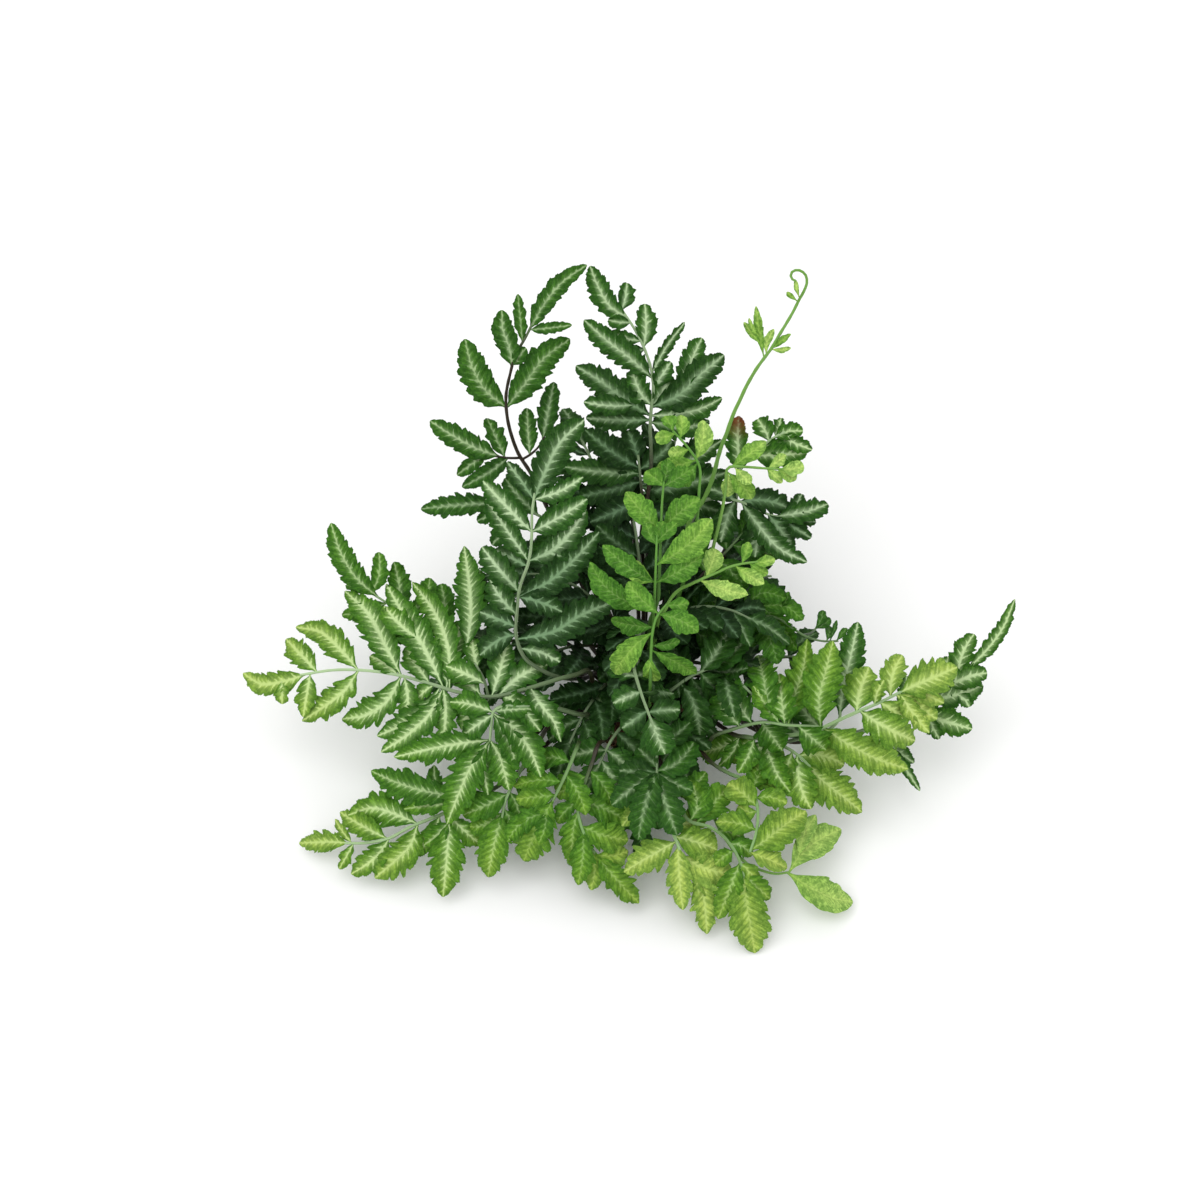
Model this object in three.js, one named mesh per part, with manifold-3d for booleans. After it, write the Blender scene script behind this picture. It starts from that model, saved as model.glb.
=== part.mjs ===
// Silver lace fern, a whole young plant lifted with its rootstock.
// Millimetres, +Z up. The origin is the centre of the flat underside of the
// root mass, which is the face the plant rests on. +X is the plant's right,
// -Y its front, where the lower fronds arch down to the surface.
//
// Every frond is one grown piece: a wiry stalk that rises from the crown, the
// midrib it turns into, its side midribs, and the leaflets along them.
import * as THREE from 'three';
import Module from 'manifold-3d';

const wasm = await Module();
wasm.setup();

// ---- driving dimensions (mm) ----
const ROOT_RADIUS = 31;        // half width of the root mass
const ROOT_HEIGHT = 21.6;      // resting face to the top of the root mass
const ROOT_SIDES = 18;
const CROWN_RADIUS_X = 20.5;   // ring on which the outer stalks stand
const CROWN_RADIUS_Y = 16.5;
const CROWN_BOTTOM = 22.0;     // 0.4 above the root mass
const CROWN_SIDES = 16;
const LEAFLET_THICKNESS = 0.9; // at the midrib
const ROOT_HALF_WIDTH = 0.3;   // half width of a leaflet where it leaves its midrib
const STALK_SIDES = 4;
const STALK_SCALE = 1.15;      // corner radius of a stalk section over its mean radius

// Half width of a leaflet along its length, as a share of its widest half.
const OUTLINE_AT = [0, 0.05, 0.14, 0.30, 0.50, 0.70, 0.86, 0.95, 1];
const OUTLINE = [0.10, 0.14, 0.55, 0.95, 1, 0.82, 0.5, 0.26, 0.05];

// Each frond: axes are rows of [x, y, z, radius] points, the first one the
// stalk and main midrib, the others side midribs. Each leaflet is
// [greatest width, upper side's normal x, y, z, then points from base to tip].

const FRONDS = [
  { name: 'frond_back_left', tone: 0.3, kind: 'old',
   axes: [[[-14.1,12,27.5,1.15],[-22.2,21.8,42.9,1.11],[-29.9,31.5,58.2,1.07],[-37.3,40.8,73.5,1.02],[-44.7,49.6,88.6,0.98],[-52.1,57.9,103.4,0.94],[-59.6,66,118,0.9],[-65.1,70.2,126.4,0.86],[-68.5,73.4,136.4,0.81],[-70.6,77.1,146.6,0.77],[-71.1,83,155.7,0.73],[-69,88,165.3,0.68],[-66,92.8,174.7,0.64],[-60.8,95.8,183.9,0.59],[-56.1,99.9,193,0.55]],
    [[-64.1,69.4,124.8,0.6],[-70.3,67.9,126.3,0.55],[-76.4,66.9,128.6,0.5],[-82.5,66.2,131.1,0.45]],
    [[-63.5,69,124,0.6],[-58.3,72.4,125.2,0.55],[-54,76.5,127.8,0.5],[-51.4,80.9,131.8,0.45]]],
   blades: [[9.1,-0.26,-0.76,0.59,-58.9,97.4,187.5,-51.4,101.5,200.9,-42.2,106.4,211.3,-30.4,111.3,217.8],
    [14,-0.02,-0.79,0.62,-70.8,79.7,150.6,-81.4,83.4,159.4,-88,90.9,168.8,-91.4,101.2,177.4],
    [14,0.1,-0.79,0.6,-70.8,79.7,150.6,-61.2,85.8,162.1,-51.7,94,171.4,-39,102.9,175.8],
    [10.8,-0.23,-0.78,0.58,-67.9,89.8,168.8,-69,94.4,177.7,-72.2,100.5,184.6,-72.7,107.7,191],
    [6.5,-0.43,-0.72,0.55,-62.4,94.9,181,-63.4,101.3,191.5,-64.6,110.3,199.4],
    [5.4,-0.23,-0.8,0.55,-58.9,97.4,187.5,-48.3,94.8,191.2,-37.8,95,192.9],
    [11.8,0.3,-0.35,0.89,-74.6,67.2,128,-86.6,66.7,134.9,-98.2,70.4,140.2,-109.5,77.2,143.6],
    [9.7,0.34,-0.31,0.89,-72.1,67.6,127,-75.1,72.7,131.3,-78.2,78.7,134.6,-81.3,85.8,136.8],
    [7.5,0.32,-0.44,0.84,-81.6,66.3,130.7,-88.7,59,131.2,-95.7,53.4,129.4],
    [8.6,0.29,-0.43,0.85,-70.5,67.8,126.4,-81.1,56.4,126.8,-93.2,49.4,124.8],
    [8.6,0.02,-0.3,0.95,-59.7,71.5,124.9,-60.6,82.8,130.2,-61.3,96.8,132.8],
    [10,-0.1,-0.55,0.83,-53.2,77.9,129.1,-51.1,84.7,136.4,-49.3,92.9,142,-47.4,102.4,146],
    [7.5,-0.04,-0.54,0.84,-54,76.5,127.9,-44.6,79.3,132,-36.7,86.3,134.9],
    [6.9,-0.15,-0.81,0.57,-67.5,90.4,170,-64.8,91.6,173.7,-60.8,94.5,177.7]] },
  { name: 'frond_back_centre', tone: 0.12, kind: 'old',
   axes: [[[-1.6,9.9,33.5,1.15],[-1.1,15.1,50.6,1.11],[-0.5,21.7,67.7,1.07],[-1.6,29.2,84.7,1.02],[-3.1,37.6,101,0.98],[-0.4,47.3,115.6,0.94],[1.6,57.3,128.8,0.9],[1.6,63.9,137.1,0.86],[1.1,69.5,146,0.81],[1.6,75.4,154.7,0.77],[2.6,81.4,163.3,0.73],[1.1,87.4,171.7,0.68],[-2.4,93.5,179.6,0.64],[-7.3,99.4,186.9,0.59],[-13.1,104.6,194,0.55]]],
   blades: [[10.5,0.21,-0.62,0.76,-10.8,102.5,191.1,-19.5,104.2,197.6,-24.9,110.5,204.3,-28.9,119.2,209.9],
    [7.7,0.28,-0.6,0.75,-13.1,104.6,194,-11.5,109.3,198.5,-10.6,115.6,201.9],
    [6.6,0.16,-0.68,0.71,-9,100.9,189,-14.6,99.8,190.3,-20,100.5,191.1],
    [6.6,-0.01,-0.66,0.75,-3.7,95.2,181.7,-11.6,95.5,183.6,-19,98.7,184.7],
    [9.9,0.2,-0.65,0.73,-2.3,93.4,179.4,-1.3,97.8,184.9,-1.3,103.2,189.7,-1.7,109.5,193.5],
    [12.1,0,-0.77,0.63,1.9,84.2,167.1,-9.1,88.2,176.8,-20.9,93.8,183.8,-31.9,102.3,189.4],
    [5.5,0.15,-0.75,0.65,1.6,85.4,168.9,8.9,93.3,179.8,18.2,104,186.4],
    [14.4,0.04,-0.79,0.61,1.7,75.7,155,15.2,77,162.3,26,83.6,170.1,37.7,92.8,174.6],
    [11,-0.19,-0.45,0.87,16.6,77.9,163.3,19.2,85.5,168.7,22.6,93.5,173.5,26.9,101.6,177.8],
    [13.2,-0.13,-0.79,0.61,1.4,73.2,151.5,-11.4,77.1,158.5,-23.2,83.8,164.6,-36,92,167.7],
    [9.9,0.19,-0.53,0.83,-7.3,75.9,156.3,-15.5,73.1,158.4,-23.7,72.5,159.9,-32,73.8,160.6],
    [11,-0.16,-0.82,0.55,1.3,72,149.7,-9.5,71.7,149.9,-20.2,73.1,148.9,-31,76.2,146.7],
    [11,-0.13,-0.74,0.66,1.8,76.3,155.9,-3,78.7,160.4,-5.9,83,164.7,-8,88.7,168.1],
    [11,0.01,-0.74,0.67,1.8,76.3,155.9,5.9,78.6,159.6,8.5,82.2,163.6,9.9,86.7,167.3],
    [9.9,0.09,-0.81,0.58,1.4,73.2,151.5,13.7,72.7,153.1,25.8,75,154.6,37,80.7,156.4],
    [11,0.1,-0.83,0.55,1.3,71.4,148.8,10.3,70.1,148,19.4,70.3,146.6,28.6,72.9,145.9],
    [7.7,-0.09,-0.81,0.59,-1.9,92.8,178.6,-8.5,91.6,177.7,-15,91.6,175],
    [8.6,0,-0.77,0.64,2.6,81.4,163.3,6.3,84,168,11.3,89.5,172.9]] },
  { name: 'frond_back_inner', tone: 0.05, kind: 'old',
   axes: [[[-5.1,9.2,33.5,1.15],[-4.2,10.9,44,1.11],[-2.9,12.8,55.1,1.07],[-1.5,15.1,66,1.02],[-0.3,18.4,76.2,0.98],[0.4,22.9,85.2,0.94],[0.3,29,92.4,0.9],[-0.3,35.7,98.2,0.84],[-1,42.4,103.9,0.78],[-1.9,48.7,110.2,0.73],[-3,54.3,117.2,0.67],[-3.9,59.2,125,0.61],[-4.9,63.7,133,0.55]]],
   blades: [[12.7,0.01,-0.74,0.67,-4.1,60.3,126.9,-13.9,62.2,133,-23,66.5,137.8,-31.5,73.1,141.3],
    [12.7,-0.01,-0.73,0.69,-3.8,58.9,124.5,-16.5,57.5,126.5,-29.1,58.3,127.2,-41.7,61.5,126.6],
    [12.7,0.01,-0.73,0.68,-3.4,56.7,120.9,-13.9,53.2,120.3,-24.5,51.4,118.4,-35.1,51.2,115.4],
    [11.5,0.03,-0.72,0.7,-4.6,62.3,130.6,-6.1,65.4,134.8,-7.9,68.9,138.5,-9.9,72.8,141.6],
    [11.5,0.09,-0.74,0.67,-4,59.9,126.3,2.1,62.4,129.8,7.8,65.9,133,12.3,70.9,136.3],
    [11.5,0.1,-0.74,0.67,-3.2,55.2,118.6,4.5,54,117.6,12,52.8,115.2,19.1,51.6,111.2],
    [12.7,0.16,-0.59,0.79,-2.4,51.1,113.1,-11.3,43.9,115.4,-20.1,40.3,113.9,-29,39.2,109.8],
    [12.7,-0.04,-0.87,0.49,-2.1,49.4,111,6.2,43.5,111.3,14.8,41.2,108.1,23.5,42.8,101.1],
    [11.5,0.08,-0.71,0.7,-3.6,57.4,122.1,10.7,59.2,127.1,24.5,64.6,130.9,37.6,73.5,133.6],
    [11.5,0.05,-0.63,0.77,-2.8,53.2,115.8,11.8,54.5,118.9,26.4,57.7,120.5,40.8,63.1,121.1],
    [11.5,0.07,-0.67,0.74,-1.8,48,109.5,12.4,46.3,113.6,26.8,47.4,112.6,40.9,48.4,105.7],
    [10.4,0.03,-0.72,0.69,-3.6,57.8,122.7,-10,60.5,127.9,-16.8,63.8,131.6,-24,67.7,133.9]] },
  { name: 'young_crozier', tone: 0.95, kind: 'crozier',
   axes: [[[8.53,7.55,33.5,1.1],[11.2,12.58,62.73,1.08],[13.3,17.45,63.22,1.07],[9.98,21.77,80.96,1.05],[15.63,25.79,91.91,1.03],[18.72,29.23,105.16,1.02],[20.97,33.25,118,1],[24.18,35.42,122.98,0.98],[27.51,38.09,127.62,0.96],[29.89,40.23,133.04,0.94],[31.74,42.23,138.72,0.93],[33.17,44.53,144.42,0.91],[34.51,47.63,149.71,0.89],[36.26,50.23,155.12,0.87],[38.21,52.01,160.85,0.85],[39.93,54.2,166.51,0.83],[41.93,56.56,172,0.81],[44.44,59.12,177.19,0.79],[46.83,61.71,182.42,0.78],[49.45,63.52,187.86,0.76],[52.29,65.08,193.27,0.74],[55.81,67.43,197.94,0.72],[59.25,69.3,202.87,0.7],[61.81,71.43,207.55,0.68],[65.61,75.67,212.11,0.67],[68.92,79.54,216.36,0.65],[71.75,83.4,220.6,0.64],[74.09,86.15,223.91,0.63],[75.47,88.9,227.22,0.61],[74.44,91.27,230.21,0.6],[71.02,92.18,231.97,0.59],[68.08,90.87,231.88,0.58],[67.55,88.1,230.55,0.56],[69.88,86.43,230.15,0.55]]],
   blades: [[5,-0.4,-0.6,0.7,55.42,67.17,197.42,53.13,76.66,205.66,51.6,87.57,212.73],
    [4.4,-0.03,-0.63,0.78,54.24,72.04,201.65,49.56,75.53,205.54,45.73,80.93,208.42],
    [2.8,0.11,-0.76,0.64,53.6,74.72,203.97,49.73,76.27,208.23,47.99,80.4,211.58],
    [4.4,-0.32,-0.48,0.82,56.45,67.78,198.86,56.66,72.19,202.23,60.24,78.11,206.46],
    [3.9,-0.33,-0.71,0.62,58.5,68.89,201.8,63.05,69.15,206.77,67.95,71.38,209.59],
    [3.3,-0.27,-0.75,0.6,58.5,68.89,201.8,63.32,67.51,202.72,68.07,67.33,204.18],
    [2.8,-0.31,-0.69,0.65,71.57,81.36,224.01,70.3,83.9,227.3,69.9,87.4,229.9],
    [2.8,-0.33,-0.69,0.64,70.73,80.55,222.54,67.9,82.2,223.9,65.8,84.7,224.7]] },
  { name: 'young_frond_top', tone: 0.85, kind: 'young',
   axes: [[[3.6,3,36,1],[5.5,3,58.3,0.97],[9.6,0.4,66.9,0.93],[13.9,-1.2,82.4,0.9],[14.2,-2.9,97.2,0.87],[17.4,0.2,109.6,0.83],[20.2,3.3,122,0.8],[22.1,10.2,131.1,0.75],[23.7,17,140.3,0.7],[24.3,23.9,149.6,0.65],[24.5,31.6,158.3,0.6],[19.1,36.9,166,0.55],[11.4,41.9,173,0.5]]],
   blades: [[6.9,0.18,-0.64,0.75,12.6,41.2,172,7.7,38.8,172.1,2.6,38.7,172.2],
    [6.9,0.23,-0.55,0.8,11.4,41.9,173,9.7,44.4,175.9,7.5,47.4,177.8],
    [6.9,0.28,-0.47,0.83,14.9,39.6,169.9,15.8,44.4,173.2,15.4,50.1,175.7],
    [9.5,0.28,-0.63,0.72,22.5,33.6,161.2,25,37.9,165.7,26.4,43.1,169.8,26.1,49,173.3],
    [9,0.17,-0.73,0.66,22.5,33.6,161.2,15.9,30.3,161.9,9.3,28.5,161.5,2.7,28.1,160.1],
    [7.9,0.19,-0.77,0.61,23.3,32.7,160,18.9,28.1,156.8,14.5,24.6,152.5],
    [6.3,0.15,-0.72,0.68,19.4,36.6,165.6,14.3,34.8,165.7,9,34.4,165.5]] },
  { name: 'young_frond_inner', tone: 0.8, kind: 'young',
   axes: [[[-0.4,-4,36,1],[-0.5,-9.3,61,0.97],[0,-15.3,67.4,0.93],[-0.2,-22.2,78.7,0.9],[0.6,-23,95,0.87],[0.6,-21.2,105.4,0.83],[4.3,-16.9,115.6,0.8],[4.7,-10.5,122.9,0.75],[5.2,-4.3,130.2,0.7],[5.4,1.8,137.8,0.65],[5.7,7.8,145.4,0.6],[6.1,14,152.8,0.55],[6.9,20.3,160,0.5]]],
   blades: [[9,-0.11,-0.67,0.73,6.8,18.9,158.4,4.1,21.5,159.6,1.1,23.4,161,-2.2,24.7,162.4],
    [9,0.04,-0.68,0.73,6.8,18.9,158.4,11.1,19.8,161,15.3,21.9,162.7,19.5,25.1,163.4],
    [6.9,0,-0.55,0.83,6.9,20.3,160,8.4,24.3,163.7,8.9,29.7,166.2],
    [11.6,-0.05,-0.72,0.69,5.6,4.7,141.6,-0.5,8,147,-6.2,12.6,151.4,-11.4,18.5,154.8],
    [11.6,0.03,-0.73,0.69,5.6,5.2,142.1,11.3,8.1,147.3,17.5,11.7,150.9,24.5,15.9,152.7]] },
  { name: 'young_frond_centre', tone: 0.82, kind: 'young',
   axes: [[[2.4,-9.8,33.5,1],[2.1,-13.2,42.7,0.97],[1.5,-18.7,51.9,0.93],[0.9,-24.6,61,0.9],[0.5,-29.6,69.9,0.87],[0.3,-32.2,78.3,0.83],[0.6,-30.9,86.3,0.8],[1.5,-26.1,96.4,0.75],[2.1,-22.8,108.2,0.7],[2.5,-19.1,119.2,0.65],[2.8,-14.4,128.9,0.6],[3.1,-9.1,138.2,0.55],[3.5,-1.5,146,0.5]]],
   blades: [[10.6,-0.11,-0.87,0.48,2.8,-15.4,126.9,-6.5,-13.4,132.4,-14.9,-9.6,137.3,-22.6,-4,141.5],
    [12.7,-0.13,-0.87,0.47,2.4,-19.8,117.1,-11.5,-19.8,118.5,-22.1,-15.1,124.6,-28.8,-7,132.4],
    [8.4,-0.12,-0.86,0.5,2.8,-15.4,126.9,-4.8,-13.6,130.7,-9.5,-8.6,135.8],
    [7.4,0.03,-0.61,0.79,3.3,-4.9,142.5,5.5,-0.9,146.5,6.4,4.3,149.6],
    [6.3,0.04,-0.7,0.72,3.4,-3.8,143.6,8.1,-1.3,147.8,13.1,2.9,149.7],
    [6.3,-0.13,-0.54,0.83,3.3,-4.9,142.5,0.1,-0.6,145.1,-1.8,4.6,147.9],
    [13.7,0.06,-0.84,0.54,3,-11,134.8,13.1,-8.8,141.3,22.2,-4.2,147.3,29.9,2.7,152.9],
    [10.6,0.08,-0.87,0.48,2.8,-15.4,126.9,10.8,-14.2,131.1,18.3,-11.5,134.7,25.3,-7.2,137.9]] },
  { name: 'young_frond_right', tone: 0.92, kind: 'young',
   axes: [[[2.9,-3.4,36,1],[2.1,-7.6,57.4,0.97],[2.2,-11,64.4,0.93],[2.4,-14.6,75.6,0.9],[3.5,-17.2,86.9,0.87],[5.4,-16.5,104,0.83],[7.3,-18.2,108,0.8],[10.5,-14,112.8,0.76],[14.6,-12.5,118.1,0.73],[19.7,-13.3,123,0.69],[25.8,-12.6,126.5,0.65],[32.3,-10,127.8,0.61],[38.8,-7.6,129.4,0.57],[45.7,-6.5,130.7,0.54],[52.7,-5.7,131,0.5]]],
   blades: [[9.5,0.01,-0.32,0.95,27.6,-11.9,126.8,29.5,-8,129.1,31.2,-3.3,130.7,32.6,2.1,131.6],
    [5.3,-0.08,-0.34,0.94,44.9,-6.6,130.6,46.9,-2,133.3,48.6,3.9,134.7],
    [6.3,0.08,-0.38,0.92,49.9,-6,130.9,55.6,-6.1,131.3,61.1,-3.7,130.9],
    [6.3,0.23,-0.49,0.84,48.5,-6.2,130.8,52.7,-8.9,129,57.7,-9.4,126.4],
    [6.9,-0.05,-0.46,0.89,41.5,-7.2,129.9,48.2,-12.5,128.9,55.5,-15.7,126.3],
    [8.4,-0.31,-0.53,0.79,24.4,-12.8,125.7,35.5,-20.2,127.5,47.4,-23.6,127.4]] },
  { name: 'young_frond_low', tone: 0.78, kind: 'young',
   axes: [[[-1.2,-10,33.5,1],[-1,-16.7,44,0.97],[-0.7,-27,53.7,0.93],[-0.4,-38.3,62.8,0.9],[-0.1,-48.3,71.7,0.87],[0.1,-54.3,80.7,0.83],[0.3,-54,90.3,0.8],[0.4,-50.6,98.2,0.75],[0.5,-46.3,104.9,0.7],[0.8,-42,110.9,0.65],[1.3,-38.5,117.2,0.6],[3.3,-33.6,122.8,0.55],[8.2,-29,127,0.5]]],
   blades: [[10.6,-0.21,-0.79,0.57,4.4,-32.6,123.8,11,-35.4,124.6,17.3,-38,123.3,23.1,-40.5,119.8],
    [6.9,-0.24,-0.72,0.65,7.8,-29.4,126.7,13.3,-30.8,128.4,18.7,-30.4,129.5],
    [5.8,0.43,-0.89,0.11,0.8,-41.9,111.1,8,-39.6,109,14.8,-35.6,106.9],
    [10,0.2,-0.98,0.08,0.7,-43.2,109.3,8.4,-43.1,103.6,15.7,-42.2,96.1,23.1,-40.3,87],
    [7.9,-0.04,-0.94,0.34,0.6,-44.8,107,0.2,-48.3,103.6,3.2,-49.8,93.5],
    [11.6,-0.11,-0.91,0.4,1.4,-38.4,117.2,-6.3,-42.1,112.8,-12.3,-45.1,105.6,-16.7,-46.2,94.5],
    [11.6,-0.47,-0.62,0.63,4.4,-32.6,123.8,-1.2,-28.4,125.8,-6.3,-23.1,127.2,-10.5,-16.4,128.6],
    [10.6,-0.46,-0.82,0.35,2,-36.9,118.9,-5,-35,117.5,-11.9,-32,115.6,-18.7,-27.7,113.4]] },
  { name: 'young_frond_right_top', tone: 0.97, kind: 'young',
   axes: [[[12.4,2.9,33.5,1],[17,7,54.8,0.97],[21,11.2,66.7,0.93],[25.5,12.3,82.8,0.9],[30,16.5,99.7,0.87],[32.6,20.3,113.8,0.83],[35.3,24.3,128,0.8],[36.9,28.5,136.4,0.75],[37.8,32.1,145.1,0.7],[38.7,35.2,154.1,0.65],[46.9,34.9,155,0.6],[56.4,34,155,0.55],[65.9,33.5,155,0.5]]],
   blades: [[7.4,0.05,-0.39,0.92,63.8,33.6,155,69.7,32.9,155.7,75.7,35.5,155.1],
    [6.3,0.08,-0.45,0.89,62.3,33.7,155,67.2,31.4,153.8,71.7,29.2,151.8],
    [9,-0.05,-0.35,0.94,39.8,35.2,154.2,45.7,38.3,157.1,51.6,42.5,158.9,57.4,47.8,159.8],
    [5.3,0.05,-0.34,0.94,58.1,33.9,155,62.6,36.8,156.6,67.1,41,157.1],
    [5.8,0.12,-0.51,0.85,57.4,34,155,61.2,30.7,153.4,64.9,28.4,150.5],
    [6.9,-0.09,-0.97,0.22,38.5,34.4,151.8,38.9,32.1,145.3,39.1,31.1,137.4],
    [9,-0.04,-0.96,0.28,38.5,34.4,151.8,43.1,32,148.7,47.3,30.4,143.9,50.9,29.8,137.4],
    [5.8,-0.06,-0.46,0.88,41.9,35.1,154.4,45.7,30.6,153.3,49.7,27.4,150.9]] },
  { name: 'frond_right_back', tone: 0.22, kind: 'old',
   axes: [[[10.9,5.4,33.5,1.15],[17.7,11.6,59.4,1.11],[24.6,17.6,63.9,1.07],[31.2,23.7,75,1.02],[37.1,29.5,87.2,0.98],[41.4,38.9,101.5,0.94],[44.1,45.3,112.1,0.9],[44.7,50.1,119.2,0.84],[45.6,54.2,127,0.78],[48.3,57.8,134.6,0.73],[54.9,58.8,140.3,0.67],[60.6,61.2,146.4,0.61],[68,62.4,151,0.55]]],
   blades: [[11.5,-0.21,-0.8,0.56,46.4,55.2,129,45.4,59.5,138.2,44.9,65.1,146,45.4,71.9,152.6],
    [8.1,-0.22,-0.5,0.84,63,61.6,147.9,69.6,62.2,151.6,76.8,62.2,151.9],
    [9.8,-0.37,-0.59,0.72,60.3,61.1,146,58.9,63.9,148.7,57,67.2,150.5,54.9,71,151.4],
    [5.8,-0.28,-0.33,0.9,63.5,61.7,148.2,65.1,65.8,150.7,66.3,70.7,152.4],
    [7.5,-0.22,-0.65,0.73,57.7,60,143.2,64.3,58.4,145.1,71,58.4,145.8],
    [7.5,-0.28,-0.53,0.8,65.2,61.9,149.3,72.8,55.9,149.8,81,52.5,148.5],
    [11.5,-0.36,-0.57,0.74,52.6,58.4,138.2,61.1,54.8,142.2,69.8,53,144.8,78.7,52.5,146.3]] },
  { name: 'frond_right_silver', tone: 0.18, kind: 'old',
   axes: [[[5.5,9.1,33.5,1.15],[6.4,12,44.9,1.11],[7.4,16.1,56.2,1.07],[8.7,20.7,67.4,1.02],[10.5,25.6,78.2,0.98],[13,30.3,88.4,0.94],[16.5,34.3,97.9,0.9],[20.1,37.4,105.9,0.86],[23.9,41.7,112.6,0.81],[28.5,46.9,117.4,0.77],[36.6,46.7,118.8,0.73],[45,45.9,118.4,0.68],[52.9,43.9,115.8,0.64],[60.7,41.6,112.9,0.59],[69.2,40.9,111,0.55]]],
   blades: [[12,0.03,-0.34,0.94,64.9,41.2,112,73.7,41.2,113.7,82.5,43.3,114.2,91.1,48.1,113.5],
    [7.2,-0.04,-0.29,0.95,69.2,40.9,111,74.3,46.3,113.5,78.1,53.3,115.3],
    [7.2,0.03,-0.39,0.92,69.2,40.9,111,76.7,38.7,111.7,84.8,39.3,109.8],
    [12,0.26,-0.37,0.89,46.4,45.6,117.9,55.3,47.1,117.8,64.1,47.4,115.3,72.5,47.1,110.8],
    [7.2,0.1,-0.5,0.86,67.5,41,111.4,74.4,35.6,109.1,82.3,32.8,104.9],
    [10.8,0.11,-0.51,0.86,47.2,45.4,117.7,55.8,33.5,113,65.8,24.4,106.5,80,21.5,99.5],
    [14.4,-0.07,-0.45,0.89,55.1,43.3,115,55.6,37.4,109.5,55,30.3,105.4,53.7,21.3,103.6],
    [12,-0.29,-0.58,0.76,43.9,46,118.5,40.7,41.1,114,38.5,35.7,109.4,36.9,30.8,104.1],
    [10.8,0.17,-0.64,0.75,60.6,41.6,112.9,64.8,35.8,111.3,69,33,106,72.8,30.2,100.3],
    [10.4,-0.08,-0.36,0.93,45,45.9,118.4,38.4,48.9,120.2,30.5,53.1,120]] },
  { name: 'frond_right_mid', tone: 0.1, kind: 'old',
   axes: [[[5.3,0.9,36,1.15],[7,1.4,47.4,1.11],[7.1,0.3,53.6,1.07],[7.1,-1.5,60.7,1.02],[6.7,-5.8,66.2,0.98],[9.4,1,77,0.94],[12.2,2.2,81,0.9],[17.5,8.2,85.4,0.84],[22.9,14.2,89.5,0.78],[28.7,20.2,93,0.73],[35.3,25.4,96.3,0.67],[41.6,30.9,100,0.61],[47.6,35.8,104.6,0.55]]],
   blades: [[11.2,-0.16,-0.57,0.8,42.6,31.7,100.8,50.6,29.2,101,58.5,27,100.8,66.5,24.6,100.5],
    [11.2,-0.14,-0.51,0.85,45.8,34.3,103.2,49.8,38.4,106.6,53.4,42.9,109.9,56.8,47.8,113.1],
    [11.2,-0.12,-0.48,0.87,35.5,25.6,96.4,40.6,20.3,95.8,45.2,15.5,93.8,48.9,10.9,90.3],
    [11.2,-0.18,-0.19,0.97,29,20.4,93.1,27.2,27,95.2,25.1,34.3,96.3,22.8,42.5,96.2],
    [10,-0.15,-0.43,0.89,40.2,29.7,99.2,37.6,36.3,103.3,34.7,44.5,105.4],
    [11.2,0.07,-0.59,0.81,21.5,12.6,88.5,27.6,7.3,89.8,34.1,4.6,89.2,41.5,8.5,83.8],
    [12.5,-0.27,-0.69,0.68,27.2,18.6,92.1,33.9,11.6,94.2,41.1,8.3,93.5,48.8,8.2,90.1]] },
  { name: 'frond_right_inner', tone: 0.1, kind: 'old',
   axes: [[[8.8,-7.3,33.5,1.15],[8.7,-8.3,40.1,1.11],[8.1,-10,47.3,1.07],[7.6,-11.7,54.4,1.02],[7.8,-13,61.1,0.98],[9.1,-13.3,66.6,0.94],[12.2,-11.8,70.4,0.9],[18.6,-7.9,74.7,0.84],[25.2,-4.5,79.3,0.78],[32.2,-1.7,83.8,0.73],[40,-0.9,87.6,0.67],[48.3,-1.5,90.5,0.61],[56.8,-1.4,92.5,0.55]]],
   blades: [[14.4,0.18,-0.42,0.89,48.4,-1.5,90.6,55.7,1.7,88.5,62.8,1.8,87.5,69.6,-0.1,87],
    [9.6,-0.26,-0.41,0.88,47.1,-1.4,90.1,57,3.1,97.2,68.5,-0.1,97.1],
    [9.6,0.25,-0.5,0.83,56.8,-1.4,92.5,68.6,1.2,89.3,77.6,-3.9,84.6],
    [3.6,-0.55,-0.72,0.41,67.1,0.9,89.7,69.1,1.3,94.3,70.1,3.2,97.9],
    [12,-0.63,-0.44,0.64,32.5,-1.7,83.9,28,4.5,84.7,23.9,10.6,86.3,20.2,18.8,85.7],
    [12,-0.15,-0.68,0.72,43.4,-1.2,88.8,47.6,-3.6,83.1,50.8,-8.3,79.2,52.4,-15.4,77.3],
    [12,-0.23,-0.66,0.72,33.7,-1.6,84.5,37.4,-7.3,81.2,40.5,-11.5,75.4,42.6,-18.3,72],
    [12,0.08,-0.85,0.52,23.5,-5.4,78.1,29.1,-8.4,75,33.9,-12.6,71.8,37.6,-13.4,62.7],
    [13.2,-0.09,-0.51,0.85,50.3,-1.5,91,57,-5.8,83.1,61.2,-19.2,84.8,64.3,-26.4,77.5],
    [12,-0.32,-0.66,0.67,56.8,-1.4,92.5,63.3,-4.6,85.9,69.4,-10.4,81.6,73.9,-20.7,81.7],
    [12,0.15,-0.63,0.76,25.6,-4.4,79.5,34.8,-5.3,79.7,43.9,-6,77.9,52.5,-6.7,72.1]] },
  { name: 'small_arching_frond', tone: 0.35, kind: 'small',
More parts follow.
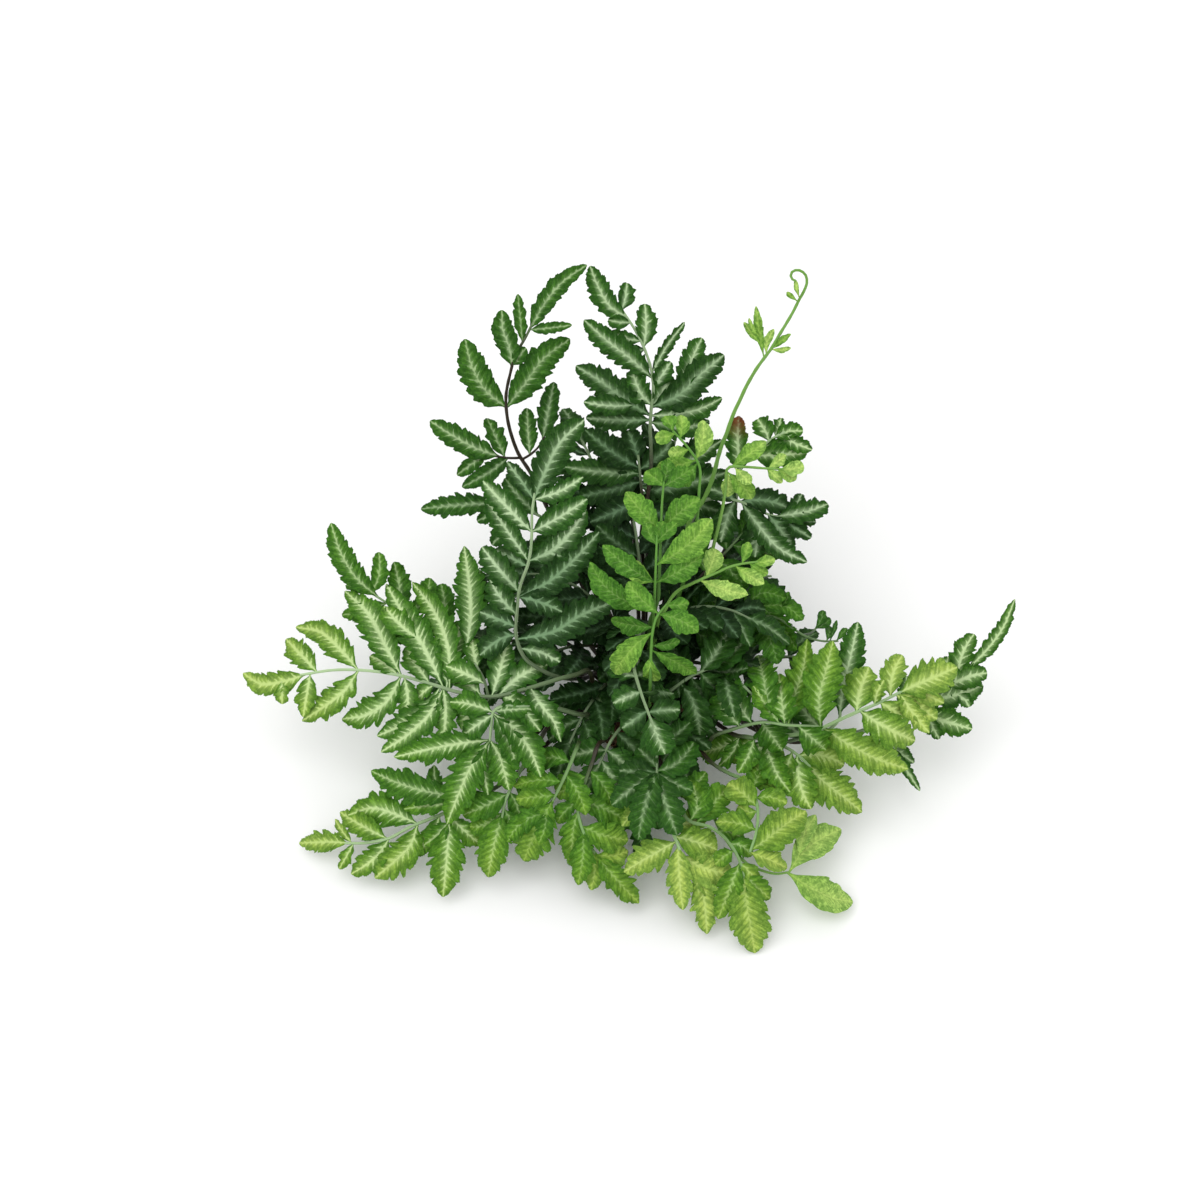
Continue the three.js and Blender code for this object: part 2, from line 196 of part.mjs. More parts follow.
   axes: [[[20.4,1.5,27.5,0.9],[24.4,-0.2,36.1,0.87],[27.6,-4.8,43.5,0.83],[30.5,-9.5,51.4,0.8],[33.2,-13.9,59.4,0.77],[36.3,-16.8,67.6,0.73],[40,-16.4,76.1,0.7],[44.9,-11.5,80.5,0.67],[50.5,-6.9,84.4,0.64],[57.4,-4.2,87.8,0.61],[65.3,-5.6,87.7,0.57],[71.9,-9.9,85.5,0.54],[78.8,-14,83.7,0.51],[87.2,-11.5,77.2,0.48],[95.9,-6.5,71,0.45]],
    [[77.2,-13.1,84.1,0.6],[80.3,-9.9,80.9,0.55],[83.1,-5.8,78.1,0.5],[85.3,-1.1,75.6,0.45]]],
   blades: [[4.4,0.09,-0.19,0.98,84.1,-3.6,77,87.2,0.9,78.5,88.6,7.5,78.6],
    [4.4,0.25,-0.2,0.95,84.1,-3.6,77,88.5,-0.4,76.8,92.6,3.6,76.2],
    [4.4,0.27,0.12,0.95,89.7,-10,75.4,91.3,-4.4,74.7,91.7,2.1,73.2],
    [2.2,0.25,-0.12,0.96,91.5,-9,74.1,93.7,-3,75.1,95.8,4.2,74.7],
    [3.3,0.24,-0.27,0.93,95,-7,71.6,97.8,-3.4,72.6,100.8,0.9,72.4]] },
  { name: 'frond_right_dark', tone: 0.15, kind: 'old',
   axes: [[[20,-3.6,27.5,1.15],[29.8,-7.8,28.4,1.11],[37.3,-15.8,29.3,1.07],[44.7,-23.1,29.9,1.02],[52.2,-29.8,30.5,0.98],[59.7,-35.7,31.4,0.94],[67.2,-41.1,32.5,0.9],[74.5,-43,36.9,0.84],[82,-44.3,41.2,0.78],[89.6,-44.1,45.5,0.73],[95.8,-40.7,50.5,0.67],[96.4,-34.7,57,0.61],[97.6,-28.7,63.5,0.55]]],
   blades: [[13.8,-0.03,-0.78,0.62,95.9,-39.1,52.2,97.8,-31.1,67.2,101,-21.4,79.7,104.3,-9.7,89.9],
    [9.2,-0.07,-0.77,0.64,97.2,-30.5,61.5,94,-24.5,71,90.8,-16.4,77.7],
    [11.5,-0.47,-0.47,0.75,88.7,-44.2,44.9,82.5,-38.1,47.2,77.3,-30.4,48.7,73.3,-21.1,49.7],
    [11.5,-0.57,-0.35,0.74,79.4,-43.9,39.8,72.7,-37.6,39.9,67.1,-29.3,39.5,62.8,-19.1,38.8]] },
  { name: 'frond_right_fore', tone: 0.72, kind: 'mid',
   axes: [[[15.9,-10.4,27.5,1.15],[20.5,-17.9,32.3,1.11],[22.1,-26.1,36.2,1.07],[24.1,-34.3,39.9,1.02],[26.7,-42.5,43.4,0.98],[30,-51.2,46.6,0.94],[33.2,-52.3,53.3,0.9],[41.3,-52.1,57.5,0.84],[49.5,-51.9,61.4,0.78],[58.4,-51.9,63.5,0.73],[67.2,-53.1,62.8,0.67],[76.5,-52,60.4,0.61],[86.3,-50.6,57.6,0.55]]],
   blades: [[16.8,-0.22,-0.58,0.79,85.5,-50.7,57.8,84.3,-43.7,72.4,87.8,-32.5,80.9,91.8,-17.2,84.3],
    [15.6,-0.32,-0.42,0.85,68.9,-52.9,62.4,72.5,-40.4,69.5,76.9,-28.5,77.1,79,-16,84.3],
    [14,-0.26,-0.59,0.77,67.4,-53,62.8,66,-48.8,71.3,65.3,-41.4,75.3,64.7,-32.2,76.8],
    [12,0.24,-0.54,0.8,64.8,-52.7,63,60.3,-48.9,68.2,55.8,-44.5,72.7,51.7,-39.2,76.1],
    [16.2,-0.31,-0.28,0.91,86.2,-50.6,57.6,98.8,-61.1,57.4,112.3,-69.8,57,126.2,-79.8,62.3],
    [14.4,-0.1,-0.7,0.71,56,-51.9,62.9,60.1,-49.6,52.4,63.5,-54.4,51,66.2,-62.5,53.9],
    [14.4,-0.05,-0.54,0.84,51.3,-51.9,61.8,45.6,-46.4,67.7,40.7,-40.8,74,36.6,-30.5,74.7],
    [13.2,-0.36,-0.1,0.93,59.4,-52,63.4,58.5,-44.4,72.1,56.8,-34.2,77,55.6,-11.6,66.2],
    [14.4,-0.54,-0.29,0.79,73.8,-52.3,61.1,78.5,-55.1,58.1,83.2,-58.5,55.9,86.7,-69.3,63.7],
    [13.2,-0.31,-0.69,0.65,45.5,-52,59.5,40.6,-49.7,65.7,36.7,-45.2,69.9,33.6,-36.9,69.9]] },
  { name: 'frond_right_front', tone: 0.85, kind: 'mid',
   axes: [[[19.1,-6,27.5,1.15],[27.8,-12.3,31,1.11],[33.5,-20.1,34,1.07],[39.5,-27.4,37.4,1.02],[46,-33.9,41.5,0.98],[52.8,-38.9,45.9,0.94],[58.4,-50.5,48.4,0.9],[67.2,-52.1,52.1,0.86],[76.1,-53.3,55.7,0.81],[85,-53.1,59.4,0.77],[93.6,-50.7,62.9,0.73],[102.5,-47.1,64.7,0.68],[111.5,-43.4,65.9,0.64],[120.4,-39.1,67.1,0.59],[129.4,-33.4,67,0.55]]],
   blades: [[16.8,0.03,-0.39,0.92,124.9,-36.3,67,134.3,-33.5,70.5,144.1,-29.3,71.9,154.3,-23.5,71.3],
    [9,0,-0.48,0.88,128.5,-33.9,67,137.7,-37.8,67,147.1,-40.2,63.6],
    [11.4,-0.13,-0.25,0.96,120.3,-39.2,67.1,120.7,-32.4,70.3,123.1,-25.2,72.6,127.1,-17.7,73.7],
    [16.2,-0.29,-0.47,0.84,103,-46.9,64.8,104.5,-39.1,67.3,106.8,-33.4,72.1,109.5,-28.2,77.4],
    [7.2,-0.36,-0.62,0.7,112.1,-43.1,66,113.3,-39.9,72.3,116.6,-35,75.5],
    [14.4,0.09,-0.54,0.83,123,-37.5,67.1,129.9,-40.4,64.1,136.7,-43.4,61.4,143.6,-46.5,58.8],
    [15.6,0.05,-0.67,0.74,104.8,-46.1,65,112.6,-55.3,67.5,121.6,-59.3,64.8,132.3,-56.4,53.8],
    [10.9,0.14,-0.41,0.9,114.84,-41.79,66.35,119.8,-44.6,65.3,126.8,-47.6,61.9],
    [9.8,0.25,-0.35,0.9,124.9,-36.25,67.05,130.8,-45.8,63.5,139.3,-53.4,56.5]] },
  { name: 'frond_right_far', tone: 0.15, kind: 'old',
   axes: [[[20.5,-1.1,27.5,1.15],[31.7,-3.1,26.4,1.11],[39.7,-10.3,25.4,1.07],[48,-16.8,23.9,1.02],[56.4,-22.5,22.4,0.98],[64.9,-27.4,21.1,0.94],[73.5,-31.8,20,0.9],[85.9,-33.2,23.7,0.86],[98.3,-33.7,27.6,0.81],[110.6,-32.9,31.9,0.77],[122.4,-31.4,37,0.73],[133.9,-28.8,42.6,0.68],[144.6,-24.3,48.4,0.64],[155,-19.5,54.7,0.59],[164.4,-13.3,61,0.55]]],
   blades: [[7.1,-0.14,-0.47,0.87,161.5,-15.2,59.1,170.6,-9.6,66.8,179.4,0.1,73.4,186.3,14.4,79],
    [8.3,-0.23,-0.45,0.86,148.5,-22.5,50.7,150.1,-15.8,56.2,152.5,-7.6,59.6],
    [10.5,-0.16,-0.46,0.87,156.7,-18.4,55.9,157.9,-12.3,61.1,160.9,-5.9,65,165.5,0.9,67.6],
    [11.6,-0.16,-0.52,0.84,151.7,-21.1,52.7,157.8,-19.9,56.1,164.3,-18.5,58.2,171.4,-17.2,58.7],
    [11.6,-0.11,-0.5,0.86,143.2,-24.9,47.6,152,-26.1,50.5,160.9,-24.5,52.2,169.6,-20.8,53.4],
    [6.6,-0.2,-0.65,0.73,148.5,-22.5,50.7,151.5,-26.5,48.4,152.5,-30.6,44.6],
    [6.6,-0.15,-0.43,0.89,156.7,-25.3,51.4,159.9,-28.6,51.4,162,-31.6,49.2],
    [12.7,-0.18,-0.53,0.83,133.4,-28.9,42.3,143.1,-34,43.8,153.2,-37.6,43.6,163.6,-39.9,41.8],
    [6.6,-0.24,-0.36,0.9,141.8,-33.3,43.6,144,-39.7,42.7,146.7,-45,40.2],
    [8.8,-0.23,-0.52,0.82,112.2,-32.7,32.6,123.1,-43.1,31.7,134.8,-50.6,27.5],
    [5,-0.12,-0.33,0.94,122.2,-42.3,31.8,129.5,-55.4,30.3,136.8,-66.2,25],
    [5,-0.14,-0.34,0.93,118.7,-38.9,32.1,121.3,-49.2,30.3,124.3,-57.6,26],
    [7.2,-0.28,-0.4,0.87,129.9,-29.7,40.6,130.8,-21.7,46.2,132.3,-12,49.5]] },
  { name: 'frond_right_low', tone: 0.62, kind: 'mid',
   axes: [[[17.7,-8.3,27.5,1.15],[23.6,-14.7,31.4,1.11],[26.9,-21.6,34.5,1.07],[30.6,-28.5,37.7,1.02],[34.7,-35.2,40.8,0.98],[39,-41.5,43.9,0.94],[43.6,-47.6,47,0.9],[49.9,-51.2,50.2,0.84],[56.8,-50.2,47,0.78],[63.7,-49.3,42.7,0.73],[69.9,-53.8,44.1,0.67],[75.6,-58.6,43.7,0.61],[80.6,-63.7,42,0.55]]],
   blades: [[18,0.17,-0.53,0.83,77.2,-60.2,43.1,86,-68.9,38.9,96.3,-74.7,33.1,106.8,-79.1,25],
    [16.8,0.1,-0.43,0.9,74.8,-57.9,43.7,82.7,-57.9,44.6,90.6,-58.8,43.2,97.9,-60.8,39.7],
    [10.2,0.08,-0.31,0.95,72.2,-55.7,43.9,68.6,-65.4,44,65.1,-72.8,41,61.2,-79.1,37],
    [15.6,0.03,-0.42,0.91,74.4,-57.6,43.8,74.4,-68.8,43.4,76.3,-77.2,39.5,80.7,-82.3,32.2],
    [12,-0.03,-0.01,1,67.6,-52.2,43.6,64,-57.7,43.7,60.8,-62.9,43,57.9,-68.9,43.2],
    [12,-0.12,-0.04,0.99,58.7,-50,45.8,55.1,-54.3,44.4,51.3,-60.3,45.2,47.6,-64.5,43.9],
    [12,-0.6,-0.36,0.71,53.5,-50.7,48.5,48.9,-52.2,44.8,44.5,-53.5,40.4,40.3,-54.6,35.5],
    [13.2,-0.65,-0.17,0.74,47,-49.5,48.7,40.8,-49.8,42.5,33.6,-48.7,36.3,25.6,-46,29.8],
    [12,-0.29,-0.28,0.92,58.7,-50,45.8,60.9,-61.3,45.6,64.3,-72.5,46.1,70,-78.2,40.9],
    [10.4,-0.57,-0.23,0.79,45.96,-48.95,48.2,42.4,-56.5,44.8,35.1,-60.1,37],
    [9.8,0.4,-0.46,0.8,53.35,-50.7,48.6,49.6,-60.4,46.6,44.5,-68.1,43]] },
  { name: 'frond_front_right_inner', tone: 0.8, kind: 'mid',
   axes: [[[13.8,-12.2,27.5,1.15],[15.5,-18.3,31.5,1.11],[16.2,-24.6,34.9,1.07],[17,-30.8,37.9,1.02],[18.1,-36.9,40.5,0.98],[19.5,-42.8,42.6,0.94],[21.1,-48.7,44.3,0.9],[26.9,-56.3,44.2,0.86],[32.8,-64.1,44.4,0.81],[40.5,-69.5,44.1,0.77],[48.9,-73.8,43.7,0.73],[52.7,-82.4,41.8,0.68],[53.6,-92,40.1,0.64],[52.3,-101.5,38.2,0.59],[49.2,-110.3,35.5,0.55]]],
   blades: [[14.4,-0.04,-0.26,0.96,53.1,-87,41,48.9,-83.2,43,44.2,-79.2,43.9,39.3,-74.8,43.7],
    [12.1,0.19,-0.34,0.92,52.6,-99.5,38.6,46.2,-98.4,41.7,39.5,-97.9,43.2,32.7,-97.9,43.2],
    [17.3,0.23,-0.23,0.94,49.5,-109.4,35.8,58.9,-102.8,37.2,68,-94.4,37.1,77.9,-85.4,34.8],
    [10.4,0.39,-0.5,0.77,49.2,-110.3,35.5,55.4,-111.5,33.2,61.6,-112.2,29.6,67.8,-112.4,24.8],
    [11.5,0.02,0.07,1,51,-78.7,42.7,54.1,-69,41.7,55.4,-59.1,41.1,54.9,-48.9,40.4],
    [10.4,0.26,-0.14,0.95,49.5,-75.2,43.4,55.7,-70.6,39.7,61.3,-66.9,38.8,65.7,-63.4,40.7],
    [9.8,0.02,-0.26,0.97,52.7,-82.4,41.8,59.8,-82.5,42.7,68.2,-84.8,40.8],
    [9.2,-0.11,-0.14,0.98,53.38,-89.6,40.53,49.3,-90.1,40.6,44,-86,40]] },
  { name: 'frond_front_right', tone: 0.78, kind: 'mid',
   axes: [[[2.7,-16.4,27.5,1.15],[2.7,-23.1,31.6,1.11],[2.6,-29.6,35.5,1.07],[2.5,-36.1,39.1,1.02],[2.6,-42.6,42.2,0.98],[2.9,-49.1,44.7,0.94],[3.4,-55.6,46.9,0.9],[6.7,-66.6,47,0.86],[10.1,-77.5,46.9,0.81],[14.3,-88.1,46,0.77],[19.5,-97.8,44.1,0.73],[29.3,-99.6,41.8,0.68],[37.5,-103.6,37.1,0.64],[43.7,-110.9,31.3,0.59],[46.9,-119.4,24.7,0.55]]],
   blades: [[18.4,0.07,-0.64,0.76,46,-116.9,26.6,47.2,-128.8,21.3,49.4,-138.6,12.9,51.8,-146.4,1.2],
    [12.1,0.05,-0.58,0.81,44.4,-112.7,29.9,40.7,-121.1,26.2,37.1,-128.6,21,33.6,-135.2,14.3],
    [10.4,0.17,-0.64,0.75,46.3,-117.7,26,50.7,-120.8,24,55,-123.3,20.9,59.3,-125.1,16.7],
    [8.1,0.13,-0.63,0.77,44.4,-112.7,29.9,49.1,-116.5,27.5,52.9,-119.8,22.7],
    [13.8,0.03,-0.23,0.97,20.1,-97.9,44,23.5,-91.9,46.6,23,-84.6,48.4,20.3,-76.7,48.9],
    [13.8,0.32,-0.13,0.94,23.3,-98.5,43.2,28.5,-91.6,43.8,33.8,-83.9,43.1,39.4,-75.3,41],
    [9.8,0.5,-0.5,0.71,32.3,-101.1,40.1,37.4,-100,38.4,42.3,-99.5,35.4,46.9,-99.5,30.9],
    [8.6,0.17,-0.48,0.86,41.3,-108.1,33.5,36.5,-111.6,33.5,32.1,-114.7,31.6],
    [9.2,0.25,-0.58,0.78,38.8,-105.2,35.8,45.5,-106,34.3,50.5,-108.5,29.5],
    [10.4,0.03,-0.04,1,12.5,-83.5,46.4,19.2,-82.3,47.2,24.2,-76.9,47.3,28.5,-70,46.4]] },
  { name: 'frond_front_far_right', tone: 0.9, kind: 'young',
   axes: [[[11.3,-13.7,27.5,1],[14.7,-28.2,30.9,0.97],[18.3,-42.3,34,0.93],[21.5,-55.7,35.7,0.9],[25.9,-72.8,40,0.87],[30.5,-83.8,36.1,0.83],[35.1,-95.8,33.4,0.8],[39,-101.6,31,0.75],[43.4,-107,28.6,0.7],[48.8,-111.6,26.5,0.65],[55.5,-114,24.8,0.6],[62.5,-114.7,23.1,0.55],[69.4,-112.9,22,0.5]]],
   blades: [[17.2,0.38,-0.34,0.86,67.8,-113.3,22.3,79.2,-118.7,17.3,90.2,-121,11.5,101.2,-119.3,5.1],
    [15.1,0.37,-0.27,0.89,68.9,-113,22.1,75.9,-102.2,23,85.5,-93.1,21.8,96.4,-85.3,19.1],
    [8.1,0.09,-0.26,0.96,73.9,-105.4,22.7,76.8,-94.9,27.7,83.4,-82.9,27.9]] },
  { name: 'frond_front_centre', tone: 0.62, kind: 'mid',
   axes: [[[-0.4,-16.5,27.5,1.15],[-1,-24.8,32.7,1.11],[-1,-33,37.5,1.07],[-0.8,-41.1,41.8,1.02],[-0.5,-49.2,45.3,0.98],[0.1,-57.3,47.9,0.94],[0.8,-65.3,50,0.9],[3.1,-75.5,48.3,0.84],[5.6,-85.4,45.8,0.78],[8.5,-95,42.4,0.73],[12.7,-103.6,38,0.67],[16.6,-112.1,33.1,0.61],[22.4,-119.3,28,0.55]]],
   blades: [[12.1,0.15,-0.7,0.7,21,-117.6,29.2,26,-124.6,22.9,27.5,-132,15.3,28.4,-138.7,6.3],
    [11.5,0.03,-0.58,0.82,14,-106.4,36.4,14.4,-116.3,32.5,15.1,-125.1,26.4,16.5,-132.4,18.1],
    [15,0.24,-0.53,0.81,16,-110.9,33.8,23.5,-115,31,32.1,-116.2,27.6,41.2,-114.6,23.7],
    [13.8,-0.05,-0.53,0.84,13.4,-105.1,37.2,4.7,-109.8,35.6,-3.9,-113.8,32.7,-12.3,-117,28.2],
    [16.1,0.2,-0.48,0.85,12.5,-103.1,38.3,19.6,-104.5,37.5,26.5,-105.5,35.2,33.4,-106.3,31.5],
    [8.1,0.41,-0.65,0.64,22.4,-119.2,28,27.4,-121.7,23.6,33.4,-122,18.1],
    [10.4,-0.1,-0.38,0.92,5.7,-85.9,45.7,-2,-88.3,45.4,-8.2,-92.6,43,-13.2,-97.2,38.8],
    [10.4,0.22,-0.35,0.91,10.2,-98.5,40.6,16.9,-97,40.3,23.3,-93.8,40,29.2,-89.3,39.5]] },
  { name: 'frond_front_mid_left', tone: 0.66, kind: 'mid',
   axes: [[[-9.3,-14.7,27.5,1.15],[-11.2,-22.9,33.8,1.11],[-14.1,-30.8,40.1,1.07],[-16.9,-39.1,45.8,1.02],[-19.2,-47.7,51,0.98],[-20.9,-56.1,55.5,0.94],[-25,-65.4,62.6,0.9],[-28,-73.3,58,0.84],[-31.4,-80.4,51.8,0.78],[-35,-87.6,45.4,0.73],[-33.6,-95.6,39.2,0.67],[-29.7,-103.2,33.3,0.61],[-24,-109.2,27,0.55]]],
   blades: [[11.5,0.22,-0.64,0.74,-25.7,-107.4,28.9,-19.2,-114.2,24.3,-12.2,-119.3,17.8,-4.8,-122.8,9.4],
    [6.9,0.2,-0.65,0.73,-24,-109.2,27,-19.6,-114.4,22.6,-17.6,-119.5,16.1],
    [10.8,0,-0.66,0.75,-34.6,-90.3,43.3,-37,-97.2,36.8,-37.7,-104.5,29.4,-35.3,-112.9,23.7],
    [10.4,0.06,-0.64,0.77,-32.3,-98.1,37.3,-32.2,-106.2,32.9,-33.1,-113.2,27.2,-34.8,-119.2,20],
    [9.2,0.15,-0.75,0.64,-27.9,-105.1,31.3,-26.5,-112.7,24.3,-28.4,-119,15.2],
    [9.8,0.27,-0.56,0.78,-25.7,-107.4,28.9,-20.5,-107.7,28.1,-15.2,-106.3,27.3,-10.2,-103.4,26.3],
    [14.4,0.21,-0.56,0.8,-34.9,-88.5,44.7,-26.1,-88.4,43.9,-18.1,-90.2,40.6,-10.7,-92.5,35.5],
    [14.4,0.2,-0.56,0.8,-32.9,-97,38.2,-25.7,-99.9,36.9,-18.1,-100.9,34.3,-10.2,-99.8,30.6],
    [8.1,-0.28,-0.68,0.67,-34.9,-87.3,45.7,-40.9,-90.1,41.9,-45.2,-93.1,35.5],
    [12.7,-0.39,-0.5,0.77,-30.2,-78,53.9,-35.7,-79.5,51.4,-40.8,-81.1,47.9,-45.7,-82.4,43.3],
    [10.4,0.22,-0.59,0.78,-29.2,-75.9,55.7,-24.2,-79.9,52.9,-20.4,-84.1,48.7,-18.1,-88.3,43.2]] },
  { name: 'frond_front_left_wide', tone: 0.7, kind: 'mid',
   axes: [[[-12,-13.4,27.5,1.15],[-15,-21.6,34,1.11],[-19.3,-28.7,40.3,1.07],[-23.5,-35.8,45.9,1.02],[-27.5,-43.1,50.7,0.98],[-31.7,-50.2,54.4,0.94],[-33.9,-59.4,58.7,0.9],[-35.8,-70.3,64.9,0.84],[-37.8,-74.2,61.7,0.78],[-40,-77.5,57.5,0.73],[-42.3,-80.7,53.3,0.67],[-44.9,-83.8,48.7,0.61],[-47.6,-86.2,43.7,0.55]]],
   blades: [[17.3,-0.21,-0.7,0.68,-47,-85.7,44.8,-52.5,-94.2,40.1,-57.3,-101.2,32.8,-61.5,-105.4,20.5],
    [9.9,-0.04,-0.53,0.85,-50.2,-91.1,41.8,-58.1,-94.1,41.5,-64.9,-98,38.7,-69.6,-103,33.5],
    [7.9,-0.11,-0.55,0.83,-50.2,-91.1,41.8,-51,-98.4,39.2,-53.9,-103.6,33.6],
    [11.6,-0.06,-0.63,0.77,-45.7,-84.5,47.1,-52.2,-85.5,47.4,-58.7,-85.7,46.7,-65.3,-85.4,45],
    [8.3,-0.14,-0.5,0.85,-42.4,-80.8,53.2,-54.6,-80.3,53.7,-66.8,-80.6,49.3],
    [9.9,-0.49,-0.37,0.79,-38.2,-74.9,60.8,-46,-70.8,59.7,-53.7,-70.1,55.5,-60.1,-71.7,48.8],
    [9.9,0.06,-0.59,0.8,-40.8,-78.6,56.1,-36.3,-83.9,53.2,-33.1,-89.1,49.1,-30.9,-94.1,43.8]] },
  { name: 'frond_front_left', tone: 0.62, kind: 'mid',
   axes: [[[-16.4,-9.9,27.5,1.15],[-22.6,-18.8,34.3,1.11],[-29.5,-26.3,41.5,1.07],[-35.9,-34,47.9,1.02],[-41.4,-40.7,52.1,0.98],[-50.4,-52.6,59.3,0.94],[-53.7,-58.8,57.8,0.9],[-57.5,-64.3,55.2,0.84],[-61.4,-69.8,52.6,0.78],[-65,-75.2,49.4,0.73],[-68.3,-80.5,45.8,0.67],[-71,-86.2,42.3,0.61],[-72.2,-91.8,38,0.55]]],
   blades: [[14.9,-0.07,-0.69,0.73,-71.8,-89.7,39.6,-74.7,-98.4,34,-77.2,-106.1,26.5,-79.2,-112.7,17.2],
    [12.7,-0.2,-0.66,0.73,-71.8,-89.7,39.6,-76.4,-92.6,37,-82,-93.8,34.4,-88.2,-93.1,32.1],
    [9.9,0.04,-0.78,0.62,-71.4,-88,40.9,-68.4,-91.9,37.2,-66.1,-95.5,32.5,-65,-99,26.8],
    [12.7,-0.12,-0.54,0.83,-69,-81.9,44.9,-76.2,-85.7,43.4,-83.7,-88.2,40.7,-91.6,-89.2,36.8],
    [8.3,0.03,-0.69,0.72,-68.6,-81,45.4,-65.1,-86.2,41,-62.9,-91.2,35.4],
    [8.8,0.12,-0.64,0.76,-66.6,-77.8,47.6,-60,-80.8,46.3,-54.6,-83.2,41.1]] },
  { name: 'frond_front_low_left', tone: 0.52, kind: 'mid',
   axes: [[[-20.2,-3,27.5,1.15],[-31,-10.1,35.6,1.11],[-37.6,-21.8,40.9,1.07],[-44.8,-33.1,45.5,1.02],[-52.2,-43.8,48.9,0.98],[-59.8,-54,51,0.94],[-67.6,-63.8,52.2,0.9],[-74,-68.2,49.5,0.84],[-80.4,-72.4,46.8,0.78],[-87,-75.7,43.3,0.73],[-93.6,-77.9,39.1,0.67],[-97.6,-83.4,34.8,0.61],[-98.7,-90.3,30.7,0.55]]],
   blades: [[15.5,-0.03,-0.61,0.79,-98.5,-88.7,31.6,-99.1,-100.7,26.9,-100.2,-110.6,19.1,-101.6,-118.5,8.3],
    [9.4,0.03,-0.48,0.88,-98.5,-89.3,31.3,-102.2,-93.5,30,-106.3,-96.8,27.9,-110.9,-99.7,26.1],
    [9.9,0.08,-0.6,0.8,-98.2,-87.2,32.6,-94,-91.1,30.8,-88.9,-94.8,27.7,-82.9,-97.8,23.3],
    [14.4,-0.21,-0.54,0.81,-94.6,-79.2,38.1,-109.3,-77.7,40.4,-124,-72.4,40.3,-138.4,-63,37.6],
    [8.3,-0.08,-0.57,0.82,-96.4,-81.8,36.1,-108.8,-82.8,35.8,-121.2,-82.9,33],
    [6.1,-0.04,-0.25,0.97,-101.1,-78.6,39.1,-105.6,-72.1,41.7,-106.7,-63.1,42.8],
    [9.4,-0.29,-0.65,0.7,-88.7,-76.3,42.3,-84.8,-82,40.4,-82.3,-87.2,36.6,-81.3,-91.7,31]] },
  { name: 'frond_left_low', tone: 0.6, kind: 'mid',
   axes: [[[-19.3,-5.5,27.5,1.15],[-30.2,-14.2,30.3,1.11],[-36.7,-24.7,32.6,1.07],[-43.8,-34.9,34.2,1.02],[-51.2,-44.8,35.1,0.98],[-58.8,-54.5,35.4,0.94],[-66.5,-63.9,35.4,0.9],[-75.8,-71.1,34.9,0.86],[-85.5,-77.9,34.2,0.81],[-96.2,-82.3,32,0.77],[-107.3,-85.8,29.3,0.73],[-118.2,-89.3,26.6,0.68],[-128.7,-93.9,23.4,0.64],[-139.9,-94.3,20.1,0.59],[-151.1,-92.3,17,0.55]]],
   blades: [[9.5,-0.4,-0.34,0.85,-148.8,-92.7,17.6,-157.4,-91,16,-166.3,-88.9,12.7,-175.3,-86,7.8],
    [14.3,-0.14,-0.42,0.9,-114.4,-88.1,27.5,-125,-83.7,29.3,-137.4,-79.8,29.4,-149.7,-80.7,24.7],
    [11.1,-0.3,-0.39,0.87,-129.5,-93.9,23.1,-137.8,-89.7,24.1,-146,-84.1,23.7,-154.2,-77,22],
    [4.8,-0.38,-0.28,0.88,-147.7,-92.9,17.9,-152.5,-86.7,19,-156.9,-78.8,18.5],
    [14.8,-0.14,-0.48,0.86,-114.4,-88.1,27.5,-118.2,-98.5,23.6,-126.4,-105.1,18.6,-135.5,-109.7,11.9],
    [11.1,-0.22,-0.49,0.84,-128.4,-93.7,23.5,-133.2,-100.5,20.3,-139.9,-104.6,16.1,-147.6,-106.7,10.9],
    [6.9,-0.37,-0.42,0.83,-146.6,-93.1,18.2,-150,-98.8,15,-153.9,-103.1,10],
    [9.5,-0.17,-0.52,0.84,-103.3,-84.5,30.2,-106.2,-91.8,27,-110.9,-97.1,22.8,-117.3,-100.4,17.5]] },
  { name: 'frond_left_front', tone: 0.55, kind: 'mid',
   axes: [[[-14.3,-11.8,27.5,1.15],[-19,-21.8,37.9,1.11],[-23.6,-31.7,48,1.07],[-27.6,-42,58.5,1.02],[-33.2,-52.3,69.9,0.98],[-41.2,-56.3,78.6,0.94],[-49.2,-60.3,87.3,0.9],[-56.2,-63.4,91.4,0.84],[-63.2,-64,92.1,0.78],[-70.3,-61.2,88.9,0.73],[-75.7,-60.6,83.6,0.67],[-77,-64.3,76.9,0.61],[-77.8,-67.2,69,0.55]]],
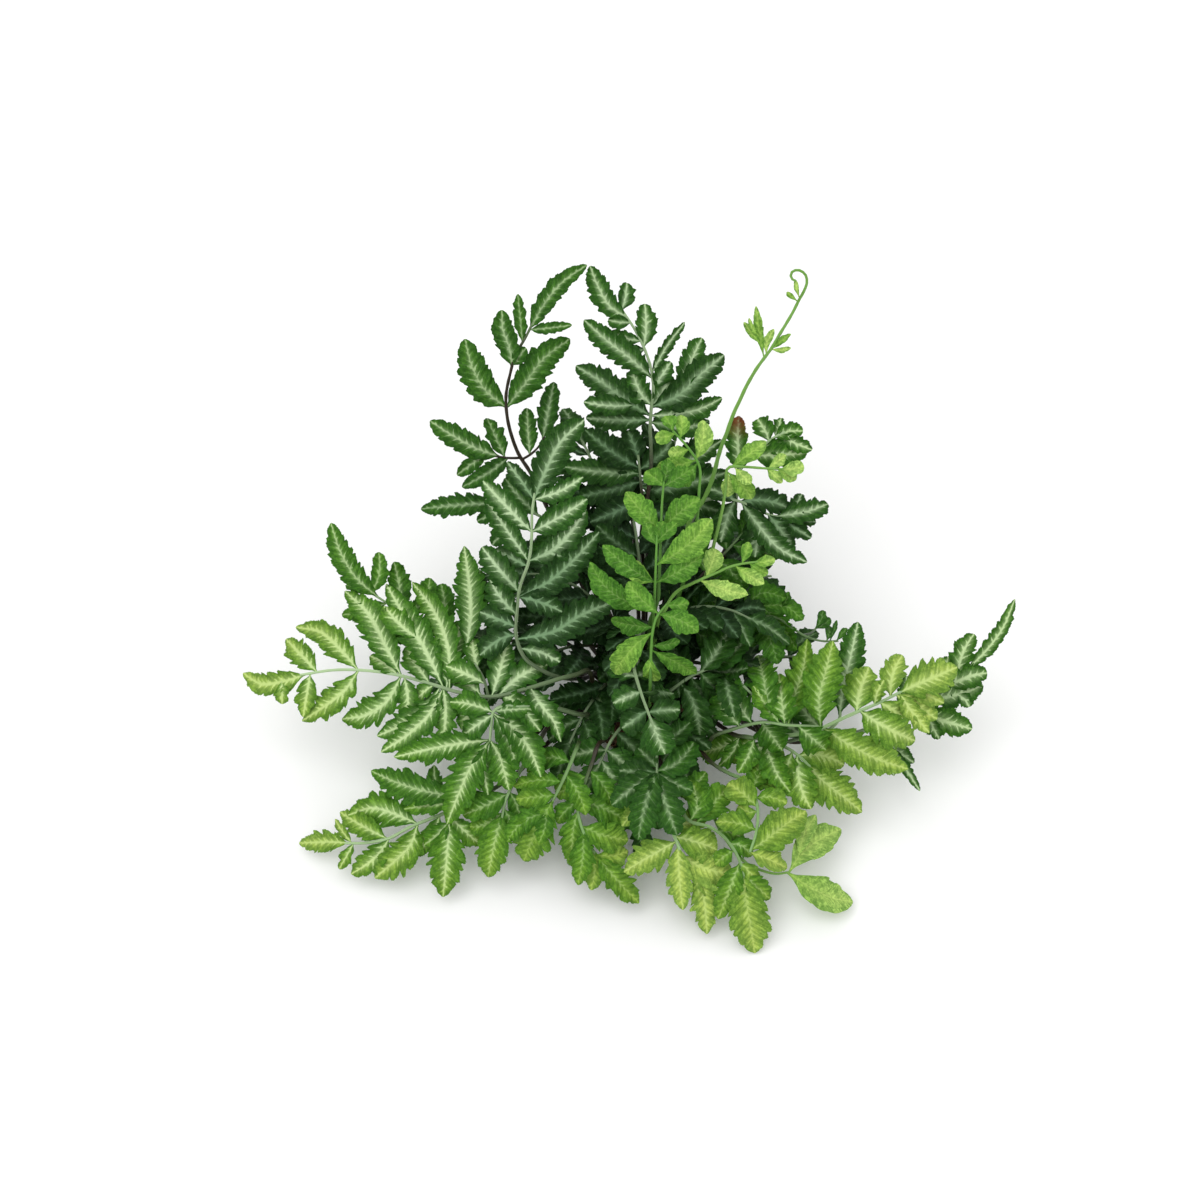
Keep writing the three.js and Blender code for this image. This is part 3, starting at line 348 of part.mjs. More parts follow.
   blades: [[8.1,-0.35,-0.59,0.73,-75.7,-60.6,83.6,-64.1,-65.4,91.4,-52.8,-64.8,91.1],
    [13.7,0.11,-0.74,0.67,-75.9,-61.2,82.6,-65.1,-67.3,77.9,-57.7,-74.2,69.1,-52.9,-80.8,57.1],
    [10.6,-0.34,-0.71,0.62,-76,-61.4,82.1,-81.2,-63,78.7,-86.4,-64.3,74.5,-91.5,-65.1,69.6],
    [13.1,-0.13,-0.76,0.63,-77.8,-67.2,69,-93.6,-69,68.4,-109.4,-69.7,64.3,-125.4,-68.9,57.3],
    [16.2,-0.07,-0.8,0.6,-77.8,-67.2,69,-86.9,-76.5,60.4,-93.5,-85,48.2,-99.5,-92,33.1],
    [12.5,-0.02,-0.79,0.61,-77.8,-67.2,69,-73.3,-73.6,64.9,-70.7,-78.9,58.1,-68.7,-82.9,49.1],
    [10,-0.04,-0.79,0.61,-77.8,-67.2,69,-80.8,-76.5,59.2,-79,-84.2,46.8],
    [11.2,-0.37,-0.49,0.79,-75.8,-60.9,83.1,-82.7,-58,83.6,-89.9,-54.7,82.4,-97.5,-51.4,79],
    [11.2,0.06,-0.77,0.63,-76,-61.4,82.1,-70.6,-67.4,76.9,-67.1,-73,69.7,-65,-78,60.7],
    [9.2,0.18,-0.46,0.87,-61.45,-63.85,91.92,-57.7,-69.3,89.5,-52.9,-73.7,85]] },
  { name: 'frond_left_silver', tone: 0.75, kind: 'mid',
   axes: [[[-18.1,-7.8,27.5,1.15],[-23.5,-14,38,1.11],[-28.7,-22.1,43.8,1.07],[-27.9,-26.8,64.8,1.02],[-30.1,-30.8,77.9,0.98],[-35.8,-36.9,82.2,0.94],[-42.6,-42,86,0.9],[-59.5,-47.3,84.4,0.86],[-76.7,-49.6,80.9,0.81],[-93,-44,77,0.77],[-108.3,-35.8,73.6,0.73],[-123.7,-27.7,69.8,0.68],[-140.3,-22.3,66.9,0.64],[-157.6,-19.5,63.9,0.59],[-175,-20.4,61,0.55]],
    [[-78.7,-48.9,80.4,0.6],[-81.1,-40.3,82.6,0.55],[-85.2,-32.2,83.9,0.5],[-90.3,-24.6,84.8,0.45]]],
   blades: [[11.2,-0.23,-0.4,0.89,-171.5,-20.2,61.6,-182.7,-22.6,58.9,-194.5,-22.3,56.1,-204.8,-14.8,55.5],
    [7.5,-0.22,-0.39,0.89,-184.2,-22.6,58.6,-183.7,-28.7,57.2,-183.7,-33.4,54],
    [11.2,-0.19,-0.34,0.92,-166.2,-19.9,62.5,-171.6,-14.6,64.9,-177.2,-8.4,66.1,-183.1,-1.1,66],
    [12.5,-0.29,-0.32,0.9,-145.1,-21.5,66.1,-154.2,-11.4,69.5,-164.6,-0.5,70.1,-178.8,7.2,65.5],
    [15,-0.27,-0.36,0.89,-123.1,-28,69.9,-131.5,-14.1,77.3,-140.3,2.2,81.5,-153.5,19.1,79.8],
    [10,-0.34,-0.26,0.9,-124.7,-27.4,69.6,-131.4,-20.6,70.4,-139.7,-13.6,67.9],
    [15,-0.31,-0.31,0.9,-101.4,-39.5,75.1,-110.4,-22.2,82.4,-121.4,-3.1,85.5,-132.3,19.4,84.9],
    [12.5,-0.1,-0.16,0.98,-114.4,-15.3,83.5,-121.2,-10.8,85.6,-127.1,-4,86.1,-132.5,4.8,85],
    [13.7,-0.33,-0.26,0.91,-98.3,-41.2,75.8,-99.2,-22.3,85.2,-106.8,-1.7,88.3,-119.1,19.9,85.9],
    [14.2,-0.14,-0.12,0.98,-90.3,-24.6,84.8,-88.4,-6.5,90.9,-89.9,14.7,93.4,-93.2,38.4,92.4],
    [10,-0.37,-0.25,0.89,-82.1,-47.8,79.6,-90.1,-39.4,80.3,-98.4,-28.8,78.1],
    [11.2,-0.24,-0.29,0.93,-77.1,-49.5,80.8,-74.1,-41.6,85.9,-71.6,-32.4,89.5,-69.4,-21.8,91.5],
    [9.4,-0.15,-0.49,0.86,-169.7,-20.1,61.9,-171.2,-30.6,57.5,-173,-38.9,50.5],
    [13.7,-0.29,-0.42,0.86,-145.1,-21.5,66.1,-152.3,-31.3,61.6,-162.5,-36.6,55.6,-173.7,-39.4,47.9],
    [15.8,-0.4,-0.3,0.87,-123.1,-28,69.9,-130.1,-38.9,63.5,-140.6,-42.8,57.1,-153.3,-40.6,51],
    [13.1,-0.43,-0.29,0.86,-102.9,-38.7,74.8,-110.2,-49.5,69.9,-121.9,-53.4,62.9,-134.8,-53.5,54],
    [10.6,-0.34,-0.33,0.88,-101.4,-39.5,75.1,-99.9,-50.4,73.7,-100.1,-59.9,70,-102.4,-67.8,64.1],
    [11.2,0.3,-0.14,0.94,-58,-46.8,84.5,-52.6,-64,93,-46.4,-69.3,86.6,-43,-73.3,75.8],
    [13.7,-0.32,-0.17,0.93,-99.8,-40.4,75.5,-98.7,-28.6,80.3,-95.1,-16.1,83.8,-91.1,-2.1,85.4],
    [11.2,-0.12,-0.21,0.97,-80.5,-42.4,82,-86.8,-39.2,83.3,-93.3,-35.6,83.3,-100.1,-31.3,82.1],
    [12.5,-0.39,-0.28,0.88,-101.4,-39.5,75.1,-107.9,-52.6,70.9,-119.1,-60.2,63.6,-132.3,-63.1,53.7],
    [10,-0.35,-0.37,0.86,-121.5,-28.8,70.3,-119.2,-41.3,67.9,-121.1,-51.2,60.9],
    [11.2,-0.34,-0.41,0.85,-88.7,-45.5,78,-88.5,-51.8,76.4,-89.5,-57.1,73.5,-91.7,-61.3,69.3],
    [12.5,0.02,-0.33,0.95,-73.6,-49.2,81.5,-66.7,-43.5,85.2,-58.6,-38.3,86.8,-49.6,-33.5,86.3],
    [10.4,-0.37,-0.18,0.91,-108.3,-35.8,73.6,-114.6,-26,74.6,-121.4,-11.3,73],
    [8.6,-0.4,-0.29,0.87,-106.39,-36.82,74.02,-111.1,-39.6,71.8,-116.2,-43.1,67.5],
    [9.2,-0.04,-0.46,0.89,-72.4,-49.03,81.78,-66,-52.7,81.4,-59.2,-55.2,79.1],
    [9.2,-0.12,-0.13,0.99,-84.18,-34.23,83.58,-86.3,-27,85.3,-87.6,-15.7,85.5]] },
  { name: 'frond_left_back', tone: 0.1, kind: 'old',
   axes: [[[-20.3,2.1,27.5,1.15],[-24.8,2.9,35.6,1.11],[-28.3,2.3,42,1.07],[-31.9,1.8,48.3,1.02],[-35.8,1.2,54.2,0.98],[-39.9,0.6,59.3,0.94],[-44.3,-0.1,63.9,0.9],[-60.3,-3.8,67.7,0.84],[-76.7,-5.5,71.1,0.78],[-93.4,-2.6,73.7,0.73],[-109.9,1.8,76.2,0.67],[-125.9,7.5,79.1,0.61],[-140.4,16,82.6,0.55]]],
   blades: [[11.2,0.08,-0.48,0.88,-136,13.4,81.5,-147.4,20,89.4,-155.3,31.2,96.2,-160.7,46,101.5],
    [7.8,0,-0.65,0.76,-139.3,15.4,82.4,-135.5,22,90.3,-135.8,31.2,96],
    [6.6,-0.32,-0.26,0.91,-140.4,16,82.6,-146.5,20,81,-153.2,22.9,80.1],
    [10.8,0.1,-0.58,0.81,-124.8,7.1,78.9,-125.2,16.4,80.7,-126.6,23.1,85.3,-128.1,26.8,93.4],
    [10.8,0.08,-0.38,0.92,-102.7,-0.1,75.1,-102.2,6.2,78.7,-102.9,13.1,81.6,-104.6,20.4,83.8],
    [7.8,-0.17,-0.46,0.87,-131.5,10.8,80.4,-142.6,7.2,78.2,-154.7,7.8,74.3],
    [10.8,0.12,-0.45,0.89,-90.2,-3.1,73.2,-86.4,4.6,79.9,-85,14.6,84.8,-84.9,26.5,87.5],
    [10.8,0.17,-0.36,0.92,-110.2,1.9,76.3,-115.4,-2.9,76.7,-121,-6.6,76.3,-126.9,-9.1,75.1],
    [10.8,0.1,-0.46,0.88,-80.1,-4.9,71.6,-76.5,2.7,76.6,-72.7,11,80.5,-68.6,20,83.4],
    [9.6,0.04,-0.47,0.88,-119.9,5.4,78,-112.1,11.3,82.9,-110.1,22.1,86.4]] },
  { name: 'frond_centre_silver', tone: 0.28, kind: 'old',
   axes: [[[-20.5,-0.5,27.5,1.15],[-27.3,-4.4,40.7,1.11],[-31.9,-14.1,50.2,1.07],[-36.6,-22.3,60.5,1.02],[-39.8,-30.2,70.5,0.98],[-43.8,-36.5,79.6,0.94],[-51,-39.8,88,0.9],[-60.8,-35.7,93.9,0.86],[-65.1,-27.2,100.8,0.81],[-64.6,-18.9,109.7,0.77],[-63.1,-10.4,118.3,0.73],[-59,-2.8,126.8,0.68],[-57.3,4.4,136.5,0.64],[-57,11.6,146.3,0.59],[-55.5,18.7,156,0.55]]],
   blades: [[14.4,-0.02,-0.75,0.66,-56.1,15.9,152.1,-50.2,23.2,165.2,-43,32.2,175.5,-31.7,41.2,181.4],
    [8.4,-0.13,-0.75,0.65,-56.1,15.9,152.1,-62.2,21.5,159.8,-69,29.2,164.7],
    [10.8,-0.08,-0.76,0.65,-57.2,6.5,139.3,-65.2,10.7,146.6,-73,16.5,152.4,-80.8,24,156.7],
    [10.8,-0.15,-0.73,0.67,-58.9,-2.2,127.5,-65.8,3.7,135.9,-72.7,11.3,142.6,-79.6,20.5,147.6],
    [12,-0.11,-0.64,0.76,-63.5,-12.4,116.2,-69.7,-7.7,121.7,-75.8,-1.7,126,-81.7,5.7,129],
    [8.4,0.02,-0.78,0.63,-56.1,15.9,152.1,-43.5,17.3,156.7,-32.2,23.2,160.4],
    [12,0.06,-0.77,0.63,-57.2,6.5,139.3,-47.9,8.3,144.4,-39,12.1,148.2,-30.3,17.8,150.5],
    [13.2,0,-0.73,0.68,-58.9,-2.2,127.5,-47,0,133.1,-38,6.2,139.9,-30.8,15.1,146.3],
    [13.2,0.03,-0.66,0.75,-63.8,-14.1,114.5,-48.6,-10.1,121.8,-35.9,-1.4,129,-24.5,10.6,134.5],
    [14.4,0.18,-0.56,0.81,-64.4,-28.6,99.7,-47.3,-25.9,101.9,-32.3,-16.8,104.7,-16.1,-7.4,103.4],
    [12,-0.08,-0.67,0.74,-64.7,-20.1,108.4,-69.9,-17.2,112.6,-74.2,-12.8,116.2,-77.8,-6.9,118.9],
    [12,-0.06,-0.74,0.67,-65.1,-26.8,101.2,-71.7,-28.8,100.8,-77.6,-31.1,97.8,-82.8,-33.1,92.9],
    [10.2,-0.11,-0.7,0.71,-64.9,-24.3,103.9,-70.8,-22.8,106,-76.7,-20.6,107.2,-82.8,-17.8,107.5],
    [10.2,0.05,-0.73,0.68,-63.8,-14.1,114.5,-56.4,-15.9,114.3,-49.3,-17.4,112.2,-42.6,-18.5,108.4],
    [9.6,0.19,-0.62,0.77,-62.6,-32.1,96.8,-52.7,-33.5,95.3,-43.6,-35,89.9],
    [9.2,-0.23,-0.66,0.71,-59.51,-3.75,125.74,-66.9,-0.6,128,-75.4,4.4,128.2]] },
  { name: 'frond_left_upper', tone: 0.15, kind: 'old',
   axes: [[[-10.6,5.7,33.5,1.15],[-13.4,9.4,57.4,1.11],[-16.3,13,58.2,1.07],[-19.4,16.7,66,1.02],[-23.1,20.5,74.7,0.98],[-26.8,24.5,83.2,0.94],[-29.1,29.3,92,0.9],[-36,34.8,96.8,0.84],[-43.2,40.1,101.4,0.78],[-51.3,44.8,105.2,0.73],[-60.2,48.5,108.2,0.67],[-69.8,50.5,110.2,0.61],[-79.7,50.8,112,0.55]]],
   blades: [[10.9,0.06,-0.42,0.9,-75.9,50.7,111.3,-88.6,47.9,113.5,-101.4,46.5,113.6,-114.4,46.4,111.7],
    [7.5,0.07,-0.46,0.88,-72.2,50.6,110.6,-78.8,45.2,109.7,-86.1,42.1,107.3],
    [10.4,0.04,-0.51,0.86,-59.7,48.3,108,-66.7,42.7,107,-72.9,37.4,104.2,-78.6,32.7,99.7],
    [10.4,0.05,-0.38,0.92,-55,46.3,106.4,-61.3,50.7,110.4,-67.2,56.8,113.2,-72.3,64.6,115],
    [11.5,-0.02,-0.66,0.75,-44.2,40.7,101.9,-49.6,35.1,99,-54.3,30,94.4,-58.5,25.8,88.3],
    [10.4,0.13,-0.39,0.91,-44.2,40.7,101.9,-45.2,49.6,103.5,-45.2,56.8,107,-44.4,63,111.4]] },
  { name: 'frond_centre_forward', tone: 0.3, kind: 'old',
   axes: [[[-4.7,-9.3,33.5,1.15],[-4.4,-11,47.4,1.11],[-3.7,-12.6,63.7,1.07],[-4,-15.2,79.6,1.02],[-5,-19.2,92.9,0.98],[-4.5,-24.3,102,0.94],[-5.5,-32.4,103.7,0.9],[-7.2,-38.7,101.9,0.84],[-7.7,-46.1,100.4,0.78],[-6,-54,98.7,0.73],[-3.6,-61.1,95.5,0.67],[-0.8,-67.2,91.1,0.61],[2,-73.4,87,0.55]]],
   blades: [[14.4,0.12,-0.66,0.74,-0.1,-68.7,90.1,2.2,-73.9,86.8,4.7,-78.2,82.5,7.4,-81.8,77.2],
    [10.2,-0.48,0.05,0.88,-6.4,-51.9,99.1,-10.6,-47.5,96.1,-14.8,-43.6,93.7,-19.1,-40.1,91.5],
    [10.2,0.45,0.03,0.89,-6.5,-51.3,99.3,-2,-44.5,92.7,2.5,-42.4,92.5,6.8,-39.9,92.1],
    [10.8,0.08,-0.48,0.87,-4.4,-58.6,96.6,-8.9,-61.4,97.2,-13.3,-63.2,96.6,-17.7,-64.2,94.8],
    [10.8,-0.51,-0.79,0.35,-4.2,-59.2,96.4,1.3,-54.6,90.9,6.4,-57.5,94.4,11.1,-65.6,104.1],
    [10.8,0.09,-0.66,0.74,-1.2,-66.3,91.7,-5.2,-69,90.4,-9.3,-71.4,88.8,-13.4,-73.4,87],
    [10.8,0.15,-0.62,0.77,-0.7,-67.2,91.1,4.3,-66.7,91.9,9.5,-65.9,91.5,14.6,-64.8,90.1]] },
  { name: 'frond_centre_low', tone: 0.22, kind: 'old',
   axes: [[[5.7,-15.8,27.5,1.15],[5.3,-20,35.7,1.11],[4.9,-24.2,43.6,1.07],[4.5,-28.1,51.3,1.02],[4.6,-32.3,58.6,0.98],[1.9,-33.9,69.7,0.94],[3.3,-41.7,68,0.9],[3.5,-48.3,67.5,0.84],[3.8,-55,67,0.78],[4,-61.5,66.1,0.73],[4,-68,64.4,0.67],[3.9,-74.2,62.2,0.61],[3.8,-80.5,60,0.55]]],
   blades: [[10.2,-0.06,-0.26,0.96,3.9,-78.1,60.8,0.9,-74.5,61.6,-2.2,-71,62.3,-5.4,-67.6,63.1],
    [11.4,-0.11,-0.32,0.94,3.8,-80,60.2,-2.4,-80.4,60.6,-8.6,-79.7,60.1,-14.7,-77.8,58.8],
    [13.2,0.07,-0.27,0.96,3.8,-79.6,60.3,11.6,-77.6,61.8,17.6,-72,62.9,22.2,-64.1,63.2],
    [10.2,0.09,-0.37,0.93,3.8,-80.5,60,9.3,-84.1,59,15.1,-86.7,57.5,21.4,-88,55.4],
    [14.4,0.03,-0.42,0.91,3.8,-80,60.2,6.4,-90.7,57.4,9.6,-100,52.9,13.4,-108.1,47],
    [14.4,-0.03,-0.42,0.91,3.8,-80.5,60,-0.5,-92,58,-3.5,-102,53.3,-5.6,-110.4,46],
    [12,-0.08,-0.38,0.92,3.8,-80.5,60,-3.9,-85.9,59.4,-11.3,-90.2,56.8,-18.2,-94.2,52.3],
    [10.8,-0.08,-0.21,0.97,4,-64.2,65.4,-1.5,-61.2,66.8,-7.3,-57.8,67,-13.2,-54,66.2],
    [10.8,0.07,-0.2,0.98,4,-67.2,64.6,10,-64.3,66,15.6,-60,66.5,20.4,-53.9,66.1]] },
  { name: 'frond_centre_right', tone: 0.25, kind: 'old',
   axes: [[[8.6,-15,27.5,1.15],[9,-20.5,34.5,1.11],[7.4,-26.4,41.6,1.07],[5.6,-32.4,47.9,1.02],[5.4,-34.8,60.4,0.98],[6.6,-38.2,65.3,0.94],[8.2,-41,71.2,0.9],[11.7,-40.9,75.6,0.84],[15.2,-39.9,78.6,0.78],[18.9,-38.3,80.8,0.73],[22.7,-37.3,83,0.67],[26.8,-36.5,84.8,0.61],[31.6,-28.8,77.3,0.55]]],
   blades: [[14.4,-0.06,-0.11,0.99,25.3,-36.8,84.2,30.8,-31,86.4,35.5,-23.3,87.5,39.6,-14.1,87.5],
    [13.2,-0.13,-0.11,0.99,27.9,-34.7,83,35.4,-28.8,74.4,42.3,-31.6,78.3,48.8,-35.5,85.6],
    [13.2,-0.01,-0.97,0.23,20.5,-37.9,81.7,25.8,-38.6,71.4,30.3,-39.6,60.5,33.9,-44.7,53.9],
    [13.2,-0.08,-0.92,0.38,15.7,-39.7,78.9,21.1,-46.7,75.8,24.1,-52.3,68.8,25.8,-51.6,52.3],
    [12,-0.1,-0.36,0.93,31.6,-28.8,77.3,37.2,-28.5,83.5,42.8,-24.3,85.6,48.1,-16.2,83.8],
    [12,-0.57,-0.06,0.82,20.5,-37.9,81.7,17.1,-31.3,82.8,13.6,-21.9,80.2,10.1,-11.5,76.4],
    [12,0.38,-0.77,0.52,25.3,-36.8,84.2,30.4,-37.3,74.8,34.4,-37.9,63.9,37.6,-45.7,61.9]] },
  { name: 'frond_centre_left_low', tone: 0.25, kind: 'old',
   axes: [[[-6.5,-15.7,27.5,1.15],[-6.4,-20.9,34.7,1.11],[-6.1,-26.1,41.6,1.07],[-6,-31.3,48,1.02],[-6.2,-36.3,53.5,0.98],[-6.9,-41.4,58.1,0.94],[-8.1,-46.5,62,0.9],[-11.5,-50.7,61.3,0.84],[-14.8,-54.9,60.5,0.78],[-17.9,-59.3,59.5,0.73],[-20.5,-63.7,57.8,0.67],[-22.9,-68.1,55.6,0.61],[-25,-72.4,53,0.55]]],
   blades: [[12,-0.14,-0.64,0.75,-24.2,-70.8,54,-26.9,-74.1,51.3,-29,-77.5,48,-30.9,-80.7,44.3],
    [12,-0.2,-0.45,0.87,-20.9,-64.5,57.4,-27,-66,58.4,-33,-65.2,55.3,-38.8,-65.5,52.8],
    [12,0.1,-0.54,0.83,-20.9,-64.5,57.4,-15.7,-68,55.9,-11.4,-71.5,52.9,-8.2,-75.5,48.9],
    [12,-0.19,-0.08,0.98,-16.6,-57.4,59.9,-21.5,-52.8,59.5,-26.6,-48.4,59,-32,-44,58],
    [12,0.21,-0.41,0.89,-15.7,-56.1,60.2,-11.6,-59.5,58.5,-7.7,-62.7,56.2,-4.2,-65.8,53.1],
    [12,0.03,-0.64,0.77,-23.4,-69.1,55,-20,-74.3,53,-17.1,-78.6,49.3,-15.1,-82.1,43.8],
    [10.8,-0.12,0.05,0.99,-11.4,-50.6,61.3,-18,-45.2,61.9,-23.8,-37.3,60.6,-29,-27.5,57.8]] },
  { name: 'frond_rear_1', tone: 0.12, kind: 'old',
   axes: [[[-2.7,16.4,27.5,1.15],[-3.2,21.8,33.5,1.11],[-3.6,27.1,39.5,1.07],[-3.9,32.4,45.4,1.02],[-4.3,37.5,51.1,0.98],[-4.6,42.6,56.6,0.94],[-5,47.7,62,0.9],[-6.7,64.2,75.5,0.81],[-8.9,84.9,78.6,0.73],[-10.9,103.3,68.2,0.64],[-12.3,117.4,52,0.55]]],
   blades: [[11.1,0.15,-0.57,0.81,-5.8,54.8,67.8,7.5,61.8,74,17.8,75,77.6],
    [11.1,-0.02,-0.57,0.82,-5.8,55,68,-18.8,61.7,75.8,-30,73.4,80],
    [10.3,0.1,-0.05,0.99,-7.4,70.4,76.4,4.2,80.2,78.6,13.3,93.2,75.6],
    [10.3,-0.07,-0.06,1,-7.3,69.9,76.4,-20,79.3,78.9,-30.7,91.5,76],
    [8.7,0.02,0.57,0.82,-9.5,90.1,75.6,0,100.1,71.6,7.8,108.4,62.6],
    [8.7,-0.14,0.55,0.82,-9.5,90,75.7,-20.2,97.2,71.9,-29,103.2,63.5],
    [7.2,0,0.8,0.6,-11,104.4,67,-3.8,110.2,62.4,2.2,114.1,54.1],
    [7.2,-0.16,0.8,0.58,-11,105.1,66.2,-20.1,110,60.6,-27.3,112.8,51.1],
    [10.3,-0.08,0.82,0.56,-11.5,109.6,61,-12.5,121.1,49.2,-13,128.1,33.8]] },
  { name: 'frond_rear_2', tone: 0.15, kind: 'old',
   axes: [[[9.6,14.6,27.5,1.15],[11.7,19,32.9,1.11],[13.7,23.3,38.4,1.07],[15.6,27.6,43.7,1.02],[17.6,31.7,48.9,0.98],[19.6,35.8,54,0.94],[21.6,39.9,58.9,0.9],[29.7,55.1,71.7,0.81],[39.5,73.8,69.3,0.73],[47,88.1,54.4,0.64],[52.6,98.9,36,0.55]]],
   blades: [[10.9,-0.13,-0.5,0.86,24.5,45.5,63.6,38.7,45.9,69.3,53.7,52.5,72.1],
    [10.9,-0.33,-0.38,0.87,25,46.3,64.3,18.1,59.4,70.7,15.7,76.3,73.8],
    [9.6,0.18,0.15,0.97,33.1,61.7,70.8,46.7,66.7,70.2,59,73.4,64.4],
    [9.6,0.01,0.22,0.97,33.2,61.8,70.8,28.4,76.2,70.3,26,90.8,64.2],
    [9.2,0.42,0.61,0.67,41.4,77.5,65.4,53.8,78.9,60,63.6,79.6,49.7],
    [9.2,0.27,0.69,0.67,41.2,77.1,65.8,35.2,89.8,59.4,29.8,99.2,47.9],
    [7.4,0.48,0.73,0.48,47.4,89,53,57,89.2,47.2,64,88.1,37.6],
    [7.4,0.34,0.81,0.48,47.5,89.1,52.8,42.5,97.6,46.4,37.8,103,36.1],
    [10.3,0.42,0.79,0.45,49.5,92.9,46.2,53.9,101.8,32.8,56,106.2,16.6]] },
  { name: 'frond_rear_3', tone: 0.14, kind: 'old',
   axes: [[[-11.6,13.6,27.5,1.15],[-13.6,18.2,32.9,1.11],[-16.4,22,38.2,1.07],[-19.2,25.8,43.4,1.02],[-21.8,29.6,48.5,0.98],[-24.4,33.4,53.3,0.94],[-27,37.2,58,0.9],[-36.8,50.7,70.4,0.81],[-48.6,66.9,67,0.73],[-57.1,78.6,52,0.64],[-63.5,87.4,34,0.55]]],
   blades: [[11.7,0.38,-0.37,0.84,-31.1,42.8,63.1,-23.8,57.9,70.4,-22.4,76.6,74.1],
    [11.7,0.28,-0.48,0.83,-30.5,42,62.4,-46.6,38.4,70.3,-64.5,42.2,74.1],
    [9.4,-0.08,0.25,0.96,-39.9,54.9,69.5,-36.9,70.3,68.7,-35.8,84.8,62.1],
    [9.4,-0.22,0.16,0.96,-40.7,56.1,69.3,-55.1,58.6,68.3,-68,62.3,62],
    [9.2,-0.38,0.68,0.63,-50.2,69.1,64.2,-45.2,81.6,58.1,-40.4,90.9,46.7],
    [9.2,-0.53,0.57,0.63,-51,70.2,62.8,-63.9,68.3,57.8,-74.2,66.1,47.1],
    [7.2,-0.47,0.77,0.43,-58.3,80.2,48.7,-55.1,88.7,41.7,-51.3,93.8,31.9],
    [7.2,-0.59,0.69,0.43,-58.2,80.2,48.8,-67.4,79.8,41.6,-73.5,77.8,31.7],
    [10.3,-0.54,0.74,0.41,-60,82.5,44,-65.3,90.2,30.3,-67.7,93.6,14]] },
  { name: 'frond_rear_4', tone: 0.1, kind: 'old',
   axes: [[[2,9.9,33.5,1.15],[2.8,14.7,44.2,1.11],[3.9,21.1,54.3,1.07],[5.1,28.6,64,1.02],[6.4,36.2,73.3,0.98],[7.6,43.5,82.4,0.94],[8.7,49.7,91.5,0.9],[10.1,57.7,104.9,0.81],[11.8,67.2,117.3,0.73],[14,79.5,126.6,0.64],[16.7,94.5,128,0.55]]],
   blades: [[10,-0.07,-0.81,0.58,9.2,52.6,96.4,21,54.2,104.5,31.9,62,112],
    [10,-0.32,-0.71,0.63,9.3,52.9,96.8,-3,60,103,-12,73,108.4],
    [9,-0.05,-0.73,0.68,10.5,60,107.9,22,61.9,114.5,32.5,69.7,120],
    [9,-0.19,-0.7,0.69,10.5,60.1,108.1,1.7,67.8,117.4,-4.5,80,124.2],
    [8.4,-0.02,-0.52,0.85,12.3,69.7,119.2,23.3,75,125.5,33.3,84.5,128.6],
    [8.4,-0.16,-0.49,0.86,12.3,69.8,119.3,4.1,78.4,125.5,-1.6,90.6,128.6],
    [7,0.08,-0.01,1,14.4,81.6,126.8,23.7,87.3,128.1,32,95.3,125.5],
    [7,-0.07,0.02,1,14.4,82,126.8,9.1,90.7,128.1,5.2,100.3,125.8],
    [9.7,0.01,0.03,1,15.2,86,127.2,18.3,101,129.5,21.4,116.2,126.3]] },
  { name: 'frond_rear_5', tone: 0.1, kind: 'old',
   axes: [[[-8.2,7.8,33.5,1.15],[-9.4,12.5,43.6,1.11],[-11,19,53,1.07],[-12.8,26.4,62,1.02],[-14.8,33.9,70.7,0.98],[-16.8,40.8,79.3,0.94],[-18.7,46.4,88,0.9],[-21.4,53.1,101,0.81],[-24.7,61.2,113.1,0.73],[-29,71.9,122.4,0.64],[-34.5,85.3,124,0.55]]],
   blades: [[10.7,0.55,-0.49,0.67,-19.8,49,93.1,-9.9,62.7,99.1,-4.5,81.4,104.1],
    [10.7,0.22,-0.79,0.58,-19.8,49.1,93.4,-33,49.6,103.8,-46.4,56.6,113.4],
    [9.2,0.35,-0.69,0.64,-22.3,55.2,104.2,-13.8,58.7,116.5,-8.9,74.8,117.9],
    [9.2,0.18,-0.72,0.67,-22.3,55.2,104.2,-33.8,55.7,112.6,-45.5,62.5,118.2],
    [8.8,0.29,-0.49,0.82,-25.5,63.1,114.7,-18.5,72.3,120.6,-14.8,85.1,124],
    [8.8,0.13,-0.56,0.82,-25.6,63.3,114.9,-38.6,64.4,121.5,-51.6,71.3,124.4],
    [7.2,0.08,0.01,1,-29.9,73.9,122.7,-25.2,84.5,124.2,-22.5,95.8,121.8],
    [7.2,-0.07,-0.05,1,-29.6,73.2,122.6,-40.4,77.2,124.1,-50.4,83.5,121.6],
    [9.7,-0.01,0.01,1,-31.4,77.7,123.1,-37.3,91.8,125.7,-43.2,106.2,122.8]] },
  { name: 'frond_rear_right', tone: 0.16, kind: 'old',
   axes: [[[14.2,11.9,27.5,1.15],[16.9,15.1,30.9,1.11],[19.5,18.4,34.4,1.07],[22.1,21.5,37.8,1.02],[24.5,24.6,41.2,0.98],[26.9,27.4,44.6,0.94],[29.2,30.2,48,0.9],[37.3,38.7,62,0.81],[49.2,51,63.3,0.73],[57.9,60,50.2,0.64],[63.9,66.2,34,0.55]]],
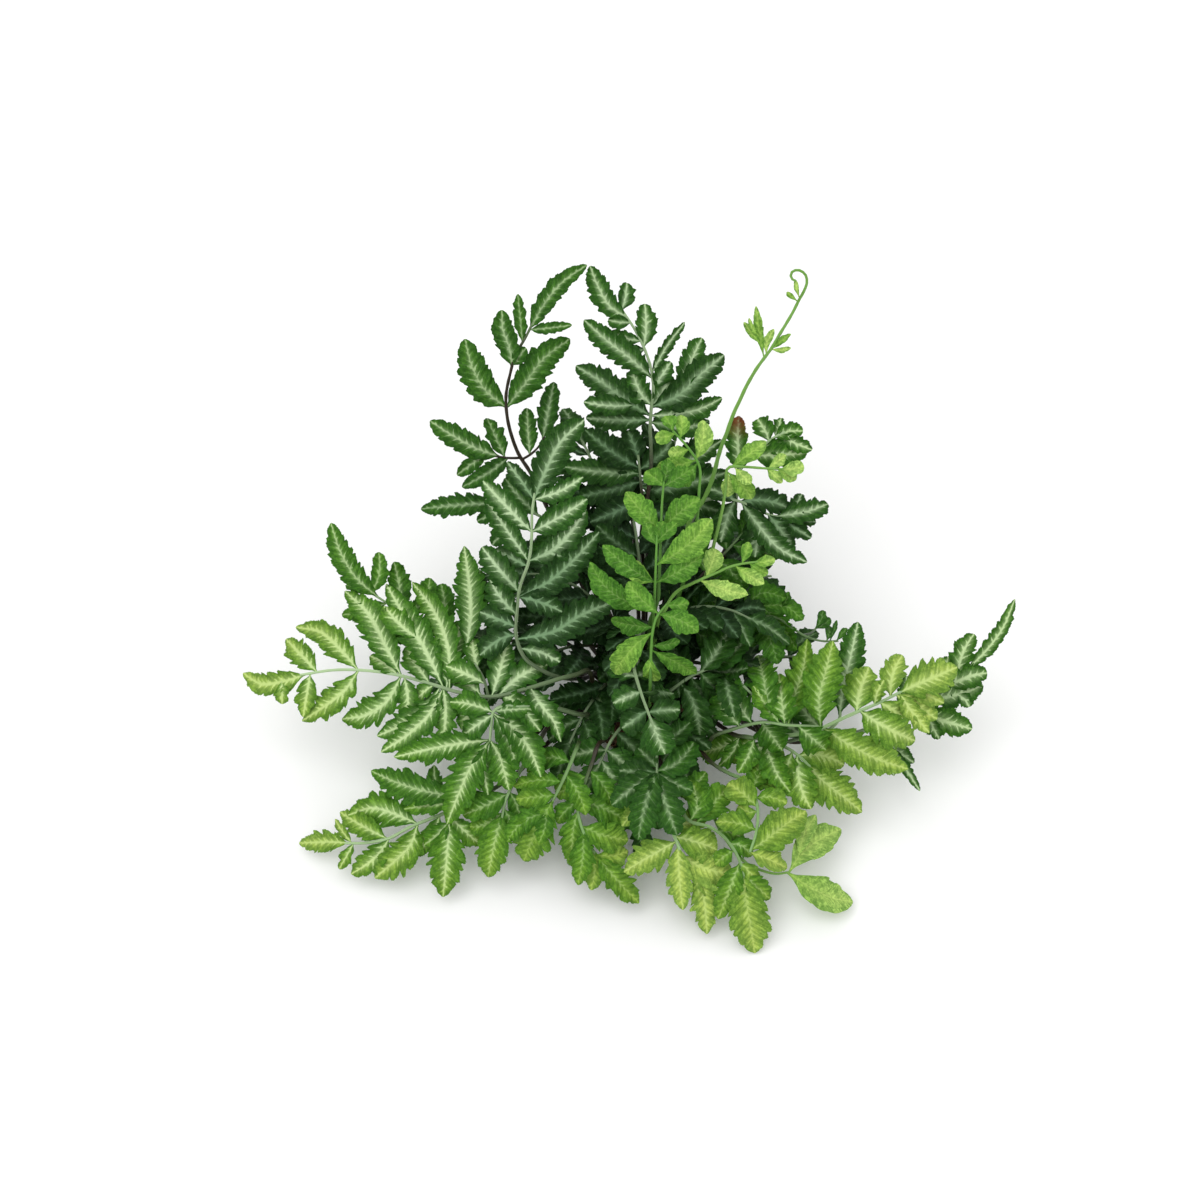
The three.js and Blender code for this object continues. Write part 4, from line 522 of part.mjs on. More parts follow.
   blades: [[10.9,-0.43,-0.56,0.71,32.3,33.5,53.4,44.1,28,61.6,58.2,28.4,67.2],
    [10.9,-0.57,-0.43,0.7,32.2,33.3,53.1,24.7,47.2,60,24,64.4,65.8],
    [9.1,-0.05,0.06,1,46.5,48.1,63,45.8,61.8,64.6,47.7,75.5,61.4],
    [9.7,0.65,0.67,0.36,60.6,62.8,42.9,66.4,68.5,29.6,68.7,70.7,14.1]] },
  { name: 'frond_rear_left', tone: 0.16, kind: 'old',
   axes: [[[-17.8,8.3,27.5,1.15],[-21.4,10.7,31.3,1.11],[-24.9,13.1,35.1,1.07],[-28.3,15.4,38.9,1.02],[-31.7,17.7,42.6,0.98],[-34.9,19.9,46.3,0.94],[-38.1,22,50,0.9],[-49.6,28.6,64,0.81],[-65.6,37.9,65.6,0.73],[-77.9,45,52.6,0.64],[-86.6,50,36,0.55]]],
   blades: [[10.5,0.62,-0.27,0.74,-43.3,25,56.3,-43,39.1,64.7,-48.6,53.3,71.2],
    [10.5,0.53,-0.41,0.74,-42.8,24.7,55.8,-53.8,16.6,62.9,-68.9,13.3,68.1],
    [8.3,0.04,0.07,1,-62.5,36.1,65.3,-64.6,48.6,67,-69.9,60.8,64],
    [8.3,-0.04,-0.08,1,-61.2,35.3,65.2,-73.1,30,66.7,-86.5,27.6,63.5],
    [7.9,-0.73,0.52,0.44,-79.1,45.7,50.4,-78.1,56.7,44.1,-75.5,64.6,33.8],
    [7.9,-0.81,0.39,0.43,-78.6,45.4,51.3,-86.7,41.3,44.5,-91.5,37.1,34.4],
    [9.7,-0.79,0.45,0.41,-81.8,47.2,45.2,-89.7,51.2,32.4,-93.3,52.9,17]] },
  { name: 'frond_lower_rear', tone: 0.22, kind: 'old',
   axes: [[[0.5,16.5,27.5,1.15],[0.7,20.7,28.6,1.11],[0.5,24.8,29.6,1.07],[0.3,28.8,30.6,1.02],[0.2,32.7,31.6,0.98],[0.1,36.4,32.7,0.94],[0,40,34,0.9],[0,53.7,46.1,0.81],[0,71.5,48.4,0.73],[0,86.7,38.5,0.64],[0,98,24,0.55]]],
   blades: [[9.2,0.08,-0.59,0.8,0,45.6,38.9,9.9,51.8,45.5,18,62.5,49.5],
    [9.2,-0.09,-0.59,0.8,0,44.9,38.3,-11.6,50.5,44.4,-21.2,61.5,48.3],
    [7.7,0.08,-0.04,1,0,68.3,48,8.7,76.6,49.8,15.8,86.5,47.5],
    [7.7,-0.09,-0.05,0.99,0,67.7,47.9,-9.7,74.3,49.5,-17.6,83.6,47.1],
    [6.7,0.08,0.83,0.55,0,87.5,37.4,7.9,92.4,32.5,14.4,95.2,23.8],
    [6.7,-0.09,0.83,0.54,0,88.6,36,-7.8,93,31.4,-14.2,95.1,23.8],
    [9.1,0,0.86,0.52,0,91.7,32,-0.3,101.4,21.1,-0.5,106.8,7.2]] },
  { name: 'frond_lower_right', tone: 0.22, kind: 'old',
   axes: [[[19.9,4.1,27.5,1.15],[24.2,5.4,28.3,1.11],[28.4,4.4,29,1.07],[32.5,3.3,29.5,1.02],[36.5,2.6,30.2,0.98],[40.3,2,31,0.94],[44,1.5,32,0.9],[58.2,2,44.1,0.81],[76.4,2.7,46.5,0.73],[92.1,3.2,36.6,0.64],[103.9,3.6,22,0.55]]],
   blades: [[9.3,-0.57,-0.1,0.82,49.9,1.7,37,57.3,-8.8,44.2,69.7,-17.2,48.5],
    [9.3,-0.58,0.06,0.81,50.3,1.8,37.3,57.1,13.3,44.7,68.5,23,48.7],
    [7.8,-0.04,-0.09,1,73,2.5,46,80.5,-6.5,47.7,89.9,-13.8,45.3],
    [7.8,-0.05,0.09,1,72.4,2.5,46,79.4,12.2,47.6,89,20.3,45.2],
    [6.6,0.83,-0.06,0.56,93.8,3.3,34.5,98.8,-4.5,29.8,101.7,-10.9,21.3],
    [6.6,0.82,0.11,0.56,93.4,3.3,35,98,11.5,30.1,100.3,18.2,21.8],
    [9.1,0.85,0.02,0.53,97.4,3.4,30.1,107.2,3.1,19.3,112.9,2.8,5.5]] },
  { name: 'frond_lower_left', tone: 0.22, kind: 'old',
   axes: [[[-19.7,4.6,27.5,1.15],[-23.9,7.5,28.5,1.11],[-28.2,5.4,29.5,1.07],[-32.4,3.9,30.6,1.02],[-36.4,2.8,31.6,0.98],[-40.2,2.1,32.8,0.94],[-44,1.5,34,0.9],[-59.2,2.1,46.2,0.81],[-78.3,2.7,48.5,0.73],[-95.1,3.3,38.8,0.64],[-107.9,3.8,24,0.55]]],
   blades: [[10.2,0.55,0.06,0.83,-49.2,1.7,38.2,-56.6,13.8,45.6,-69.3,23.8,49.8],
    [10.2,0.54,-0.1,0.83,-50.2,1.8,38.9,-58.6,-10.3,46.6,-72.4,-19.9,50.9],
    [8.2,0.03,0.08,1,-73.7,2.6,48,-82.2,12.1,49.8,-92.8,20,47.3],
    [8.2,0.03,-0.08,1,-73.5,2.6,47.9,-82.6,-5.5,49.8,-93.2,-11.9,47.4],
    [7.2,-0.8,0.11,0.59,-96.6,3.4,37.2,-101.4,12.1,32.2,-104.1,19.2,23.7],
    [7.2,-0.81,-0.05,0.58,-96.3,3.4,37.4,-102.3,-4.4,31.9,-105.7,-10.8,23.2],
    [9.1,-0.83,0.03,0.56,-100.8,3.5,32.2,-111,3.6,21.8,-117.1,3.5,8.2]] },
  { name: 'frond_lower_front', tone: 0.25, kind: 'old',
   axes: [[[-3.5,-16.3,27.5,1.15],[-3.7,-19.9,27.4,1.11],[-3.2,-23.2,27.5,1.07],[-2.6,-26.5,27.6,1.02],[-2,-29.8,27.6,0.98],[-1.6,-32.9,27.8,0.94],[-1.3,-36,28,0.9],[-1.7,-48.6,35.2,0.81],[-2.2,-62.9,33.9,0.73],[-2.6,-74.7,25.4,0.64],[-2.9,-83.9,14,0.55]]],
   blades: [[8.1,-0.07,0.41,0.91,-1.4,-41.4,31.1,-10.2,-47.6,35.6,-17.6,-57.5,37.2],
    [8.1,0.1,0.41,0.91,-1.4,-40.4,30.5,7.6,-47.1,35,14.7,-57.4,36.5],
    [6.9,-0.08,-0.18,0.98,-1.8,-52.4,34.8,-8.8,-59.3,34.8,-14.6,-66.6,31.2],
    [6.9,0.09,-0.17,0.98,-1.8,-52.6,34.8,6,-58.6,34.9,12.5,-65.6,31.3],
    [6.9,-0.11,-0.65,0.75,-2.3,-65.1,32.3,-10,-70.3,29.1,-16.4,-74.6,22.2],
    [6.9,0.07,-0.65,0.76,-2.3,-65.4,32.1,5.7,-70.6,29.3,12.3,-75.2,22.3],
    [5.3,-0.11,-0.82,0.56,-2.7,-76.2,23.6,-8.9,-80,19.4,-14,-81.9,13],
    [5.3,0.05,-0.83,0.56,-2.6,-75.8,24.1,2.7,-79.5,20.5,7.2,-81.6,14.5],
    [7.8,-0.03,-0.83,0.55,-2.8,-78.8,20.3,-3.1,-86.9,12,-3.2,-91.6,1.2]] },
  { name: 'frond_inner_left', tone: 0.16, kind: 'old',
   axes: [[[-11.8,-4.2,33.5,1.15],[-11.9,-3.3,36.8,1.11],[-11.8,-1.9,40.2,1.07],[-11.8,-0.4,43.5,1.02],[-12.1,0.9,46.7,0.98],[-12.9,1.6,49.5,0.94],[-14.4,1.4,51.9,0.9],[-25,-3.5,63.2,0.81],[-38.2,-9.6,70.5,0.73],[-52.7,-20.2,74.6,0.64],[-65.3,-30.4,72,0.55]]],
   blades: [[12,0.62,0.3,0.73,-15,1.1,52.4,-27,6.2,64.8,-43,6.9,73.8],
    [8.6,0.63,0.3,0.72,-15,1.1,52.4,-20.1,8.9,56.7,-29.8,13.5,60.3],
    [12,0.63,0.29,0.72,-14.8,1.2,52.3,-16.8,-16.9,65.7,-24.8,-35.1,75.8],
    [8.6,0.64,0.22,0.73,-14.8,1.2,52.3,-10.8,-9.1,53.9,-11.9,-22.3,56.9],
    [11.4,0.65,0.29,0.7,-23.7,-2.9,61.8,-34.6,2.9,73.8,-49.9,4,83.3],
    [8.2,0.64,0.29,0.71,-23.7,-2.9,61.8,-27.5,5.1,64.2,-35.9,8.8,68],
    [11.4,0.46,0.32,0.83,-23.6,-2.8,61.7,-15.2,-28.1,74,-18.6,-38.6,72.8],
    [8.2,0.63,0.32,0.71,-23.6,-2.8,61.7,-19.8,-12.1,63,-20.8,-28.1,70.7],
    [9.5,0.53,0.19,0.82,-32.1,-6.8,67.1,-43.6,-5.1,77.1,-57.4,-6.6,83.4],
    [9.5,0.44,0.3,0.85,-32.7,-7,67.4,-34.6,-23,76.8,-41,-39.1,82.9],
    [9.1,0.18,-0.02,0.98,-44,-13.8,72.1,-55.8,-12.3,76.7,-68.4,-13.1,76.5],
    [9.1,0.03,0.17,0.99,-42.8,-12.9,71.8,-46.7,-28.8,76.9,-52.7,-43.6,77.3],
    [8.5,-0.37,-0.22,0.9,-54.6,-21.7,74.2,-65,-19.6,72.9,-74,-18.6,66.9],
    [8.5,-0.39,-0.1,0.91,-53.7,-21,74.4,-55.5,-33.3,74.5,-57.9,-44.1,70.1],
    [10.9,-0.46,-0.22,0.86,-58.2,-24.7,73.5,-71.2,-30.9,68.1,-81.3,-36.1,58.1]] },
  { name: 'frond_inner_front_left', tone: 0.18, kind: 'old',
   axes: [[[-7.9,-8,33.5,1.15],[-7.9,-7.7,35.8,1.11],[-7.8,-7.2,38.2,1.07],[-7.8,-6.6,40.7,1.02],[-7.9,-6.3,42.9,0.98],[-8.2,-6.5,44.9,0.94],[-8.8,-7.3,46.4,0.9],[-15.7,-17.6,56.5,0.81],[-24,-32.2,63.5,0.73],[-32.4,-46.7,62,0.64],[-39.1,-58.7,54.9,0.55]]],
   blades: [[10.1,0.33,0.51,0.79,-9.4,-8.2,47.3,-21.6,-10.9,57.5,-34.8,-18.4,64.7],
    [7.3,0.37,0.52,0.77,-9.4,-8.2,47.3,-16.5,-6.1,51.3,-25.3,-8,54.7],
    [10.1,0.39,0.41,0.82,-9.1,-7.8,46.9,-5.2,-18.8,52.9,-6.9,-34,58.9],
    [7.3,0.76,0.39,0.53,-9.1,-7.8,46.9,-5,-14.6,50,-5.2,-23.5,53],
    [10.1,0.34,0.51,0.79,-14.4,-15.7,54.6,-30.5,-18.8,63.9,-47.4,-26.5,70.4],
    [6.6,0.35,0.52,0.78,-14.4,-15.7,54.6,-20.8,-13.3,57.3,-28.6,-15.5,60.9],
    [9.2,0.35,0.51,0.79,-14.9,-16.4,55.3,-8.6,-38.5,75.4,-6.3,-45.8,70.3],
    [6.6,0.49,0.41,0.77,-14.9,-16.4,55.3,-8,-18.3,52.8,-3.9,-26.3,53.6],
    [11.3,0.21,0.26,0.94,-20.2,-25.5,60.3,-33.5,-35.9,66.3,-48.5,-44.7,71.9],
    [8.7,0.15,0.27,0.95,-20.4,-25.7,60.4,-17.9,-39.8,66.4,-18.2,-55,68.5],
    [10,-0.05,-0.18,0.98,-27.2,-37.7,63,-40.9,-40.8,64.4,-53.3,-44.8,61.5],
    [8.2,-0.17,-0.13,0.98,-26.8,-37,63,-23.8,-49.3,64,-22.5,-61.1,60.5],
    [7.5,-0.39,-0.52,0.76,-33.1,-48,61.3,-42.5,-50.6,57.2,-49.6,-52.7,49.5],
    [7.5,-0.27,-0.68,0.68,-32.9,-47.7,61.4,-29.4,-58.5,61.7,-26.7,-61.8,49.8],
    [10.3,-0.4,-0.6,0.69,-35.4,-52,58.9,-41.4,-61.7,49.8,-45.7,-69.2,37.7]] },
  { name: 'frond_inner_front', tone: 0.16, kind: 'old',
   axes: [[[5.8,-8.9,33.5,1.15],[5.7,-8.6,34.6,1.11],[5.5,-8,35.8,1.07],[5.3,-7.4,37,1.02],[5.1,-6.9,38.1,0.98],[5.1,-6.8,39.1,0.94],[5.2,-7.2,39.8,0.9],[8.6,-17.5,47.5,0.81],[12.7,-30,49.6,0.73],[16.3,-45.1,49,0.64],[19.2,-59,46,0.55]]],
   blades: [[10.9,-0.49,0.71,0.51,5.4,-7.7,40.1,-8.1,-15.2,43.4,-21.4,-34.6,51.6],
    [7.8,-0.57,0.64,0.51,5.4,-7.7,40.1,-2.4,-13.1,42.6,-7.5,-22.3,43.9],
    [10.9,-0.1,0.44,0.89,5.7,-8.5,40.8,11.4,-20.2,50.1,15.2,-36,55.5],
    [8.6,-0.15,0.61,0.78,8.1,-15.8,46.2,-1.9,-31.1,60.4,-8,-45,66.1],
    [8.6,-0.2,0.57,0.8,8.2,-16.1,46.4,19.3,-21.9,55.8,29.9,-32.9,63.7],
    [8.2,-0.24,0.37,0.9,11.2,-25.4,48.8,8.2,-39.3,56.1,7.2,-54.3,59.6],
    [8.2,-0.17,0.25,0.95,11.1,-25.1,48.8,21.5,-31.3,54.2,31.1,-40.1,56.2],
    [8.2,0.22,-0.07,0.97,14,-35.5,49.4,9.3,-48.5,51.4,5.7,-60.4,49.6],
    [8.2,-0.15,-0.18,0.97,14.1,-35.6,49.4,24.8,-43.7,53.5,34.1,-50,49.9],
    [6.6,0.29,-0.53,0.8,16.8,-47.1,48.5,11.4,-55.2,47.3,6.9,-61.9,42.5],
    [6.6,-0.19,-0.43,0.88,16.7,-46.7,48.6,24.6,-51.4,48.6,30.9,-56.4,47],
    [9.6,0.2,-0.62,0.76,17.6,-51.2,47.7,18.7,-63,41,18.8,-71.6,30.9]] },
  { name: 'frond_inner_right', tone: 0.16, kind: 'old',
   axes: [[[11.1,-5.2,33.5,1.15],[11.1,-5.7,37.8,1.11],[10.8,-6.2,42.4,1.07],[10.5,-6.9,46.9,1.02],[10.7,-7.8,51.2,0.98],[11.4,-8.9,54.9,0.94],[13.2,-10.4,57.8,0.9],[22.7,-17.2,67.4,0.81],[34,-25.5,73,0.73],[45.4,-38.7,77.5,0.64],[55.5,-46,70.3,0.55]]],
   blades: [[12.1,-0.5,0.21,0.84,14.1,-11.1,58.8,13.2,-24.7,65,18.3,-39.6,68.2],
    [8.7,-0.86,0,0.52,14.1,-11.1,58.8,9.3,-14.4,51,9.8,-23.5,51.9],
    [12.1,-0.29,0.46,0.84,14.2,-11.1,58.9,27.6,-3.1,62.6,43.7,0.9,62.2],
    [8.7,-0.38,0.52,0.77,14.2,-11.1,58.9,20.7,-0.5,57.5,30.8,6.6,55],
    [10.4,-0.52,0.36,0.77,21.1,-16.1,65.9,14.8,-32.9,74.5,15.1,-46.1,76],
    [7.5,-0.64,0.11,0.76,21.1,-16.1,65.9,16,-22.2,64.6,15.3,-30.5,62.9],
    [10.4,-0.3,0.48,0.82,21.6,-16.4,66.4,32.8,-5.8,65.6,46.6,-3.7,67.8],
    [7.5,-0.38,0.55,0.74,21.6,-16.4,66.4,27.1,-4,61.3,36,1.1,60.6],
    [9.8,0.05,-0.48,0.88,29.6,-22.2,70.8,32.3,-29.6,68.5,38.2,-37.3,62.1],
    [9.8,-0.07,0.23,0.97,29.9,-22.5,71,43.3,-19.6,71.3,55.7,-24.6,73.5],
    [8.7,0.14,-0.17,0.98,38.4,-30.6,74.7,39.1,-45.6,78.6,42.2,-54,70.1],
    [8.7,0.48,0.09,0.87,38,-30.2,74.6,50.1,-22.5,68.9,61.9,-18,60.2],
    [8.2,0.81,-0.34,0.48,46.8,-39.7,76.5,54,-36,65.1,61,-37.2,54.5],
    [8.2,0.76,-0.15,0.63,46.5,-39.5,76.7,57.8,-30.9,65.8,66.9,-26.6,55.2]] },
  { name: 'frond_inner_right_back', tone: 0.12, kind: 'old',
   axes: [[[13,0.2,33.5,1.15],[13.6,0.2,42.1,1.11],[14,1.5,45.9,1.07],[14.3,2.9,50.9,1.02],[14.8,4.2,56.1,0.98],[15.7,5.5,61.1,0.94],[16.7,6.7,66,0.9],[25.8,10.4,77.1,0.81],[36.9,14.9,85.6,0.73],[50.2,20.3,88.6,0.64],[63,25.5,84,0.55]]],
   blades: [[11.5,-0.43,-0.44,0.79,17.4,7,66.9,26.8,-0.9,71.3,41.1,-4.1,73.5],
    [8.3,-0.66,-0.35,0.67,17.4,7,66.9,20.1,-2.8,67.1,27.5,-10.2,67.7],
    [11.5,-0.67,-0.12,0.73,17.7,7.2,67.3,17.5,21.5,74.1,23.6,36.9,77.8],
    [8.3,-0.73,-0.16,0.67,17.7,7.2,67.3,16.4,15.6,70.3,19.6,24.2,73.3],
    [10.4,-0.34,-0.47,0.82,24.4,9.8,75.4,33.6,3.7,78.8,47,1.4,80],
    [7.5,-0.42,-0.69,0.58,24.4,9.8,75.4,27.7,3.6,72.6,35.1,-1,70.3],
    [9.6,0.05,-0.41,0.91,32.2,13,82,41.3,9.2,81.7,54.4,8.8,79],
    [9.6,-0.5,-0.11,0.86,32.5,13.1,82.2,38.4,23.2,89.9,48.6,32.6,94.2],
    [9.3,-0.07,-0.12,0.99,41.2,16.6,86.6,52.7,11,89.2,66.3,8.1,87.4],
    [9.3,-0.14,0.03,0.99,41.9,16.9,86.8,45.7,28.1,89.1,52.5,38.6,87.5],
    [8.3,0.4,0.08,0.91,51.7,20.9,88.1,61.7,16.8,86.2,71,13.9,80.2],
    [8.3,0.34,0.22,0.91,52.2,21.1,87.9,57,32,85.8,61.9,41.3,79.3]] },
  { name: 'frond_inner_left_back', tone: 0.12, kind: 'old',
   axes: [[[-5.3,1,36,1.15],[-6.7,1.5,45.4,1.11],[-8.1,1.9,49.5,1.07],[-9.7,2.4,55.2,1.02],[-11.4,2.9,61,0.98],[-13.3,3.5,66.5,0.94],[-15.5,4.1,72,0.9],[-24.1,6.5,83.8,0.81],[-34.7,9.3,93.6,0.73],[-48,12.9,98.9,0.64],[-61.8,16.6,96,0.55]]],
   blades: [[12,0.74,-0.11,0.67,-16,4.3,72.8,-17.9,18,81.8,-26.4,31.3,88.8],
    [8.6,0.77,-0.08,0.63,-16,4.3,72.8,-13.5,14.2,74,-16.1,24.5,75.5],
    [12,0.66,-0.31,0.69,-16.4,4.4,73.3,-24.4,-6.2,80.7,-37.4,-12.8,85.7],
    [8.6,0.55,-0.75,0.37,-16.4,4.4,73.3,-18.6,1.7,63.6,-26.1,-7.2,64.1],
    [10.5,0.73,-0.12,0.68,-22.9,6.1,82.1,-25.7,17,90.8,-33.6,27.4,97.4],
    [7.6,0.77,-0.07,0.63,-22.9,6.1,82.1,-21.1,15.3,83.4,-23.6,24.4,84.9],
    [10.5,0.7,-0.27,0.66,-22.4,6,81.5,-29.8,-3.9,89.1,-41.9,-10.4,95.2],
    [7.6,0.69,-0.37,0.62,-22.4,6,81.5,-24.6,-2.1,80.8,-31.2,-9.5,81.9],
    [9.2,0.61,-0.07,0.79,-30.1,8.1,89.4,-31.9,19,94.4,-38.6,29.5,97.6],
    [9.2,0.55,-0.23,0.8,-29.9,8,89.1,-38.1,1,95.5,-49.8,-3.3,99.4],
    [9.1,0.3,0,0.96,-38.9,10.4,95.3,-42.9,20.8,98.8,-50.6,30.5,99],
    [9.1,0.24,-0.15,0.96,-39.8,10.7,95.7,-49.6,4.1,99.4,-62,0,99.5],
    [8.4,-0.18,0.04,0.98,-49.8,13.3,98.5,-54.8,22.3,99.4,-61.2,30,95.7],
    [8.4,-0.29,-0.01,0.96,-49.3,13.2,98.6,-58.7,7,97.8,-68.2,2.4,92.7],
    [10.9,-0.29,0.08,0.95,-54,14.5,97.6,-68.8,18.1,95.7,-82.4,21.5,88.5]] },
  { name: 'frond_inner_back', tone: 0.1, kind: 'old',
   axes: [[[-1,3.9,36,1.15],[-1.1,5.2,54.7,1.11],[-1.3,6.5,55.6,1.07],[-1.5,7.9,62.1,1.02],[-1.8,9.6,69.4,0.98],[-2.1,11.6,76.7,0.94],[-2.4,13.8,84,0.9],[-3.6,20.5,94.2,0.81],[-5.1,28.8,103.2,0.73],[-6.9,39.4,109,0.64],[-9,51.2,108,0.55]]],
   blades: [[10.8,0.22,-0.74,0.64,-2.5,14.3,84.7,7.5,21,93.7,14.5,33.3,100.8],
    [7.8,0.26,-0.77,0.59,-2.5,14.3,84.7,6,16.3,86.3,12.9,22.3,88.3],
    [10.8,0.03,-0.77,0.64,-2.5,14.2,84.5,-14.7,17.4,93.7,-25.8,27,100.9],
    [7.8,-0.04,-0.8,0.6,-2.5,14.2,84.5,-11.3,14.3,85.2,-19.8,17.3,87.7],
    [9.4,0.19,-0.78,0.6,-3.4,19,91.9,5.6,24,100.4,12,34,106.6],
    [6.8,0.29,-0.75,0.59,-3.4,19,91.9,4.4,21.3,92.8,10.7,26.4,94.4],
    [9.4,0.12,-0.81,0.57,-3.4,19.2,92.1,-14.5,19.9,100,-24.6,26.2,106.5],
    [6.8,-0.05,-0.82,0.57,-3.4,19.2,92.1,-11.3,18.1,91.9,-19.4,20.6,92.8],
    [9.5,0.33,-0.45,0.83,-4.6,25.8,100,4,36.2,104.1,9.9,50,107.5],
    [9.5,0.08,-0.7,0.71,-4.4,25,99,-15.5,27.7,106.4,-25.7,35.4,111.7],
    [8.3,0.27,-0.2,0.94,-5.7,32.1,105,6.1,38,104.4,16.5,46.8,101.8],
    [8.3,-0.02,-0.41,0.91,-5.6,32,105,-15.3,36.5,108,-24.1,43.6,109.7],
    [6.8,0.04,0.17,0.99,-7.3,41.3,108.9,-0.8,55,102.3,3.8,56.9,105.8],
    [6.8,-0.11,0.16,0.98,-7.2,40.9,108.9,-15.2,45.9,108.8,-22.1,52,105.4],
    [10.3,0,0.03,1,-7.8,44.5,108.6,-10.2,60.3,106.5,-12.6,67.7,107.8]] },
  { name: 'frond_inner_top', tone: 0.1, kind: 'old',
   axes: [[[-3.6,-3,36,1.15],[-3.1,-2.7,50.9,1.11],[-2.5,-2.5,53.6,1.07],[-2,-2.4,59.9,1.02],[-1.5,-2.8,66.5,0.98],[-1.1,-3.8,73,0.94],[-0.8,-5.2,79.1,0.9],[-2,-13.7,87.1,0.81],[-3.5,-24.1,92.2,0.73],[-5.2,-35.7,91.8,0.64],[-6.6,-46,86,0.55]]],
   blades: [[11.6,-0.01,0.63,0.78,-0.9,-5.7,79.6,-14.4,-10.5,87.2,-26.6,-19.8,90.6],
    [8.3,-0.02,0.66,0.75,-0.9,-5.7,79.6,-11.4,-4.9,81.3,-21.7,-9.4,82.3],
    [11.6,0.26,0.58,0.77,-0.9,-5.8,79.7,11.7,-11.9,84.6,21.4,-21.1,83.7],
    [8.3,0.15,0.62,0.77,-0.9,-5.8,79.7,1.1,4.7,71.9,14.4,1.7,70.6],
    [9.3,0.02,0.62,0.78,-1.8,-12,85.5,-11.4,-17,92.7,-19.9,-26.3,97.4],
    [9.3,0.75,0.55,0.38,-1.9,-12.7,86.2,4.9,-22.6,94.2,9,-36.5,99.3],
    [8.4,-0.01,0.4,0.92,-2.9,-19.5,90,-12.3,-24.3,94.2,-20.6,-32.6,95.5],
    [8.4,0.33,0.69,0.65,-2.9,-20.1,90.3,6.2,-20.8,89.8,14.1,-24.7,86.5],
    [7.9,-0.13,-0.09,0.99,-4.1,-27.9,92.1,-13.7,-32.6,92.4,-22.1,-39.6,88.7],
    [7.9,-0.01,0.01,1,-4.2,-28.6,92.1,1.7,-39.3,95.7,6.1,-48.7,92.5],
    [7.4,-0.08,-0.47,0.88,-5.4,-37,91.1,-13.1,-43.3,88,-19.5,-50.4,82.7],
    [7.4,-0.07,-0.44,0.89,-5.3,-36.6,91.3,0.4,-45.7,88.8,4.9,-54.1,83.5],
    [10.3,-0.07,-0.49,0.87,-5.8,-40.2,89.3,-7.9,-53.5,83.7,-9.5,-65.2,74.8]] },
  { name: 'frond_inner_top_right', tone: 0.1, kind: 'old',
   axes: [[[5.1,-1.5,36,1.15],[4.3,-3.7,48.1,1.11],[4,-2.9,53.9,1.07],[3.7,-3.1,60.7,1.02],[2.5,-6.1,64.1,0.98],[6.1,-1.4,77.3,0.94],[7.7,-2.1,84,0.9],[16.9,-4.5,93,0.81],[27.9,-7.5,99.4,0.73],[40.4,-10.8,100.6,0.64],[52.2,-14,96,0.55]]],
   blades: [[10.5,-0.62,0.05,0.79,8.4,-2.3,84.7,10.7,-15.6,91.5,19,-26.9,94.4],
    [7.5,-0.67,-0.47,0.57,8.4,-2.3,84.7,6,-5.7,78.2,8.3,-13.1,75.6],
    [10.5,-0.59,0.24,0.77,8.7,-2.3,85,17.1,7.1,91.7,29.7,13.3,96],
    [7.5,-0.61,0.29,0.73,8.7,-2.3,85,10.8,6.9,85.5,17.3,14.4,85.5],
    [9.8,-0.61,0.08,0.78,15.9,-4.3,92,19.7,-15.2,99.3,28.4,-25.5,104.1],
    [7,-0.66,0,0.75,15.9,-4.3,92,14.6,-12.2,92.8,17.7,-20.7,93.5],
    [9.8,-0.58,0.24,0.78,15.4,-4.1,91.5,23.8,3.9,98.9,36.6,9.5,103],
    [7,-0.6,0.29,0.74,15.4,-4.1,91.5,17.7,4.2,91.9,23.9,9.8,93.1],
    [8.8,-0.41,0.03,0.91,23.1,-6.2,96.6,27.8,-15.8,101.3,36,-24.7,103],
    [8.8,-0.37,0.18,0.91,22.9,-6.1,96.5,32.1,0.2,101.3,43.9,4.1,103],
    [7.8,-0.03,-0.07,1,33,-8.8,99.9,37.6,-18.5,101.2,43.9,-27,98.9],
    [7.8,0.01,0.08,1,32.4,-8.7,99.8,40.9,-3.1,101.1,50.6,0.8,98.8],
    [6.9,0.39,-0.19,0.9,41.8,-11.2,100.1,45.6,-20.1,98.4,49.8,-27.7,93],
    [6.9,0.4,-0.07,0.91,41.9,-11.2,100,50.4,-7.4,98.6,58.3,-4.6,93.4],
    [10.3,0.42,-0.12,0.9,45.6,-12.2,98.6,58.7,-16.8,94.8,69.9,-20.8,86.2]] }
];

const v = (x, y, z) => new THREE.Vector3(x, y, z);

function outline(t) {
  for (let i = 0; i < OUTLINE.length - 1; i++) {
    if (t <= OUTLINE_AT[i + 1]) {
      const f = (t - OUTLINE_AT[i]) / (OUTLINE_AT[i + 1] - OUTLINE_AT[i]);
      return OUTLINE[i] + (OUTLINE[i + 1] - OUTLINE[i]) * f;
    }
  }
  return OUTLINE[OUTLINE.length - 1];
}

